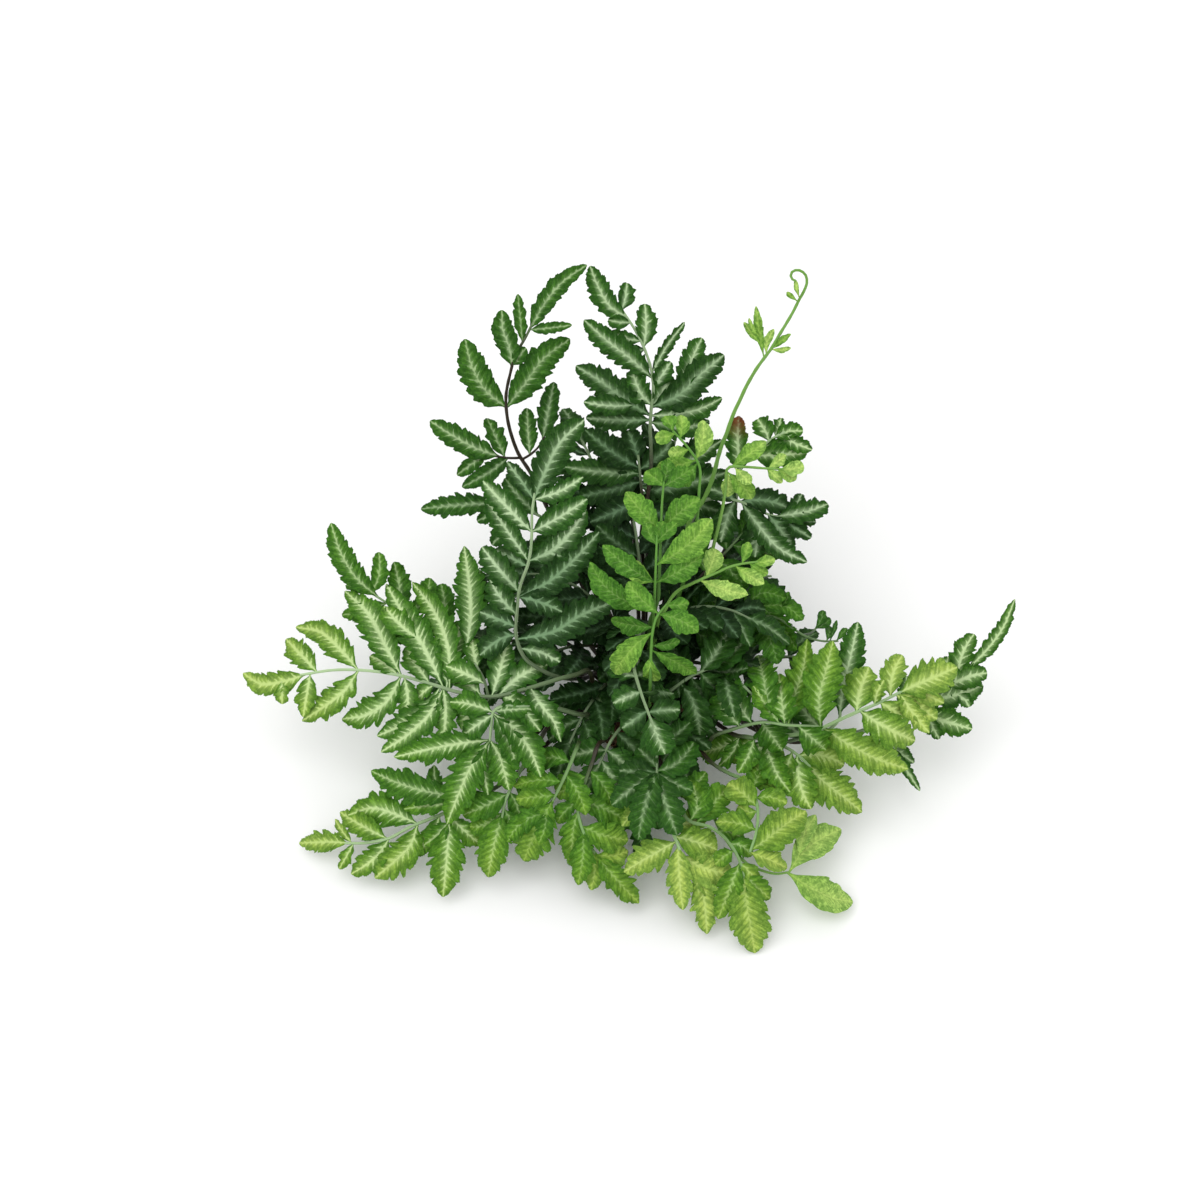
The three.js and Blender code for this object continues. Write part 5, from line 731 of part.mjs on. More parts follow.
// Closed solid through a row of sections with the same number of corners.
// It ends in a point when tip is given, else in a flat face.
function loft(sections, tip = null) {
  const k = sections[0].length;
  const points = [];
  const faces = [];
  sections.forEach((s) => s.forEach((p) => points.push(p.x, p.y, p.z)));
  for (let i = 0; i < sections.length - 1; i++) {
    for (let j = 0; j < k; j++) {
      const a = i * k + j;
      const b = i * k + ((j + 1) % k);
      faces.push(a, b, b + k, a, b + k, a + k);
    }
  }
  for (let j = 1; j < k - 1; j++) faces.push(0, j + 1, j);
  const last = (sections.length - 1) * k;
  if (tip) {
    const t = points.length / 3;
    points.push(tip.x, tip.y, tip.z);
    for (let j = 0; j < k; j++) faces.push(last + j, last + ((j + 1) % k), t);
  } else {
    for (let j = 1; j < k - 1; j++) faces.push(last, last + j, last + j + 1);
  }
  const geometry = new THREE.BufferGeometry();
  geometry.setAttribute('position', new THREE.Float32BufferAttribute(points, 3));
  geometry.setIndex(faces);
  return geometry;
}

function toSolid(geometry) {
  const position = geometry.getAttribute('position').array;
  const index = geometry.getIndex().array;
  const make = (tri) => new wasm.Manifold(new wasm.Mesh({
    numProp: 3,
    vertProperties: new Float32Array(position),
    triVerts: new Uint32Array(tri),
  }));
  let solid = make(index);
  if (solid.volume() < 0) {
    const turned = [];
    for (let i = 0; i < index.length; i += 3) turned.push(index[i], index[i + 2], index[i + 1]);
    solid = make(turned);
  }
  return solid;
}

function toGeometry(solid) {
  const mesh = solid.getMesh();
  const geometry = new THREE.BufferGeometry();
  const xyz = new Float32Array(mesh.numVert * 3);
  for (let i = 0; i < mesh.numVert; i++) {
    for (let c = 0; c < 3; c++) xyz[3 * i + c] = mesh.vertProperties[mesh.numProp * i + c];
  }
  geometry.setAttribute('position', new THREE.BufferAttribute(xyz, 3));
  geometry.setIndex(new THREE.BufferAttribute(new Uint32Array(mesh.triVerts), 1));
  geometry.computeVertexNormals();
  return geometry;
}

// A leaflet: flat below, ridged along its midrib above, drawn out to a point.
function leaflet(row) {
  const width = row[0];
  const normal = v(row[1], row[2], row[3]);
  const line = [];
  for (let i = 4; i < row.length; i += 3) line.push(v(row[i], row[i + 1], row[i + 2]));
  const n = line.length;
  const sections = [];
  for (let i = 0; i < n - 1; i++) {
    const from = line[Math.max(0, i - 1)];
    const along = line[i + 1].clone().sub(from).normalize();
    const side = along.clone().cross(normal).normalize();
    const top = side.clone().cross(along).normalize();
    const half = i === 0 ? ROOT_HALF_WIDTH : (width / 2) * outline(i / (n - 1));
    const rise = LEAFLET_THICKNESS * (i === 0 ? 0.4 : (i === 1 || n < 4 ? 0.5 : 0.425));
    const corners = [[half, -rise / 2], [0, rise], [-half, -rise / 2]];
    sections.push(corners.map(([s, t]) => line[i].clone().addScaledVector(side, s).addScaledVector(top, t)));
  }
  return toSolid(loft(sections, line[n - 1]));
}

// A stalk or midrib: a tapering rod along its points.
function rod(axis) {
  const sections = [];
  let top = null;
  for (let i = 0; i < axis.length; i++) {
    const a = axis[Math.max(0, i - 1)];
    const b = axis[Math.min(axis.length - 1, i + 1)];
    const along = v(b[0] - a[0], b[1] - a[1], b[2] - a[2]).normalize();
    if (!top) top = Math.abs(along.z) < 0.9 ? v(0, 0, 1) : v(1, 0, 0);
    top = top.clone().addScaledVector(along, -top.dot(along)).normalize();
    const side = along.clone().cross(top);
    const r = axis[i][3] * STALK_SCALE;
    const ring = [];
    for (let j = 0; j < STALK_SIDES; j++) {
      const angle = ((j + 0.5) / STALK_SIDES) * Math.PI * 2;
      ring.push(v(axis[i][0], axis[i][1], axis[i][2])
        .addScaledVector(side, Math.cos(angle) * r)
        .addScaledVector(top, Math.sin(angle) * r));
    }
    sections.push(ring);
  }
  return toSolid(loft(sections));
}

function largest(solid) {
  const bodies = solid.decompose();
  bodies.sort((a, b) => b.volume() - a.volume());
  return bodies[0];
}

// ---- fronds ----
const frondSolids = new Map();
for (const frond of FRONDS) {
  const pieces = [...frond.axes.map((a) => rod(a)), ...frond.blades.map((b) => leaflet(b))];
  frondSolids.set(frond.name, largest(wasm.Manifold.union(pieces)));
}

// ---- rhizome crown: a squat woody knuckle that the stalks stand on ----
function stack(profile, sides, rx, ry, wobble) {
  const sections = profile.map(([share, z], level) => {
    const ring = [];
    for (let j = 0; j < sides; j++) {
      const angle = (j / sides) * Math.PI * 2;
      const k = share * (1 + (level > 0 ? wobble * Math.sin(angle * 3 + level * 1.7) : wobble * Math.sin(angle * 3)));
      ring.push(v(Math.cos(angle) * rx * k, Math.sin(angle) * ry * k, z));
    }
    return ring;
  });
  return sections;
}

const crownSolid = toSolid(loft(stack(
  [[0.78, CROWN_BOTTOM], [0.93, 24.2], [0.905, 27.0], [0.80, 29.8], [0.60, 32.0], [0.38, 33.8]],
  CROWN_SIDES, CROWN_RADIUS_X, CROWN_RADIUS_Y, 0.012,
), v(0, 0, 34.9)));

// ---- root mass: matted wiry roots under the crown, flat where they rest ----
const rootSolid = toSolid(loft(stack(
  [[0.90, 0], [1.0, 5.5], [0.97, 12.0], [0.80, 17.5], [0.60, ROOT_HEIGHT]],
  ROOT_SIDES, ROOT_RADIUS, ROOT_RADIUS * 0.94, 0.035,
)));

// ---- scene graph ----
const GREENS = {
  old: [0x1d3a22, 0x3f6b2c],
  mid: [0x2d5a22, 0x7fae3c],
  young: [0x3f8026, 0x86bb45],
  crozier: [0x6f9c3c, 0x9cc860],
  small: [0x4d6b3a, 0x6f8a55],
};

function material(colour, roughness) {
  return new THREE.MeshStandardMaterial({ color: colour, roughness, metalness: 0 });
}

const foliage = new THREE.Group();
foliage.name = 'foliage';
for (const frond of FRONDS) {
  const [dark, light] = GREENS[frond.kind];
  const colour = new THREE.Color(dark).lerp(new THREE.Color(light), frond.tone);
  const mesh = new THREE.Mesh(toGeometry(frondSolids.get(frond.name)), material(colour, 0.55));
  mesh.name = frond.name;
  foliage.add(mesh);
}

const base = new THREE.Group();
base.name = 'rootstock';
const crown = new THREE.Mesh(toGeometry(crownSolid), material(0x3a2a1c, 0.85));
crown.name = 'rhizome_crown';
const roots = new THREE.Mesh(toGeometry(rootSolid), material(0x4a3626, 0.95));
roots.name = 'root_mass';
base.add(crown, roots);

const plant = new THREE.Group();
plant.name = 'silver_lace_fern';
plant.add(base, foliage);

export default plant;
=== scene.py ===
"""Silver lace fern, a whole young plant resting on its root mass.

Every frond is one mesh: a smooth tapering stalk and midribs with a groove on
their upper side, and thin closed leaflets with lobed, toothed, ruffled margins.
Lengths in the table are millimetres in the plant's own frame, +Z up, and the
meshes are in metres.
"""

import math

import bpy
import numpy as np
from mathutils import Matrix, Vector


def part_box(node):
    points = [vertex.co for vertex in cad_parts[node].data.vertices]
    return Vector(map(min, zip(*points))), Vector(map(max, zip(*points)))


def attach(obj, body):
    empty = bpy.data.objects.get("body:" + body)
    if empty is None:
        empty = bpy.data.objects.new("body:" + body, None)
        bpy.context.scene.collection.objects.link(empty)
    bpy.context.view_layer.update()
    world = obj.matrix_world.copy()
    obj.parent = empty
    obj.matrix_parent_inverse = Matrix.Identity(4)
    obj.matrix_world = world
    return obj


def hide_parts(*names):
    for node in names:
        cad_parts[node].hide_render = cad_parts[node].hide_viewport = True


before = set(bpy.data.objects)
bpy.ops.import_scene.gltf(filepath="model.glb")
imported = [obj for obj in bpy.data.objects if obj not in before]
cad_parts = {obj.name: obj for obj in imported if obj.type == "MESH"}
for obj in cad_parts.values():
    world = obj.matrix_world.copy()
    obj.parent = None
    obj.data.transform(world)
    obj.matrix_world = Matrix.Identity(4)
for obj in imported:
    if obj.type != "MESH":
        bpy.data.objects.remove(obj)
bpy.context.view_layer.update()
scene = bpy.context.scene
MM = 0.001

# Each frond: name, kind, tone (0 dark bluish green, 1 lime), silver (0 none, 1 most), axes as rows of
# [x, y, z, radius], and leaflets as [greatest width, upper side's normal, points from base to tip].
FRONDS = [
    ('frond_back_left', 'old', 0.3, 0.4,
     [[[-14.1,12,27.5,1.15],[-22.2,21.8,42.9,1.11],[-29.9,31.5,58.2,1.07],[-37.3,40.8,73.5,1.02],[-44.7,49.6,88.6,0.98],[-52.1,57.9,103.4,0.94],[-59.6,66,118,0.9],[-65.1,70.2,126.4,0.86],[-68.5,73.4,136.4,0.81],[-70.6,77.1,146.6,0.77],[-71.1,83,155.7,0.73],[-69,88,165.3,0.68],[-66,92.8,174.7,0.64],[-60.8,95.8,183.9,0.59],[-56.1,99.9,193,0.55]],
      [[-64.1,69.4,124.8,0.6],[-70.3,67.9,126.3,0.55],[-76.4,66.9,128.6,0.5],[-82.5,66.2,131.1,0.45]],
      [[-63.5,69,124,0.6],[-58.3,72.4,125.2,0.55],[-54,76.5,127.8,0.5],[-51.4,80.9,131.8,0.45]]],
     [[9.1,-0.26,-0.76,0.59,-58.9,97.4,187.5,-51.4,101.5,200.9,-42.2,106.4,211.3,-30.4,111.3,217.8],
      [14,-0.02,-0.79,0.62,-70.8,79.7,150.6,-81.4,83.4,159.4,-88,90.9,168.8,-91.4,101.2,177.4],
      [14,0.1,-0.79,0.6,-70.8,79.7,150.6,-61.2,85.8,162.1,-51.7,94,171.4,-39,102.9,175.8],
      [10.8,-0.23,-0.78,0.58,-67.9,89.8,168.8,-69,94.4,177.7,-72.2,100.5,184.6,-72.7,107.7,191],
      [6.5,-0.43,-0.72,0.55,-62.4,94.9,181,-63.4,101.3,191.5,-64.6,110.3,199.4],
      [5.4,-0.23,-0.8,0.55,-58.9,97.4,187.5,-48.3,94.8,191.2,-37.8,95,192.9],
      [11.8,0.3,-0.35,0.89,-74.6,67.2,128,-86.6,66.7,134.9,-98.2,70.4,140.2,-109.5,77.2,143.6],
      [9.7,0.34,-0.31,0.89,-72.1,67.6,127,-75.1,72.7,131.3,-78.2,78.7,134.6,-81.3,85.8,136.8],
      [7.5,0.32,-0.44,0.84,-81.6,66.3,130.7,-88.7,59,131.2,-95.7,53.4,129.4],
      [8.6,0.29,-0.43,0.85,-70.5,67.8,126.4,-81.1,56.4,126.8,-93.2,49.4,124.8],
      [8.6,0.02,-0.3,0.95,-59.7,71.5,124.9,-60.6,82.8,130.2,-61.3,96.8,132.8],
      [10,-0.1,-0.55,0.83,-53.2,77.9,129.1,-51.1,84.7,136.4,-49.3,92.9,142,-47.4,102.4,146],
      [7.5,-0.04,-0.54,0.84,-54,76.5,127.9,-44.6,79.3,132,-36.7,86.3,134.9],
      [6.9,-0.15,-0.81,0.57,-67.5,90.4,170,-64.8,91.6,173.7,-60.8,94.5,177.7]]),
    ('frond_back_centre', 'old', 0.12, 0.75,
     [[[-1.6,9.9,33.5,1.15],[-1.1,15.1,50.6,1.11],[-0.5,21.7,67.7,1.07],[-1.6,29.2,84.7,1.02],[-3.1,37.6,101,0.98],[-0.4,47.3,115.6,0.94],[1.6,57.3,128.8,0.9],[1.6,63.9,137.1,0.86],[1.1,69.5,146,0.81],[1.6,75.4,154.7,0.77],[2.6,81.4,163.3,0.73],[1.1,87.4,171.7,0.68],[-2.4,93.5,179.6,0.64],[-7.3,99.4,186.9,0.59],[-13.1,104.6,194,0.55]]],
     [[10.5,0.21,-0.62,0.76,-10.8,102.5,191.1,-19.5,104.2,197.6,-24.9,110.5,204.3,-28.9,119.2,209.9],
      [7.7,0.28,-0.6,0.75,-13.1,104.6,194,-11.5,109.3,198.5,-10.6,115.6,201.9],
      [6.6,0.16,-0.68,0.71,-9,100.9,189,-14.6,99.8,190.3,-20,100.5,191.1],
      [6.6,-0.01,-0.66,0.75,-3.7,95.2,181.7,-11.6,95.5,183.6,-19,98.7,184.7],
      [9.9,0.2,-0.65,0.73,-2.3,93.4,179.4,-1.3,97.8,184.9,-1.3,103.2,189.7,-1.7,109.5,193.5],
      [12.1,0,-0.77,0.63,1.9,84.2,167.1,-9.1,88.2,176.8,-20.9,93.8,183.8,-31.9,102.3,189.4],
      [5.5,0.15,-0.75,0.65,1.6,85.4,168.9,8.9,93.3,179.8,18.2,104,186.4],
      [14.4,0.04,-0.79,0.61,1.7,75.7,155,15.2,77,162.3,26,83.6,170.1,37.7,92.8,174.6],
      [11,-0.19,-0.45,0.87,16.6,77.9,163.3,19.2,85.5,168.7,22.6,93.5,173.5,26.9,101.6,177.8],
      [13.2,-0.13,-0.79,0.61,1.4,73.2,151.5,-11.4,77.1,158.5,-23.2,83.8,164.6,-36,92,167.7],
      [9.9,0.19,-0.53,0.83,-7.3,75.9,156.3,-15.5,73.1,158.4,-23.7,72.5,159.9,-32,73.8,160.6],
      [11,-0.16,-0.82,0.55,1.3,72,149.7,-9.5,71.7,149.9,-20.2,73.1,148.9,-31,76.2,146.7],
      [11,-0.13,-0.74,0.66,1.8,76.3,155.9,-3,78.7,160.4,-5.9,83,164.7,-8,88.7,168.1],
      [11,0.01,-0.74,0.67,1.8,76.3,155.9,5.9,78.6,159.6,8.5,82.2,163.6,9.9,86.7,167.3],
      [9.9,0.09,-0.81,0.58,1.4,73.2,151.5,13.7,72.7,153.1,25.8,75,154.6,37,80.7,156.4],
      [11,0.1,-0.83,0.55,1.3,71.4,148.8,10.3,70.1,148,19.4,70.3,146.6,28.6,72.9,145.9],
      [7.7,-0.09,-0.81,0.59,-1.9,92.8,178.6,-8.5,91.6,177.7,-15,91.6,175],
      [8.6,0,-0.77,0.64,2.6,81.4,163.3,6.3,84,168,11.3,89.5,172.9]]),
    ('frond_back_inner', 'old', 0.05, 0.7,
     [[[-5.1,9.2,33.5,1.15],[-4.2,10.9,44,1.11],[-2.9,12.8,55.1,1.07],[-1.5,15.1,66,1.02],[-0.3,18.4,76.2,0.98],[0.4,22.9,85.2,0.94],[0.3,29,92.4,0.9],[-0.3,35.7,98.2,0.84],[-1,42.4,103.9,0.78],[-1.9,48.7,110.2,0.73],[-3,54.3,117.2,0.67],[-3.9,59.2,125,0.61],[-4.9,63.7,133,0.55]]],
     [[12.7,0.01,-0.74,0.67,-4.1,60.3,126.9,-13.9,62.2,133,-23,66.5,137.8,-31.5,73.1,141.3],
      [12.7,-0.01,-0.73,0.69,-3.8,58.9,124.5,-16.5,57.5,126.5,-29.1,58.3,127.2,-41.7,61.5,126.6],
      [12.7,0.01,-0.73,0.68,-3.4,56.7,120.9,-13.9,53.2,120.3,-24.5,51.4,118.4,-35.1,51.2,115.4],
      [11.5,0.03,-0.72,0.7,-4.6,62.3,130.6,-6.1,65.4,134.8,-7.9,68.9,138.5,-9.9,72.8,141.6],
      [11.5,0.09,-0.74,0.67,-4,59.9,126.3,2.1,62.4,129.8,7.8,65.9,133,12.3,70.9,136.3],
      [11.5,0.1,-0.74,0.67,-3.2,55.2,118.6,4.5,54,117.6,12,52.8,115.2,19.1,51.6,111.2],
      [12.7,0.16,-0.59,0.79,-2.4,51.1,113.1,-11.3,43.9,115.4,-20.1,40.3,113.9,-29,39.2,109.8],
      [12.7,-0.04,-0.87,0.49,-2.1,49.4,111,6.2,43.5,111.3,14.8,41.2,108.1,23.5,42.8,101.1],
      [11.5,0.08,-0.71,0.7,-3.6,57.4,122.1,10.7,59.2,127.1,24.5,64.6,130.9,37.6,73.5,133.6],
      [11.5,0.05,-0.63,0.77,-2.8,53.2,115.8,11.8,54.5,118.9,26.4,57.7,120.5,40.8,63.1,121.1],
      [11.5,0.07,-0.67,0.74,-1.8,48,109.5,12.4,46.3,113.6,26.8,47.4,112.6,40.9,48.4,105.7],
      [10.4,0.03,-0.72,0.69,-3.6,57.8,122.7,-10,60.5,127.9,-16.8,63.8,131.6,-24,67.7,133.9]]),
    ('young_crozier', 'crozier', 0.95, 0,
     [[[8.53,7.55,33.5,1.1],[11.2,12.58,62.73,1.08],[13.3,17.45,63.22,1.07],[9.98,21.77,80.96,1.05],[15.63,25.79,91.91,1.03],[18.72,29.23,105.16,1.02],[20.97,33.25,118,1],[24.18,35.42,122.98,0.98],[27.51,38.09,127.62,0.96],[29.89,40.23,133.04,0.94],[31.74,42.23,138.72,0.93],[33.17,44.53,144.42,0.91],[34.51,47.63,149.71,0.89],[36.26,50.23,155.12,0.87],[38.21,52.01,160.85,0.85],[39.93,54.2,166.51,0.83],[41.93,56.56,172,0.81],[44.44,59.12,177.19,0.79],[46.83,61.71,182.42,0.78],[49.45,63.52,187.86,0.76],[52.29,65.08,193.27,0.74],[55.81,67.43,197.94,0.72],[59.25,69.3,202.87,0.7],[61.81,71.43,207.55,0.68],[65.61,75.67,212.11,0.67],[68.92,79.54,216.36,0.65],[71.75,83.4,220.6,0.64],[74.09,86.15,223.91,0.63],[75.47,88.9,227.22,0.61],[74.44,91.27,230.21,0.6],[71.02,92.18,231.97,0.59],[68.08,90.87,231.88,0.58],[67.55,88.1,230.55,0.56],[69.88,86.43,230.15,0.55]]],
     [[5,-0.4,-0.6,0.7,55.42,67.17,197.42,53.13,76.66,205.66,51.6,87.57,212.73],
      [4.4,-0.03,-0.63,0.78,54.24,72.04,201.65,49.56,75.53,205.54,45.73,80.93,208.42],
      [2.8,0.11,-0.76,0.64,53.6,74.72,203.97,49.73,76.27,208.23,47.99,80.4,211.58],
      [4.4,-0.32,-0.48,0.82,56.45,67.78,198.86,56.66,72.19,202.23,60.24,78.11,206.46],
      [3.9,-0.33,-0.71,0.62,58.5,68.89,201.8,63.05,69.15,206.77,67.95,71.38,209.59],
      [3.3,-0.27,-0.75,0.6,58.5,68.89,201.8,63.32,67.51,202.72,68.07,67.33,204.18],
      [2.8,-0.31,-0.69,0.65,71.57,81.36,224.01,70.3,83.9,227.3,69.9,87.4,229.9],
      [2.8,-0.33,-0.69,0.64,70.73,80.55,222.54,67.9,82.2,223.9,65.8,84.7,224.7]]),
    ('young_frond_top', 'young', 0.85, 0,
     [[[3.6,3,36,1],[5.5,3,58.3,0.97],[9.6,0.4,66.9,0.93],[13.9,-1.2,82.4,0.9],[14.2,-2.9,97.2,0.87],[17.4,0.2,109.6,0.83],[20.2,3.3,122,0.8],[22.1,10.2,131.1,0.75],[23.7,17,140.3,0.7],[24.3,23.9,149.6,0.65],[24.5,31.6,158.3,0.6],[19.1,36.9,166,0.55],[11.4,41.9,173,0.5]]],
     [[6.9,0.18,-0.64,0.75,12.6,41.2,172,7.7,38.8,172.1,2.6,38.7,172.2],
      [6.9,0.23,-0.55,0.8,11.4,41.9,173,9.7,44.4,175.9,7.5,47.4,177.8],
      [6.9,0.28,-0.47,0.83,14.9,39.6,169.9,15.8,44.4,173.2,15.4,50.1,175.7],
      [9.5,0.28,-0.63,0.72,22.5,33.6,161.2,25,37.9,165.7,26.4,43.1,169.8,26.1,49,173.3],
      [9,0.17,-0.73,0.66,22.5,33.6,161.2,15.9,30.3,161.9,9.3,28.5,161.5,2.7,28.1,160.1],
      [7.9,0.19,-0.77,0.61,23.3,32.7,160,18.9,28.1,156.8,14.5,24.6,152.5],
      [6.3,0.15,-0.72,0.68,19.4,36.6,165.6,14.3,34.8,165.7,9,34.4,165.5]]),
    ('young_frond_inner', 'young', 0.8, 0,
     [[[-0.4,-4,36,1],[-0.5,-9.3,61,0.97],[0,-15.3,67.4,0.93],[-0.2,-22.2,78.7,0.9],[0.6,-23,95,0.87],[0.6,-21.2,105.4,0.83],[4.3,-16.9,115.6,0.8],[4.7,-10.5,122.9,0.75],[5.2,-4.3,130.2,0.7],[5.4,1.8,137.8,0.65],[5.7,7.8,145.4,0.6],[6.1,14,152.8,0.55],[6.9,20.3,160,0.5]]],
     [[9,-0.11,-0.67,0.73,6.8,18.9,158.4,4.1,21.5,159.6,1.1,23.4,161,-2.2,24.7,162.4],
      [9,0.04,-0.68,0.73,6.8,18.9,158.4,11.1,19.8,161,15.3,21.9,162.7,19.5,25.1,163.4],
      [6.9,0,-0.55,0.83,6.9,20.3,160,8.4,24.3,163.7,8.9,29.7,166.2],
      [11.6,-0.05,-0.72,0.69,5.6,4.7,141.6,-0.5,8,147,-6.2,12.6,151.4,-11.4,18.5,154.8],
      [11.6,0.03,-0.73,0.69,5.6,5.2,142.1,11.3,8.1,147.3,17.5,11.7,150.9,24.5,15.9,152.7]]),
    ('young_frond_centre', 'young', 0.82, 0,
     [[[2.4,-9.8,33.5,1],[2.1,-13.2,42.7,0.97],[1.5,-18.7,51.9,0.93],[0.9,-24.6,61,0.9],[0.5,-29.6,69.9,0.87],[0.3,-32.2,78.3,0.83],[0.6,-30.9,86.3,0.8],[1.5,-26.1,96.4,0.75],[2.1,-22.8,108.2,0.7],[2.5,-19.1,119.2,0.65],[2.8,-14.4,128.9,0.6],[3.1,-9.1,138.2,0.55],[3.5,-1.5,146,0.5]]],
     [[10.6,-0.11,-0.87,0.48,2.8,-15.4,126.9,-6.5,-13.4,132.4,-14.9,-9.6,137.3,-22.6,-4,141.5],
      [12.7,-0.13,-0.87,0.47,2.4,-19.8,117.1,-11.5,-19.8,118.5,-22.1,-15.1,124.6,-28.8,-7,132.4],
      [8.4,-0.12,-0.86,0.5,2.8,-15.4,126.9,-4.8,-13.6,130.7,-9.5,-8.6,135.8],
      [7.4,0.03,-0.61,0.79,3.3,-4.9,142.5,5.5,-0.9,146.5,6.4,4.3,149.6],
      [6.3,0.04,-0.7,0.72,3.4,-3.8,143.6,8.1,-1.3,147.8,13.1,2.9,149.7],
      [6.3,-0.13,-0.54,0.83,3.3,-4.9,142.5,0.1,-0.6,145.1,-1.8,4.6,147.9],
      [13.7,0.06,-0.84,0.54,3,-11,134.8,13.1,-8.8,141.3,22.2,-4.2,147.3,29.9,2.7,152.9],
      [10.6,0.08,-0.87,0.48,2.8,-15.4,126.9,10.8,-14.2,131.1,18.3,-11.5,134.7,25.3,-7.2,137.9]]),
    ('young_frond_right', 'young', 0.92, 0,
     [[[2.9,-3.4,36,1],[2.1,-7.6,57.4,0.97],[2.2,-11,64.4,0.93],[2.4,-14.6,75.6,0.9],[3.5,-17.2,86.9,0.87],[5.4,-16.5,104,0.83],[7.3,-18.2,108,0.8],[10.5,-14,112.8,0.76],[14.6,-12.5,118.1,0.73],[19.7,-13.3,123,0.69],[25.8,-12.6,126.5,0.65],[32.3,-10,127.8,0.61],[38.8,-7.6,129.4,0.57],[45.7,-6.5,130.7,0.54],[52.7,-5.7,131,0.5]]],
     [[9.5,0.01,-0.32,0.95,27.6,-11.9,126.8,29.5,-8,129.1,31.2,-3.3,130.7,32.6,2.1,131.6],
      [5.3,-0.08,-0.34,0.94,44.9,-6.6,130.6,46.9,-2,133.3,48.6,3.9,134.7],
      [6.3,0.08,-0.38,0.92,49.9,-6,130.9,55.6,-6.1,131.3,61.1,-3.7,130.9],
      [6.3,0.23,-0.49,0.84,48.5,-6.2,130.8,52.7,-8.9,129,57.7,-9.4,126.4],
      [6.9,-0.05,-0.46,0.89,41.5,-7.2,129.9,48.2,-12.5,128.9,55.5,-15.7,126.3],
      [8.4,-0.31,-0.53,0.79,24.4,-12.8,125.7,35.5,-20.2,127.5,47.4,-23.6,127.4]]),
    ('young_frond_low', 'young', 0.78, 0,
     [[[-1.2,-10,33.5,1],[-1,-16.7,44,0.97],[-0.7,-27,53.7,0.93],[-0.4,-38.3,62.8,0.9],[-0.1,-48.3,71.7,0.87],[0.1,-54.3,80.7,0.83],[0.3,-54,90.3,0.8],[0.4,-50.6,98.2,0.75],[0.5,-46.3,104.9,0.7],[0.8,-42,110.9,0.65],[1.3,-38.5,117.2,0.6],[3.3,-33.6,122.8,0.55],[8.2,-29,127,0.5]]],
     [[10.6,-0.21,-0.79,0.57,4.4,-32.6,123.8,11,-35.4,124.6,17.3,-38,123.3,23.1,-40.5,119.8],
      [6.9,-0.24,-0.72,0.65,7.8,-29.4,126.7,13.3,-30.8,128.4,18.7,-30.4,129.5],
      [5.8,0.43,-0.89,0.11,0.8,-41.9,111.1,8,-39.6,109,14.8,-35.6,106.9],
      [10,0.2,-0.98,0.08,0.7,-43.2,109.3,8.4,-43.1,103.6,15.7,-42.2,96.1,23.1,-40.3,87],
      [7.9,-0.04,-0.94,0.34,0.6,-44.8,107,0.2,-48.3,103.6,3.2,-49.8,93.5],
      [11.6,-0.11,-0.91,0.4,1.4,-38.4,117.2,-6.3,-42.1,112.8,-12.3,-45.1,105.6,-16.7,-46.2,94.5],
      [11.6,-0.47,-0.62,0.63,4.4,-32.6,123.8,-1.2,-28.4,125.8,-6.3,-23.1,127.2,-10.5,-16.4,128.6],
      [10.6,-0.46,-0.82,0.35,2,-36.9,118.9,-5,-35,117.5,-11.9,-32,115.6,-18.7,-27.7,113.4]]),
    ('young_frond_right_top', 'young', 0.97, 0,
     [[[12.4,2.9,33.5,1],[17,7,54.8,0.97],[21,11.2,66.7,0.93],[25.5,12.3,82.8,0.9],[30,16.5,99.7,0.87],[32.6,20.3,113.8,0.83],[35.3,24.3,128,0.8],[36.9,28.5,136.4,0.75],[37.8,32.1,145.1,0.7],[38.7,35.2,154.1,0.65],[46.9,34.9,155,0.6],[56.4,34,155,0.55],[65.9,33.5,155,0.5]]],
     [[7.4,0.05,-0.39,0.92,63.8,33.6,155,69.7,32.9,155.7,75.7,35.5,155.1],
      [6.3,0.08,-0.45,0.89,62.3,33.7,155,67.2,31.4,153.8,71.7,29.2,151.8],
      [9,-0.05,-0.35,0.94,39.8,35.2,154.2,45.7,38.3,157.1,51.6,42.5,158.9,57.4,47.8,159.8],
      [5.3,0.05,-0.34,0.94,58.1,33.9,155,62.6,36.8,156.6,67.1,41,157.1],
      [5.8,0.12,-0.51,0.85,57.4,34,155,61.2,30.7,153.4,64.9,28.4,150.5],
      [6.9,-0.09,-0.97,0.22,38.5,34.4,151.8,38.9,32.1,145.3,39.1,31.1,137.4],
      [9,-0.04,-0.96,0.28,38.5,34.4,151.8,43.1,32,148.7,47.3,30.4,143.9,50.9,29.8,137.4],
      [5.8,-0.06,-0.46,0.88,41.9,35.1,154.4,45.7,30.6,153.3,49.7,27.4,150.9]]),
    ('frond_right_back', 'old', 0.22, 0.45,
     [[[10.9,5.4,33.5,1.15],[17.7,11.6,59.4,1.11],[24.6,17.6,63.9,1.07],[31.2,23.7,75,1.02],[37.1,29.5,87.2,0.98],[41.4,38.9,101.5,0.94],[44.1,45.3,112.1,0.9],[44.7,50.1,119.2,0.84],[45.6,54.2,127,0.78],[48.3,57.8,134.6,0.73],[54.9,58.8,140.3,0.67],[60.6,61.2,146.4,0.61],[68,62.4,151,0.55]]],
     [[11.5,-0.21,-0.8,0.56,46.4,55.2,129,45.4,59.5,138.2,44.9,65.1,146,45.4,71.9,152.6],
      [8.1,-0.22,-0.5,0.84,63,61.6,147.9,69.6,62.2,151.6,76.8,62.2,151.9],
      [9.8,-0.37,-0.59,0.72,60.3,61.1,146,58.9,63.9,148.7,57,67.2,150.5,54.9,71,151.4],
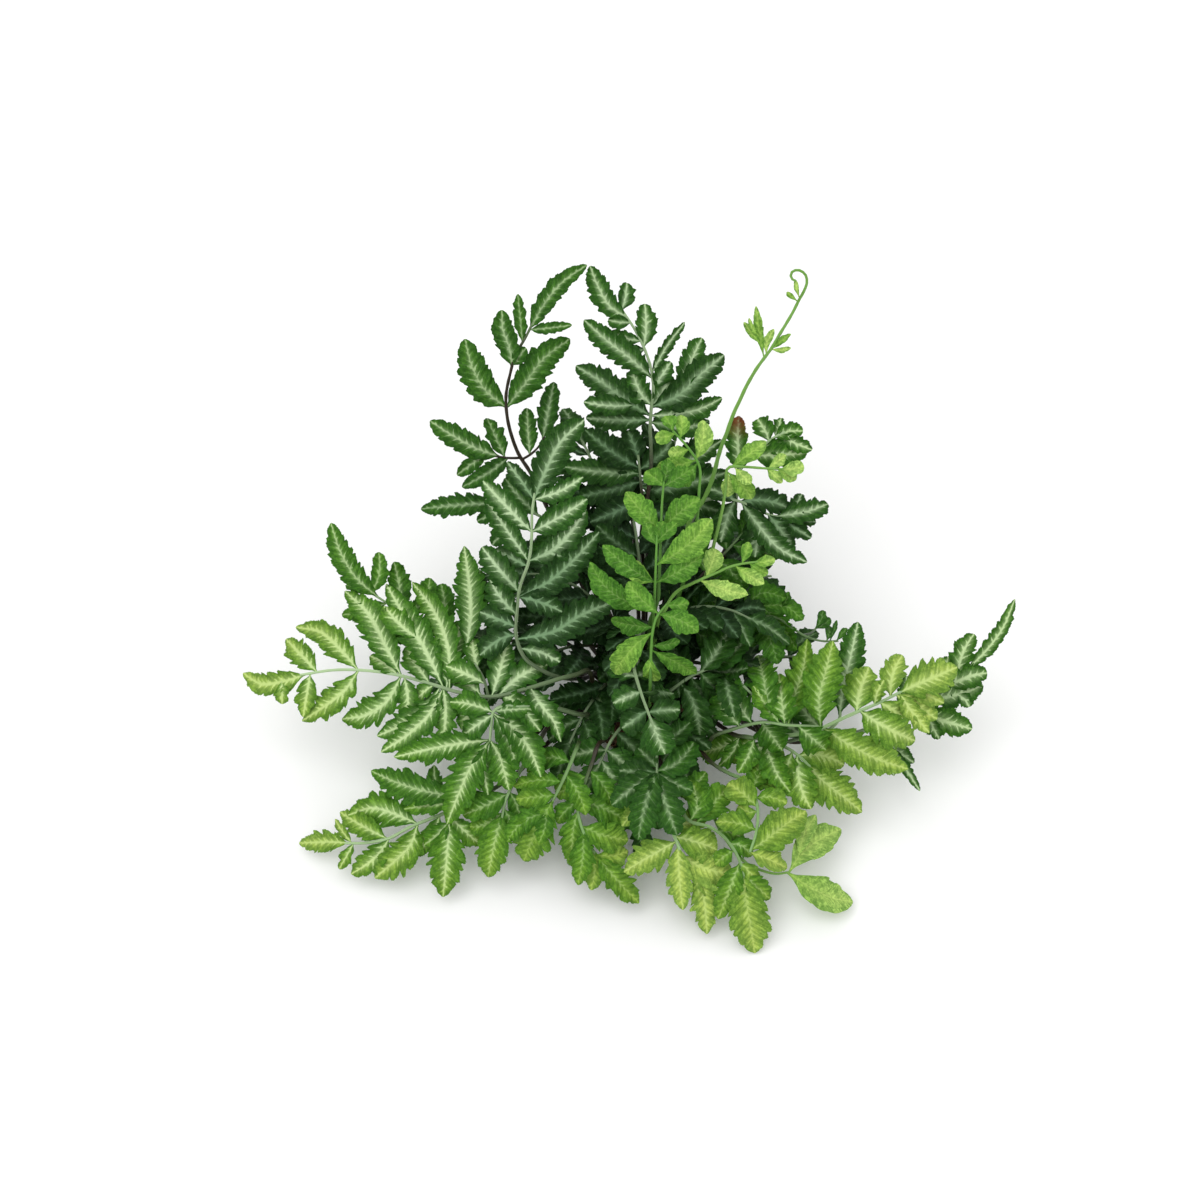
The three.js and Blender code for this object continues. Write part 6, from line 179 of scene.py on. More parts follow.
      [5.8,-0.28,-0.33,0.9,63.5,61.7,148.2,65.1,65.8,150.7,66.3,70.7,152.4],
      [7.5,-0.22,-0.65,0.73,57.7,60,143.2,64.3,58.4,145.1,71,58.4,145.8],
      [7.5,-0.28,-0.53,0.8,65.2,61.9,149.3,72.8,55.9,149.8,81,52.5,148.5],
      [11.5,-0.36,-0.57,0.74,52.6,58.4,138.2,61.1,54.8,142.2,69.8,53,144.8,78.7,52.5,146.3]]),
    ('frond_right_silver', 'old', 0.18, 0.85,
     [[[5.5,9.1,33.5,1.15],[6.4,12,44.9,1.11],[7.4,16.1,56.2,1.07],[8.7,20.7,67.4,1.02],[10.5,25.6,78.2,0.98],[13,30.3,88.4,0.94],[16.5,34.3,97.9,0.9],[20.1,37.4,105.9,0.86],[23.9,41.7,112.6,0.81],[28.5,46.9,117.4,0.77],[36.6,46.7,118.8,0.73],[45,45.9,118.4,0.68],[52.9,43.9,115.8,0.64],[60.7,41.6,112.9,0.59],[69.2,40.9,111,0.55]]],
     [[12,0.03,-0.34,0.94,64.9,41.2,112,73.7,41.2,113.7,82.5,43.3,114.2,91.1,48.1,113.5],
      [7.2,-0.04,-0.29,0.95,69.2,40.9,111,74.3,46.3,113.5,78.1,53.3,115.3],
      [7.2,0.03,-0.39,0.92,69.2,40.9,111,76.7,38.7,111.7,84.8,39.3,109.8],
      [12,0.26,-0.37,0.89,46.4,45.6,117.9,55.3,47.1,117.8,64.1,47.4,115.3,72.5,47.1,110.8],
      [7.2,0.1,-0.5,0.86,67.5,41,111.4,74.4,35.6,109.1,82.3,32.8,104.9],
      [10.8,0.11,-0.51,0.86,47.2,45.4,117.7,55.8,33.5,113,65.8,24.4,106.5,80,21.5,99.5],
      [14.4,-0.07,-0.45,0.89,55.1,43.3,115,55.6,37.4,109.5,55,30.3,105.4,53.7,21.3,103.6],
      [12,-0.29,-0.58,0.76,43.9,46,118.5,40.7,41.1,114,38.5,35.7,109.4,36.9,30.8,104.1],
      [10.8,0.17,-0.64,0.75,60.6,41.6,112.9,64.8,35.8,111.3,69,33,106,72.8,30.2,100.3],
      [10.4,-0.08,-0.36,0.93,45,45.9,118.4,38.4,48.9,120.2,30.5,53.1,120]]),
    ('frond_right_mid', 'old', 0.1, 0.4,
     [[[5.3,0.9,36,1.15],[7,1.4,47.4,1.11],[7.1,0.3,53.6,1.07],[7.1,-1.5,60.7,1.02],[6.7,-5.8,66.2,0.98],[9.4,1,77,0.94],[12.2,2.2,81,0.9],[17.5,8.2,85.4,0.84],[22.9,14.2,89.5,0.78],[28.7,20.2,93,0.73],[35.3,25.4,96.3,0.67],[41.6,30.9,100,0.61],[47.6,35.8,104.6,0.55]]],
     [[11.2,-0.16,-0.57,0.8,42.6,31.7,100.8,50.6,29.2,101,58.5,27,100.8,66.5,24.6,100.5],
      [11.2,-0.14,-0.51,0.85,45.8,34.3,103.2,49.8,38.4,106.6,53.4,42.9,109.9,56.8,47.8,113.1],
      [11.2,-0.12,-0.48,0.87,35.5,25.6,96.4,40.6,20.3,95.8,45.2,15.5,93.8,48.9,10.9,90.3],
      [11.2,-0.18,-0.19,0.97,29,20.4,93.1,27.2,27,95.2,25.1,34.3,96.3,22.8,42.5,96.2],
      [10,-0.15,-0.43,0.89,40.2,29.7,99.2,37.6,36.3,103.3,34.7,44.5,105.4],
      [11.2,0.07,-0.59,0.81,21.5,12.6,88.5,27.6,7.3,89.8,34.1,4.6,89.2,41.5,8.5,83.8],
      [12.5,-0.27,-0.69,0.68,27.2,18.6,92.1,33.9,11.6,94.2,41.1,8.3,93.5,48.8,8.2,90.1]]),
    ('frond_right_inner', 'old', 0.1, 0.35,
     [[[8.8,-7.3,33.5,1.15],[8.7,-8.3,40.1,1.11],[8.1,-10,47.3,1.07],[7.6,-11.7,54.4,1.02],[7.8,-13,61.1,0.98],[9.1,-13.3,66.6,0.94],[12.2,-11.8,70.4,0.9],[18.6,-7.9,74.7,0.84],[25.2,-4.5,79.3,0.78],[32.2,-1.7,83.8,0.73],[40,-0.9,87.6,0.67],[48.3,-1.5,90.5,0.61],[56.8,-1.4,92.5,0.55]]],
     [[14.4,0.18,-0.42,0.89,48.4,-1.5,90.6,55.7,1.7,88.5,62.8,1.8,87.5,69.6,-0.1,87],
      [9.6,-0.26,-0.41,0.88,47.1,-1.4,90.1,57,3.1,97.2,68.5,-0.1,97.1],
      [9.6,0.25,-0.5,0.83,56.8,-1.4,92.5,68.6,1.2,89.3,77.6,-3.9,84.6],
      [3.6,-0.55,-0.72,0.41,67.1,0.9,89.7,69.1,1.3,94.3,70.1,3.2,97.9],
      [12,-0.63,-0.44,0.64,32.5,-1.7,83.9,28,4.5,84.7,23.9,10.6,86.3,20.2,18.8,85.7],
      [12,-0.15,-0.68,0.72,43.4,-1.2,88.8,47.6,-3.6,83.1,50.8,-8.3,79.2,52.4,-15.4,77.3],
      [12,-0.23,-0.66,0.72,33.7,-1.6,84.5,37.4,-7.3,81.2,40.5,-11.5,75.4,42.6,-18.3,72],
      [12,0.08,-0.85,0.52,23.5,-5.4,78.1,29.1,-8.4,75,33.9,-12.6,71.8,37.6,-13.4,62.7],
      [13.2,-0.09,-0.51,0.85,50.3,-1.5,91,57,-5.8,83.1,61.2,-19.2,84.8,64.3,-26.4,77.5],
      [12,-0.32,-0.66,0.67,56.8,-1.4,92.5,63.3,-4.6,85.9,69.4,-10.4,81.6,73.9,-20.7,81.7],
      [12,0.15,-0.63,0.76,25.6,-4.4,79.5,34.8,-5.3,79.7,43.9,-6,77.9,52.5,-6.7,72.1]]),
    ('small_arching_frond', 'small', 0.35, 0.15,
     [[[20.4,1.5,27.5,0.9],[24.4,-0.2,36.1,0.87],[27.6,-4.8,43.5,0.83],[30.5,-9.5,51.4,0.8],[33.2,-13.9,59.4,0.77],[36.3,-16.8,67.6,0.73],[40,-16.4,76.1,0.7],[44.9,-11.5,80.5,0.67],[50.5,-6.9,84.4,0.64],[57.4,-4.2,87.8,0.61],[65.3,-5.6,87.7,0.57],[71.9,-9.9,85.5,0.54],[78.8,-14,83.7,0.51],[87.2,-11.5,77.2,0.48],[95.9,-6.5,71,0.45]],
      [[77.2,-13.1,84.1,0.6],[80.3,-9.9,80.9,0.55],[83.1,-5.8,78.1,0.5],[85.3,-1.1,75.6,0.45]]],
     [[4.4,0.09,-0.19,0.98,84.1,-3.6,77,87.2,0.9,78.5,88.6,7.5,78.6],
      [4.4,0.25,-0.2,0.95,84.1,-3.6,77,88.5,-0.4,76.8,92.6,3.6,76.2],
      [4.4,0.27,0.12,0.95,89.7,-10,75.4,91.3,-4.4,74.7,91.7,2.1,73.2],
      [2.2,0.25,-0.12,0.96,91.5,-9,74.1,93.7,-3,75.1,95.8,4.2,74.7],
      [3.3,0.24,-0.27,0.93,95,-7,71.6,97.8,-3.4,72.6,100.8,0.9,72.4]]),
    ('frond_right_dark', 'old', 0.15, 0.85,
     [[[20,-3.6,27.5,1.15],[29.8,-7.8,28.4,1.11],[37.3,-15.8,29.3,1.07],[44.7,-23.1,29.9,1.02],[52.2,-29.8,30.5,0.98],[59.7,-35.7,31.4,0.94],[67.2,-41.1,32.5,0.9],[74.5,-43,36.9,0.84],[82,-44.3,41.2,0.78],[89.6,-44.1,45.5,0.73],[95.8,-40.7,50.5,0.67],[96.4,-34.7,57,0.61],[97.6,-28.7,63.5,0.55]]],
     [[13.8,-0.03,-0.78,0.62,95.9,-39.1,52.2,97.8,-31.1,67.2,101,-21.4,79.7,104.3,-9.7,89.9],
      [9.2,-0.07,-0.77,0.64,97.2,-30.5,61.5,94,-24.5,71,90.8,-16.4,77.7],
      [11.5,-0.47,-0.47,0.75,88.7,-44.2,44.9,82.5,-38.1,47.2,77.3,-30.4,48.7,73.3,-21.1,49.7],
      [11.5,-0.57,-0.35,0.74,79.4,-43.9,39.8,72.7,-37.6,39.9,67.1,-29.3,39.5,62.8,-19.1,38.8]]),
    ('frond_right_fore', 'mid', 0.72, 0.75,
     [[[15.9,-10.4,27.5,1.15],[20.5,-17.9,32.3,1.11],[22.1,-26.1,36.2,1.07],[24.1,-34.3,39.9,1.02],[26.7,-42.5,43.4,0.98],[30,-51.2,46.6,0.94],[33.2,-52.3,53.3,0.9],[41.3,-52.1,57.5,0.84],[49.5,-51.9,61.4,0.78],[58.4,-51.9,63.5,0.73],[67.2,-53.1,62.8,0.67],[76.5,-52,60.4,0.61],[86.3,-50.6,57.6,0.55]]],
     [[16.8,-0.22,-0.58,0.79,85.5,-50.7,57.8,84.3,-43.7,72.4,87.8,-32.5,80.9,91.8,-17.2,84.3],
      [15.6,-0.32,-0.42,0.85,68.9,-52.9,62.4,72.5,-40.4,69.5,76.9,-28.5,77.1,79,-16,84.3],
      [14,-0.26,-0.59,0.77,67.4,-53,62.8,66,-48.8,71.3,65.3,-41.4,75.3,64.7,-32.2,76.8],
      [12,0.24,-0.54,0.8,64.8,-52.7,63,60.3,-48.9,68.2,55.8,-44.5,72.7,51.7,-39.2,76.1],
      [16.2,-0.31,-0.28,0.91,86.2,-50.6,57.6,98.8,-61.1,57.4,112.3,-69.8,57,126.2,-79.8,62.3],
      [14.4,-0.1,-0.7,0.71,56,-51.9,62.9,60.1,-49.6,52.4,63.5,-54.4,51,66.2,-62.5,53.9],
      [14.4,-0.05,-0.54,0.84,51.3,-51.9,61.8,45.6,-46.4,67.7,40.7,-40.8,74,36.6,-30.5,74.7],
      [13.2,-0.36,-0.1,0.93,59.4,-52,63.4,58.5,-44.4,72.1,56.8,-34.2,77,55.6,-11.6,66.2],
      [14.4,-0.54,-0.29,0.79,73.8,-52.3,61.1,78.5,-55.1,58.1,83.2,-58.5,55.9,86.7,-69.3,63.7],
      [13.2,-0.31,-0.69,0.65,45.5,-52,59.5,40.6,-49.7,65.7,36.7,-45.2,69.9,33.6,-36.9,69.9]]),
    ('frond_right_front', 'mid', 0.85, 0.85,
     [[[19.1,-6,27.5,1.15],[27.8,-12.3,31,1.11],[33.5,-20.1,34,1.07],[39.5,-27.4,37.4,1.02],[46,-33.9,41.5,0.98],[52.8,-38.9,45.9,0.94],[58.4,-50.5,48.4,0.9],[67.2,-52.1,52.1,0.86],[76.1,-53.3,55.7,0.81],[85,-53.1,59.4,0.77],[93.6,-50.7,62.9,0.73],[102.5,-47.1,64.7,0.68],[111.5,-43.4,65.9,0.64],[120.4,-39.1,67.1,0.59],[129.4,-33.4,67,0.55]]],
     [[16.8,0.03,-0.39,0.92,124.9,-36.3,67,134.3,-33.5,70.5,144.1,-29.3,71.9,154.3,-23.5,71.3],
      [9,0,-0.48,0.88,128.5,-33.9,67,137.7,-37.8,67,147.1,-40.2,63.6],
      [11.4,-0.13,-0.25,0.96,120.3,-39.2,67.1,120.7,-32.4,70.3,123.1,-25.2,72.6,127.1,-17.7,73.7],
      [16.2,-0.29,-0.47,0.84,103,-46.9,64.8,104.5,-39.1,67.3,106.8,-33.4,72.1,109.5,-28.2,77.4],
      [7.2,-0.36,-0.62,0.7,112.1,-43.1,66,113.3,-39.9,72.3,116.6,-35,75.5],
      [14.4,0.09,-0.54,0.83,123,-37.5,67.1,129.9,-40.4,64.1,136.7,-43.4,61.4,143.6,-46.5,58.8],
      [15.6,0.05,-0.67,0.74,104.8,-46.1,65,112.6,-55.3,67.5,121.6,-59.3,64.8,132.3,-56.4,53.8],
      [10.9,0.14,-0.41,0.9,114.84,-41.79,66.35,119.8,-44.6,65.3,126.8,-47.6,61.9],
      [9.8,0.25,-0.35,0.9,124.9,-36.25,67.05,130.8,-45.8,63.5,139.3,-53.4,56.5]]),
    ('frond_right_far', 'old', 0.15, 0.7,
     [[[20.5,-1.1,27.5,1.15],[31.7,-3.1,26.4,1.11],[39.7,-10.3,25.4,1.07],[48,-16.8,23.9,1.02],[56.4,-22.5,22.4,0.98],[64.9,-27.4,21.1,0.94],[73.5,-31.8,20,0.9],[85.9,-33.2,23.7,0.86],[98.3,-33.7,27.6,0.81],[110.6,-32.9,31.9,0.77],[122.4,-31.4,37,0.73],[133.9,-28.8,42.6,0.68],[144.6,-24.3,48.4,0.64],[155,-19.5,54.7,0.59],[164.4,-13.3,61,0.55]]],
     [[7.1,-0.14,-0.47,0.87,161.5,-15.2,59.1,170.6,-9.6,66.8,179.4,0.1,73.4,186.3,14.4,79],
      [8.3,-0.23,-0.45,0.86,148.5,-22.5,50.7,150.1,-15.8,56.2,152.5,-7.6,59.6],
      [10.5,-0.16,-0.46,0.87,156.7,-18.4,55.9,157.9,-12.3,61.1,160.9,-5.9,65,165.5,0.9,67.6],
      [11.6,-0.16,-0.52,0.84,151.7,-21.1,52.7,157.8,-19.9,56.1,164.3,-18.5,58.2,171.4,-17.2,58.7],
      [11.6,-0.11,-0.5,0.86,143.2,-24.9,47.6,152,-26.1,50.5,160.9,-24.5,52.2,169.6,-20.8,53.4],
      [6.6,-0.2,-0.65,0.73,148.5,-22.5,50.7,151.5,-26.5,48.4,152.5,-30.6,44.6],
      [6.6,-0.15,-0.43,0.89,156.7,-25.3,51.4,159.9,-28.6,51.4,162,-31.6,49.2],
      [12.7,-0.18,-0.53,0.83,133.4,-28.9,42.3,143.1,-34,43.8,153.2,-37.6,43.6,163.6,-39.9,41.8],
      [6.6,-0.24,-0.36,0.9,141.8,-33.3,43.6,144,-39.7,42.7,146.7,-45,40.2],
      [8.8,-0.23,-0.52,0.82,112.2,-32.7,32.6,123.1,-43.1,31.7,134.8,-50.6,27.5],
      [5,-0.12,-0.33,0.94,122.2,-42.3,31.8,129.5,-55.4,30.3,136.8,-66.2,25],
      [5,-0.14,-0.34,0.93,118.7,-38.9,32.1,121.3,-49.2,30.3,124.3,-57.6,26],
      [7.2,-0.28,-0.4,0.87,129.9,-29.7,40.6,130.8,-21.7,46.2,132.3,-12,49.5]]),
    ('frond_right_low', 'mid', 0.62, 0.7,
     [[[17.7,-8.3,27.5,1.15],[23.6,-14.7,31.4,1.11],[26.9,-21.6,34.5,1.07],[30.6,-28.5,37.7,1.02],[34.7,-35.2,40.8,0.98],[39,-41.5,43.9,0.94],[43.6,-47.6,47,0.9],[49.9,-51.2,50.2,0.84],[56.8,-50.2,47,0.78],[63.7,-49.3,42.7,0.73],[69.9,-53.8,44.1,0.67],[75.6,-58.6,43.7,0.61],[80.6,-63.7,42,0.55]]],
     [[18,0.17,-0.53,0.83,77.2,-60.2,43.1,86,-68.9,38.9,96.3,-74.7,33.1,106.8,-79.1,25],
      [16.8,0.1,-0.43,0.9,74.8,-57.9,43.7,82.7,-57.9,44.6,90.6,-58.8,43.2,97.9,-60.8,39.7],
      [10.2,0.08,-0.31,0.95,72.2,-55.7,43.9,68.6,-65.4,44,65.1,-72.8,41,61.2,-79.1,37],
      [15.6,0.03,-0.42,0.91,74.4,-57.6,43.8,74.4,-68.8,43.4,76.3,-77.2,39.5,80.7,-82.3,32.2],
      [12,-0.03,-0.01,1,67.6,-52.2,43.6,64,-57.7,43.7,60.8,-62.9,43,57.9,-68.9,43.2],
      [12,-0.12,-0.04,0.99,58.7,-50,45.8,55.1,-54.3,44.4,51.3,-60.3,45.2,47.6,-64.5,43.9],
      [12,-0.6,-0.36,0.71,53.5,-50.7,48.5,48.9,-52.2,44.8,44.5,-53.5,40.4,40.3,-54.6,35.5],
      [13.2,-0.65,-0.17,0.74,47,-49.5,48.7,40.8,-49.8,42.5,33.6,-48.7,36.3,25.6,-46,29.8],
      [12,-0.29,-0.28,0.92,58.7,-50,45.8,60.9,-61.3,45.6,64.3,-72.5,46.1,70,-78.2,40.9],
      [10.4,-0.57,-0.23,0.79,45.96,-48.95,48.2,42.4,-56.5,44.8,35.1,-60.1,37],
      [9.8,0.4,-0.46,0.8,53.35,-50.7,48.6,49.6,-60.4,46.6,44.5,-68.1,43]]),
    ('frond_front_right_inner', 'mid', 0.8, 0.3,
     [[[13.8,-12.2,27.5,1.15],[15.5,-18.3,31.5,1.11],[16.2,-24.6,34.9,1.07],[17,-30.8,37.9,1.02],[18.1,-36.9,40.5,0.98],[19.5,-42.8,42.6,0.94],[21.1,-48.7,44.3,0.9],[26.9,-56.3,44.2,0.86],[32.8,-64.1,44.4,0.81],[40.5,-69.5,44.1,0.77],[48.9,-73.8,43.7,0.73],[52.7,-82.4,41.8,0.68],[53.6,-92,40.1,0.64],[52.3,-101.5,38.2,0.59],[49.2,-110.3,35.5,0.55]]],
     [[14.4,-0.04,-0.26,0.96,53.1,-87,41,48.9,-83.2,43,44.2,-79.2,43.9,39.3,-74.8,43.7],
      [12.1,0.19,-0.34,0.92,52.6,-99.5,38.6,46.2,-98.4,41.7,39.5,-97.9,43.2,32.7,-97.9,43.2],
      [17.3,0.23,-0.23,0.94,49.5,-109.4,35.8,58.9,-102.8,37.2,68,-94.4,37.1,77.9,-85.4,34.8],
      [10.4,0.39,-0.5,0.77,49.2,-110.3,35.5,55.4,-111.5,33.2,61.6,-112.2,29.6,67.8,-112.4,24.8],
      [11.5,0.02,0.07,1,51,-78.7,42.7,54.1,-69,41.7,55.4,-59.1,41.1,54.9,-48.9,40.4],
      [10.4,0.26,-0.14,0.95,49.5,-75.2,43.4,55.7,-70.6,39.7,61.3,-66.9,38.8,65.7,-63.4,40.7],
      [9.8,0.02,-0.26,0.97,52.7,-82.4,41.8,59.8,-82.5,42.7,68.2,-84.8,40.8],
      [9.2,-0.11,-0.14,0.98,53.38,-89.6,40.53,49.3,-90.1,40.6,44,-86,40]]),
    ('frond_front_right', 'mid', 0.78, 0.3,
     [[[2.7,-16.4,27.5,1.15],[2.7,-23.1,31.6,1.11],[2.6,-29.6,35.5,1.07],[2.5,-36.1,39.1,1.02],[2.6,-42.6,42.2,0.98],[2.9,-49.1,44.7,0.94],[3.4,-55.6,46.9,0.9],[6.7,-66.6,47,0.86],[10.1,-77.5,46.9,0.81],[14.3,-88.1,46,0.77],[19.5,-97.8,44.1,0.73],[29.3,-99.6,41.8,0.68],[37.5,-103.6,37.1,0.64],[43.7,-110.9,31.3,0.59],[46.9,-119.4,24.7,0.55]]],
     [[18.4,0.07,-0.64,0.76,46,-116.9,26.6,47.2,-128.8,21.3,49.4,-138.6,12.9,51.8,-146.4,1.2],
      [12.1,0.05,-0.58,0.81,44.4,-112.7,29.9,40.7,-121.1,26.2,37.1,-128.6,21,33.6,-135.2,14.3],
      [10.4,0.17,-0.64,0.75,46.3,-117.7,26,50.7,-120.8,24,55,-123.3,20.9,59.3,-125.1,16.7],
      [8.1,0.13,-0.63,0.77,44.4,-112.7,29.9,49.1,-116.5,27.5,52.9,-119.8,22.7],
      [13.8,0.03,-0.23,0.97,20.1,-97.9,44,23.5,-91.9,46.6,23,-84.6,48.4,20.3,-76.7,48.9],
      [13.8,0.32,-0.13,0.94,23.3,-98.5,43.2,28.5,-91.6,43.8,33.8,-83.9,43.1,39.4,-75.3,41],
      [9.8,0.5,-0.5,0.71,32.3,-101.1,40.1,37.4,-100,38.4,42.3,-99.5,35.4,46.9,-99.5,30.9],
      [8.6,0.17,-0.48,0.86,41.3,-108.1,33.5,36.5,-111.6,33.5,32.1,-114.7,31.6],
      [9.2,0.25,-0.58,0.78,38.8,-105.2,35.8,45.5,-106,34.3,50.5,-108.5,29.5],
      [10.4,0.03,-0.04,1,12.5,-83.5,46.4,19.2,-82.3,47.2,24.2,-76.9,47.3,28.5,-70,46.4]]),
    ('frond_front_far_right', 'young', 0.9, 0.12,
     [[[11.3,-13.7,27.5,1],[14.7,-28.2,30.9,0.97],[18.3,-42.3,34,0.93],[21.5,-55.7,35.7,0.9],[25.9,-72.8,40,0.87],[30.5,-83.8,36.1,0.83],[35.1,-95.8,33.4,0.8],[39,-101.6,31,0.75],[43.4,-107,28.6,0.7],[48.8,-111.6,26.5,0.65],[55.5,-114,24.8,0.6],[62.5,-114.7,23.1,0.55],[69.4,-112.9,22,0.5]]],
     [[17.2,0.38,-0.34,0.86,67.8,-113.3,22.3,79.2,-118.7,17.3,90.2,-121,11.5,101.2,-119.3,5.1],
      [15.1,0.37,-0.27,0.89,68.9,-113,22.1,75.9,-102.2,23,85.5,-93.1,21.8,96.4,-85.3,19.1],
      [8.1,0.09,-0.26,0.96,73.9,-105.4,22.7,76.8,-94.9,27.7,83.4,-82.9,27.9]]),
    ('frond_front_centre', 'mid', 0.62, 0.2,
     [[[-0.4,-16.5,27.5,1.15],[-1,-24.8,32.7,1.11],[-1,-33,37.5,1.07],[-0.8,-41.1,41.8,1.02],[-0.5,-49.2,45.3,0.98],[0.1,-57.3,47.9,0.94],[0.8,-65.3,50,0.9],[3.1,-75.5,48.3,0.84],[5.6,-85.4,45.8,0.78],[8.5,-95,42.4,0.73],[12.7,-103.6,38,0.67],[16.6,-112.1,33.1,0.61],[22.4,-119.3,28,0.55]]],
     [[12.1,0.15,-0.7,0.7,21,-117.6,29.2,26,-124.6,22.9,27.5,-132,15.3,28.4,-138.7,6.3],
      [11.5,0.03,-0.58,0.82,14,-106.4,36.4,14.4,-116.3,32.5,15.1,-125.1,26.4,16.5,-132.4,18.1],
      [15,0.24,-0.53,0.81,16,-110.9,33.8,23.5,-115,31,32.1,-116.2,27.6,41.2,-114.6,23.7],
      [13.8,-0.05,-0.53,0.84,13.4,-105.1,37.2,4.7,-109.8,35.6,-3.9,-113.8,32.7,-12.3,-117,28.2],
      [16.1,0.2,-0.48,0.85,12.5,-103.1,38.3,19.6,-104.5,37.5,26.5,-105.5,35.2,33.4,-106.3,31.5],
      [8.1,0.41,-0.65,0.64,22.4,-119.2,28,27.4,-121.7,23.6,33.4,-122,18.1],
      [10.4,-0.1,-0.38,0.92,5.7,-85.9,45.7,-2,-88.3,45.4,-8.2,-92.6,43,-13.2,-97.2,38.8],
      [10.4,0.22,-0.35,0.91,10.2,-98.5,40.6,16.9,-97,40.3,23.3,-93.8,40,29.2,-89.3,39.5]]),
    ('frond_front_mid_left', 'mid', 0.66, 0.25,
     [[[-9.3,-14.7,27.5,1.15],[-11.2,-22.9,33.8,1.11],[-14.1,-30.8,40.1,1.07],[-16.9,-39.1,45.8,1.02],[-19.2,-47.7,51,0.98],[-20.9,-56.1,55.5,0.94],[-25,-65.4,62.6,0.9],[-28,-73.3,58,0.84],[-31.4,-80.4,51.8,0.78],[-35,-87.6,45.4,0.73],[-33.6,-95.6,39.2,0.67],[-29.7,-103.2,33.3,0.61],[-24,-109.2,27,0.55]]],
     [[11.5,0.22,-0.64,0.74,-25.7,-107.4,28.9,-19.2,-114.2,24.3,-12.2,-119.3,17.8,-4.8,-122.8,9.4],
      [6.9,0.2,-0.65,0.73,-24,-109.2,27,-19.6,-114.4,22.6,-17.6,-119.5,16.1],
      [10.8,0,-0.66,0.75,-34.6,-90.3,43.3,-37,-97.2,36.8,-37.7,-104.5,29.4,-35.3,-112.9,23.7],
      [10.4,0.06,-0.64,0.77,-32.3,-98.1,37.3,-32.2,-106.2,32.9,-33.1,-113.2,27.2,-34.8,-119.2,20],
      [9.2,0.15,-0.75,0.64,-27.9,-105.1,31.3,-26.5,-112.7,24.3,-28.4,-119,15.2],
      [9.8,0.27,-0.56,0.78,-25.7,-107.4,28.9,-20.5,-107.7,28.1,-15.2,-106.3,27.3,-10.2,-103.4,26.3],
      [14.4,0.21,-0.56,0.8,-34.9,-88.5,44.7,-26.1,-88.4,43.9,-18.1,-90.2,40.6,-10.7,-92.5,35.5],
      [14.4,0.2,-0.56,0.8,-32.9,-97,38.2,-25.7,-99.9,36.9,-18.1,-100.9,34.3,-10.2,-99.8,30.6],
      [8.1,-0.28,-0.68,0.67,-34.9,-87.3,45.7,-40.9,-90.1,41.9,-45.2,-93.1,35.5],
      [12.7,-0.39,-0.5,0.77,-30.2,-78,53.9,-35.7,-79.5,51.4,-40.8,-81.1,47.9,-45.7,-82.4,43.3],
      [10.4,0.22,-0.59,0.78,-29.2,-75.9,55.7,-24.2,-79.9,52.9,-20.4,-84.1,48.7,-18.1,-88.3,43.2]]),
    ('frond_front_left_wide', 'mid', 0.7, 0.2,
     [[[-12,-13.4,27.5,1.15],[-15,-21.6,34,1.11],[-19.3,-28.7,40.3,1.07],[-23.5,-35.8,45.9,1.02],[-27.5,-43.1,50.7,0.98],[-31.7,-50.2,54.4,0.94],[-33.9,-59.4,58.7,0.9],[-35.8,-70.3,64.9,0.84],[-37.8,-74.2,61.7,0.78],[-40,-77.5,57.5,0.73],[-42.3,-80.7,53.3,0.67],[-44.9,-83.8,48.7,0.61],[-47.6,-86.2,43.7,0.55]]],
     [[17.3,-0.21,-0.7,0.68,-47,-85.7,44.8,-52.5,-94.2,40.1,-57.3,-101.2,32.8,-61.5,-105.4,20.5],
      [9.9,-0.04,-0.53,0.85,-50.2,-91.1,41.8,-58.1,-94.1,41.5,-64.9,-98,38.7,-69.6,-103,33.5],
      [7.9,-0.11,-0.55,0.83,-50.2,-91.1,41.8,-51,-98.4,39.2,-53.9,-103.6,33.6],
      [11.6,-0.06,-0.63,0.77,-45.7,-84.5,47.1,-52.2,-85.5,47.4,-58.7,-85.7,46.7,-65.3,-85.4,45],
      [8.3,-0.14,-0.5,0.85,-42.4,-80.8,53.2,-54.6,-80.3,53.7,-66.8,-80.6,49.3],
      [9.9,-0.49,-0.37,0.79,-38.2,-74.9,60.8,-46,-70.8,59.7,-53.7,-70.1,55.5,-60.1,-71.7,48.8],
      [9.9,0.06,-0.59,0.8,-40.8,-78.6,56.1,-36.3,-83.9,53.2,-33.1,-89.1,49.1,-30.9,-94.1,43.8]]),
    ('frond_front_left', 'mid', 0.62, 0.3,
     [[[-16.4,-9.9,27.5,1.15],[-22.6,-18.8,34.3,1.11],[-29.5,-26.3,41.5,1.07],[-35.9,-34,47.9,1.02],[-41.4,-40.7,52.1,0.98],[-50.4,-52.6,59.3,0.94],[-53.7,-58.8,57.8,0.9],[-57.5,-64.3,55.2,0.84],[-61.4,-69.8,52.6,0.78],[-65,-75.2,49.4,0.73],[-68.3,-80.5,45.8,0.67],[-71,-86.2,42.3,0.61],[-72.2,-91.8,38,0.55]]],
     [[14.9,-0.07,-0.69,0.73,-71.8,-89.7,39.6,-74.7,-98.4,34,-77.2,-106.1,26.5,-79.2,-112.7,17.2],
      [12.7,-0.2,-0.66,0.73,-71.8,-89.7,39.6,-76.4,-92.6,37,-82,-93.8,34.4,-88.2,-93.1,32.1],
      [9.9,0.04,-0.78,0.62,-71.4,-88,40.9,-68.4,-91.9,37.2,-66.1,-95.5,32.5,-65,-99,26.8],
      [12.7,-0.12,-0.54,0.83,-69,-81.9,44.9,-76.2,-85.7,43.4,-83.7,-88.2,40.7,-91.6,-89.2,36.8],
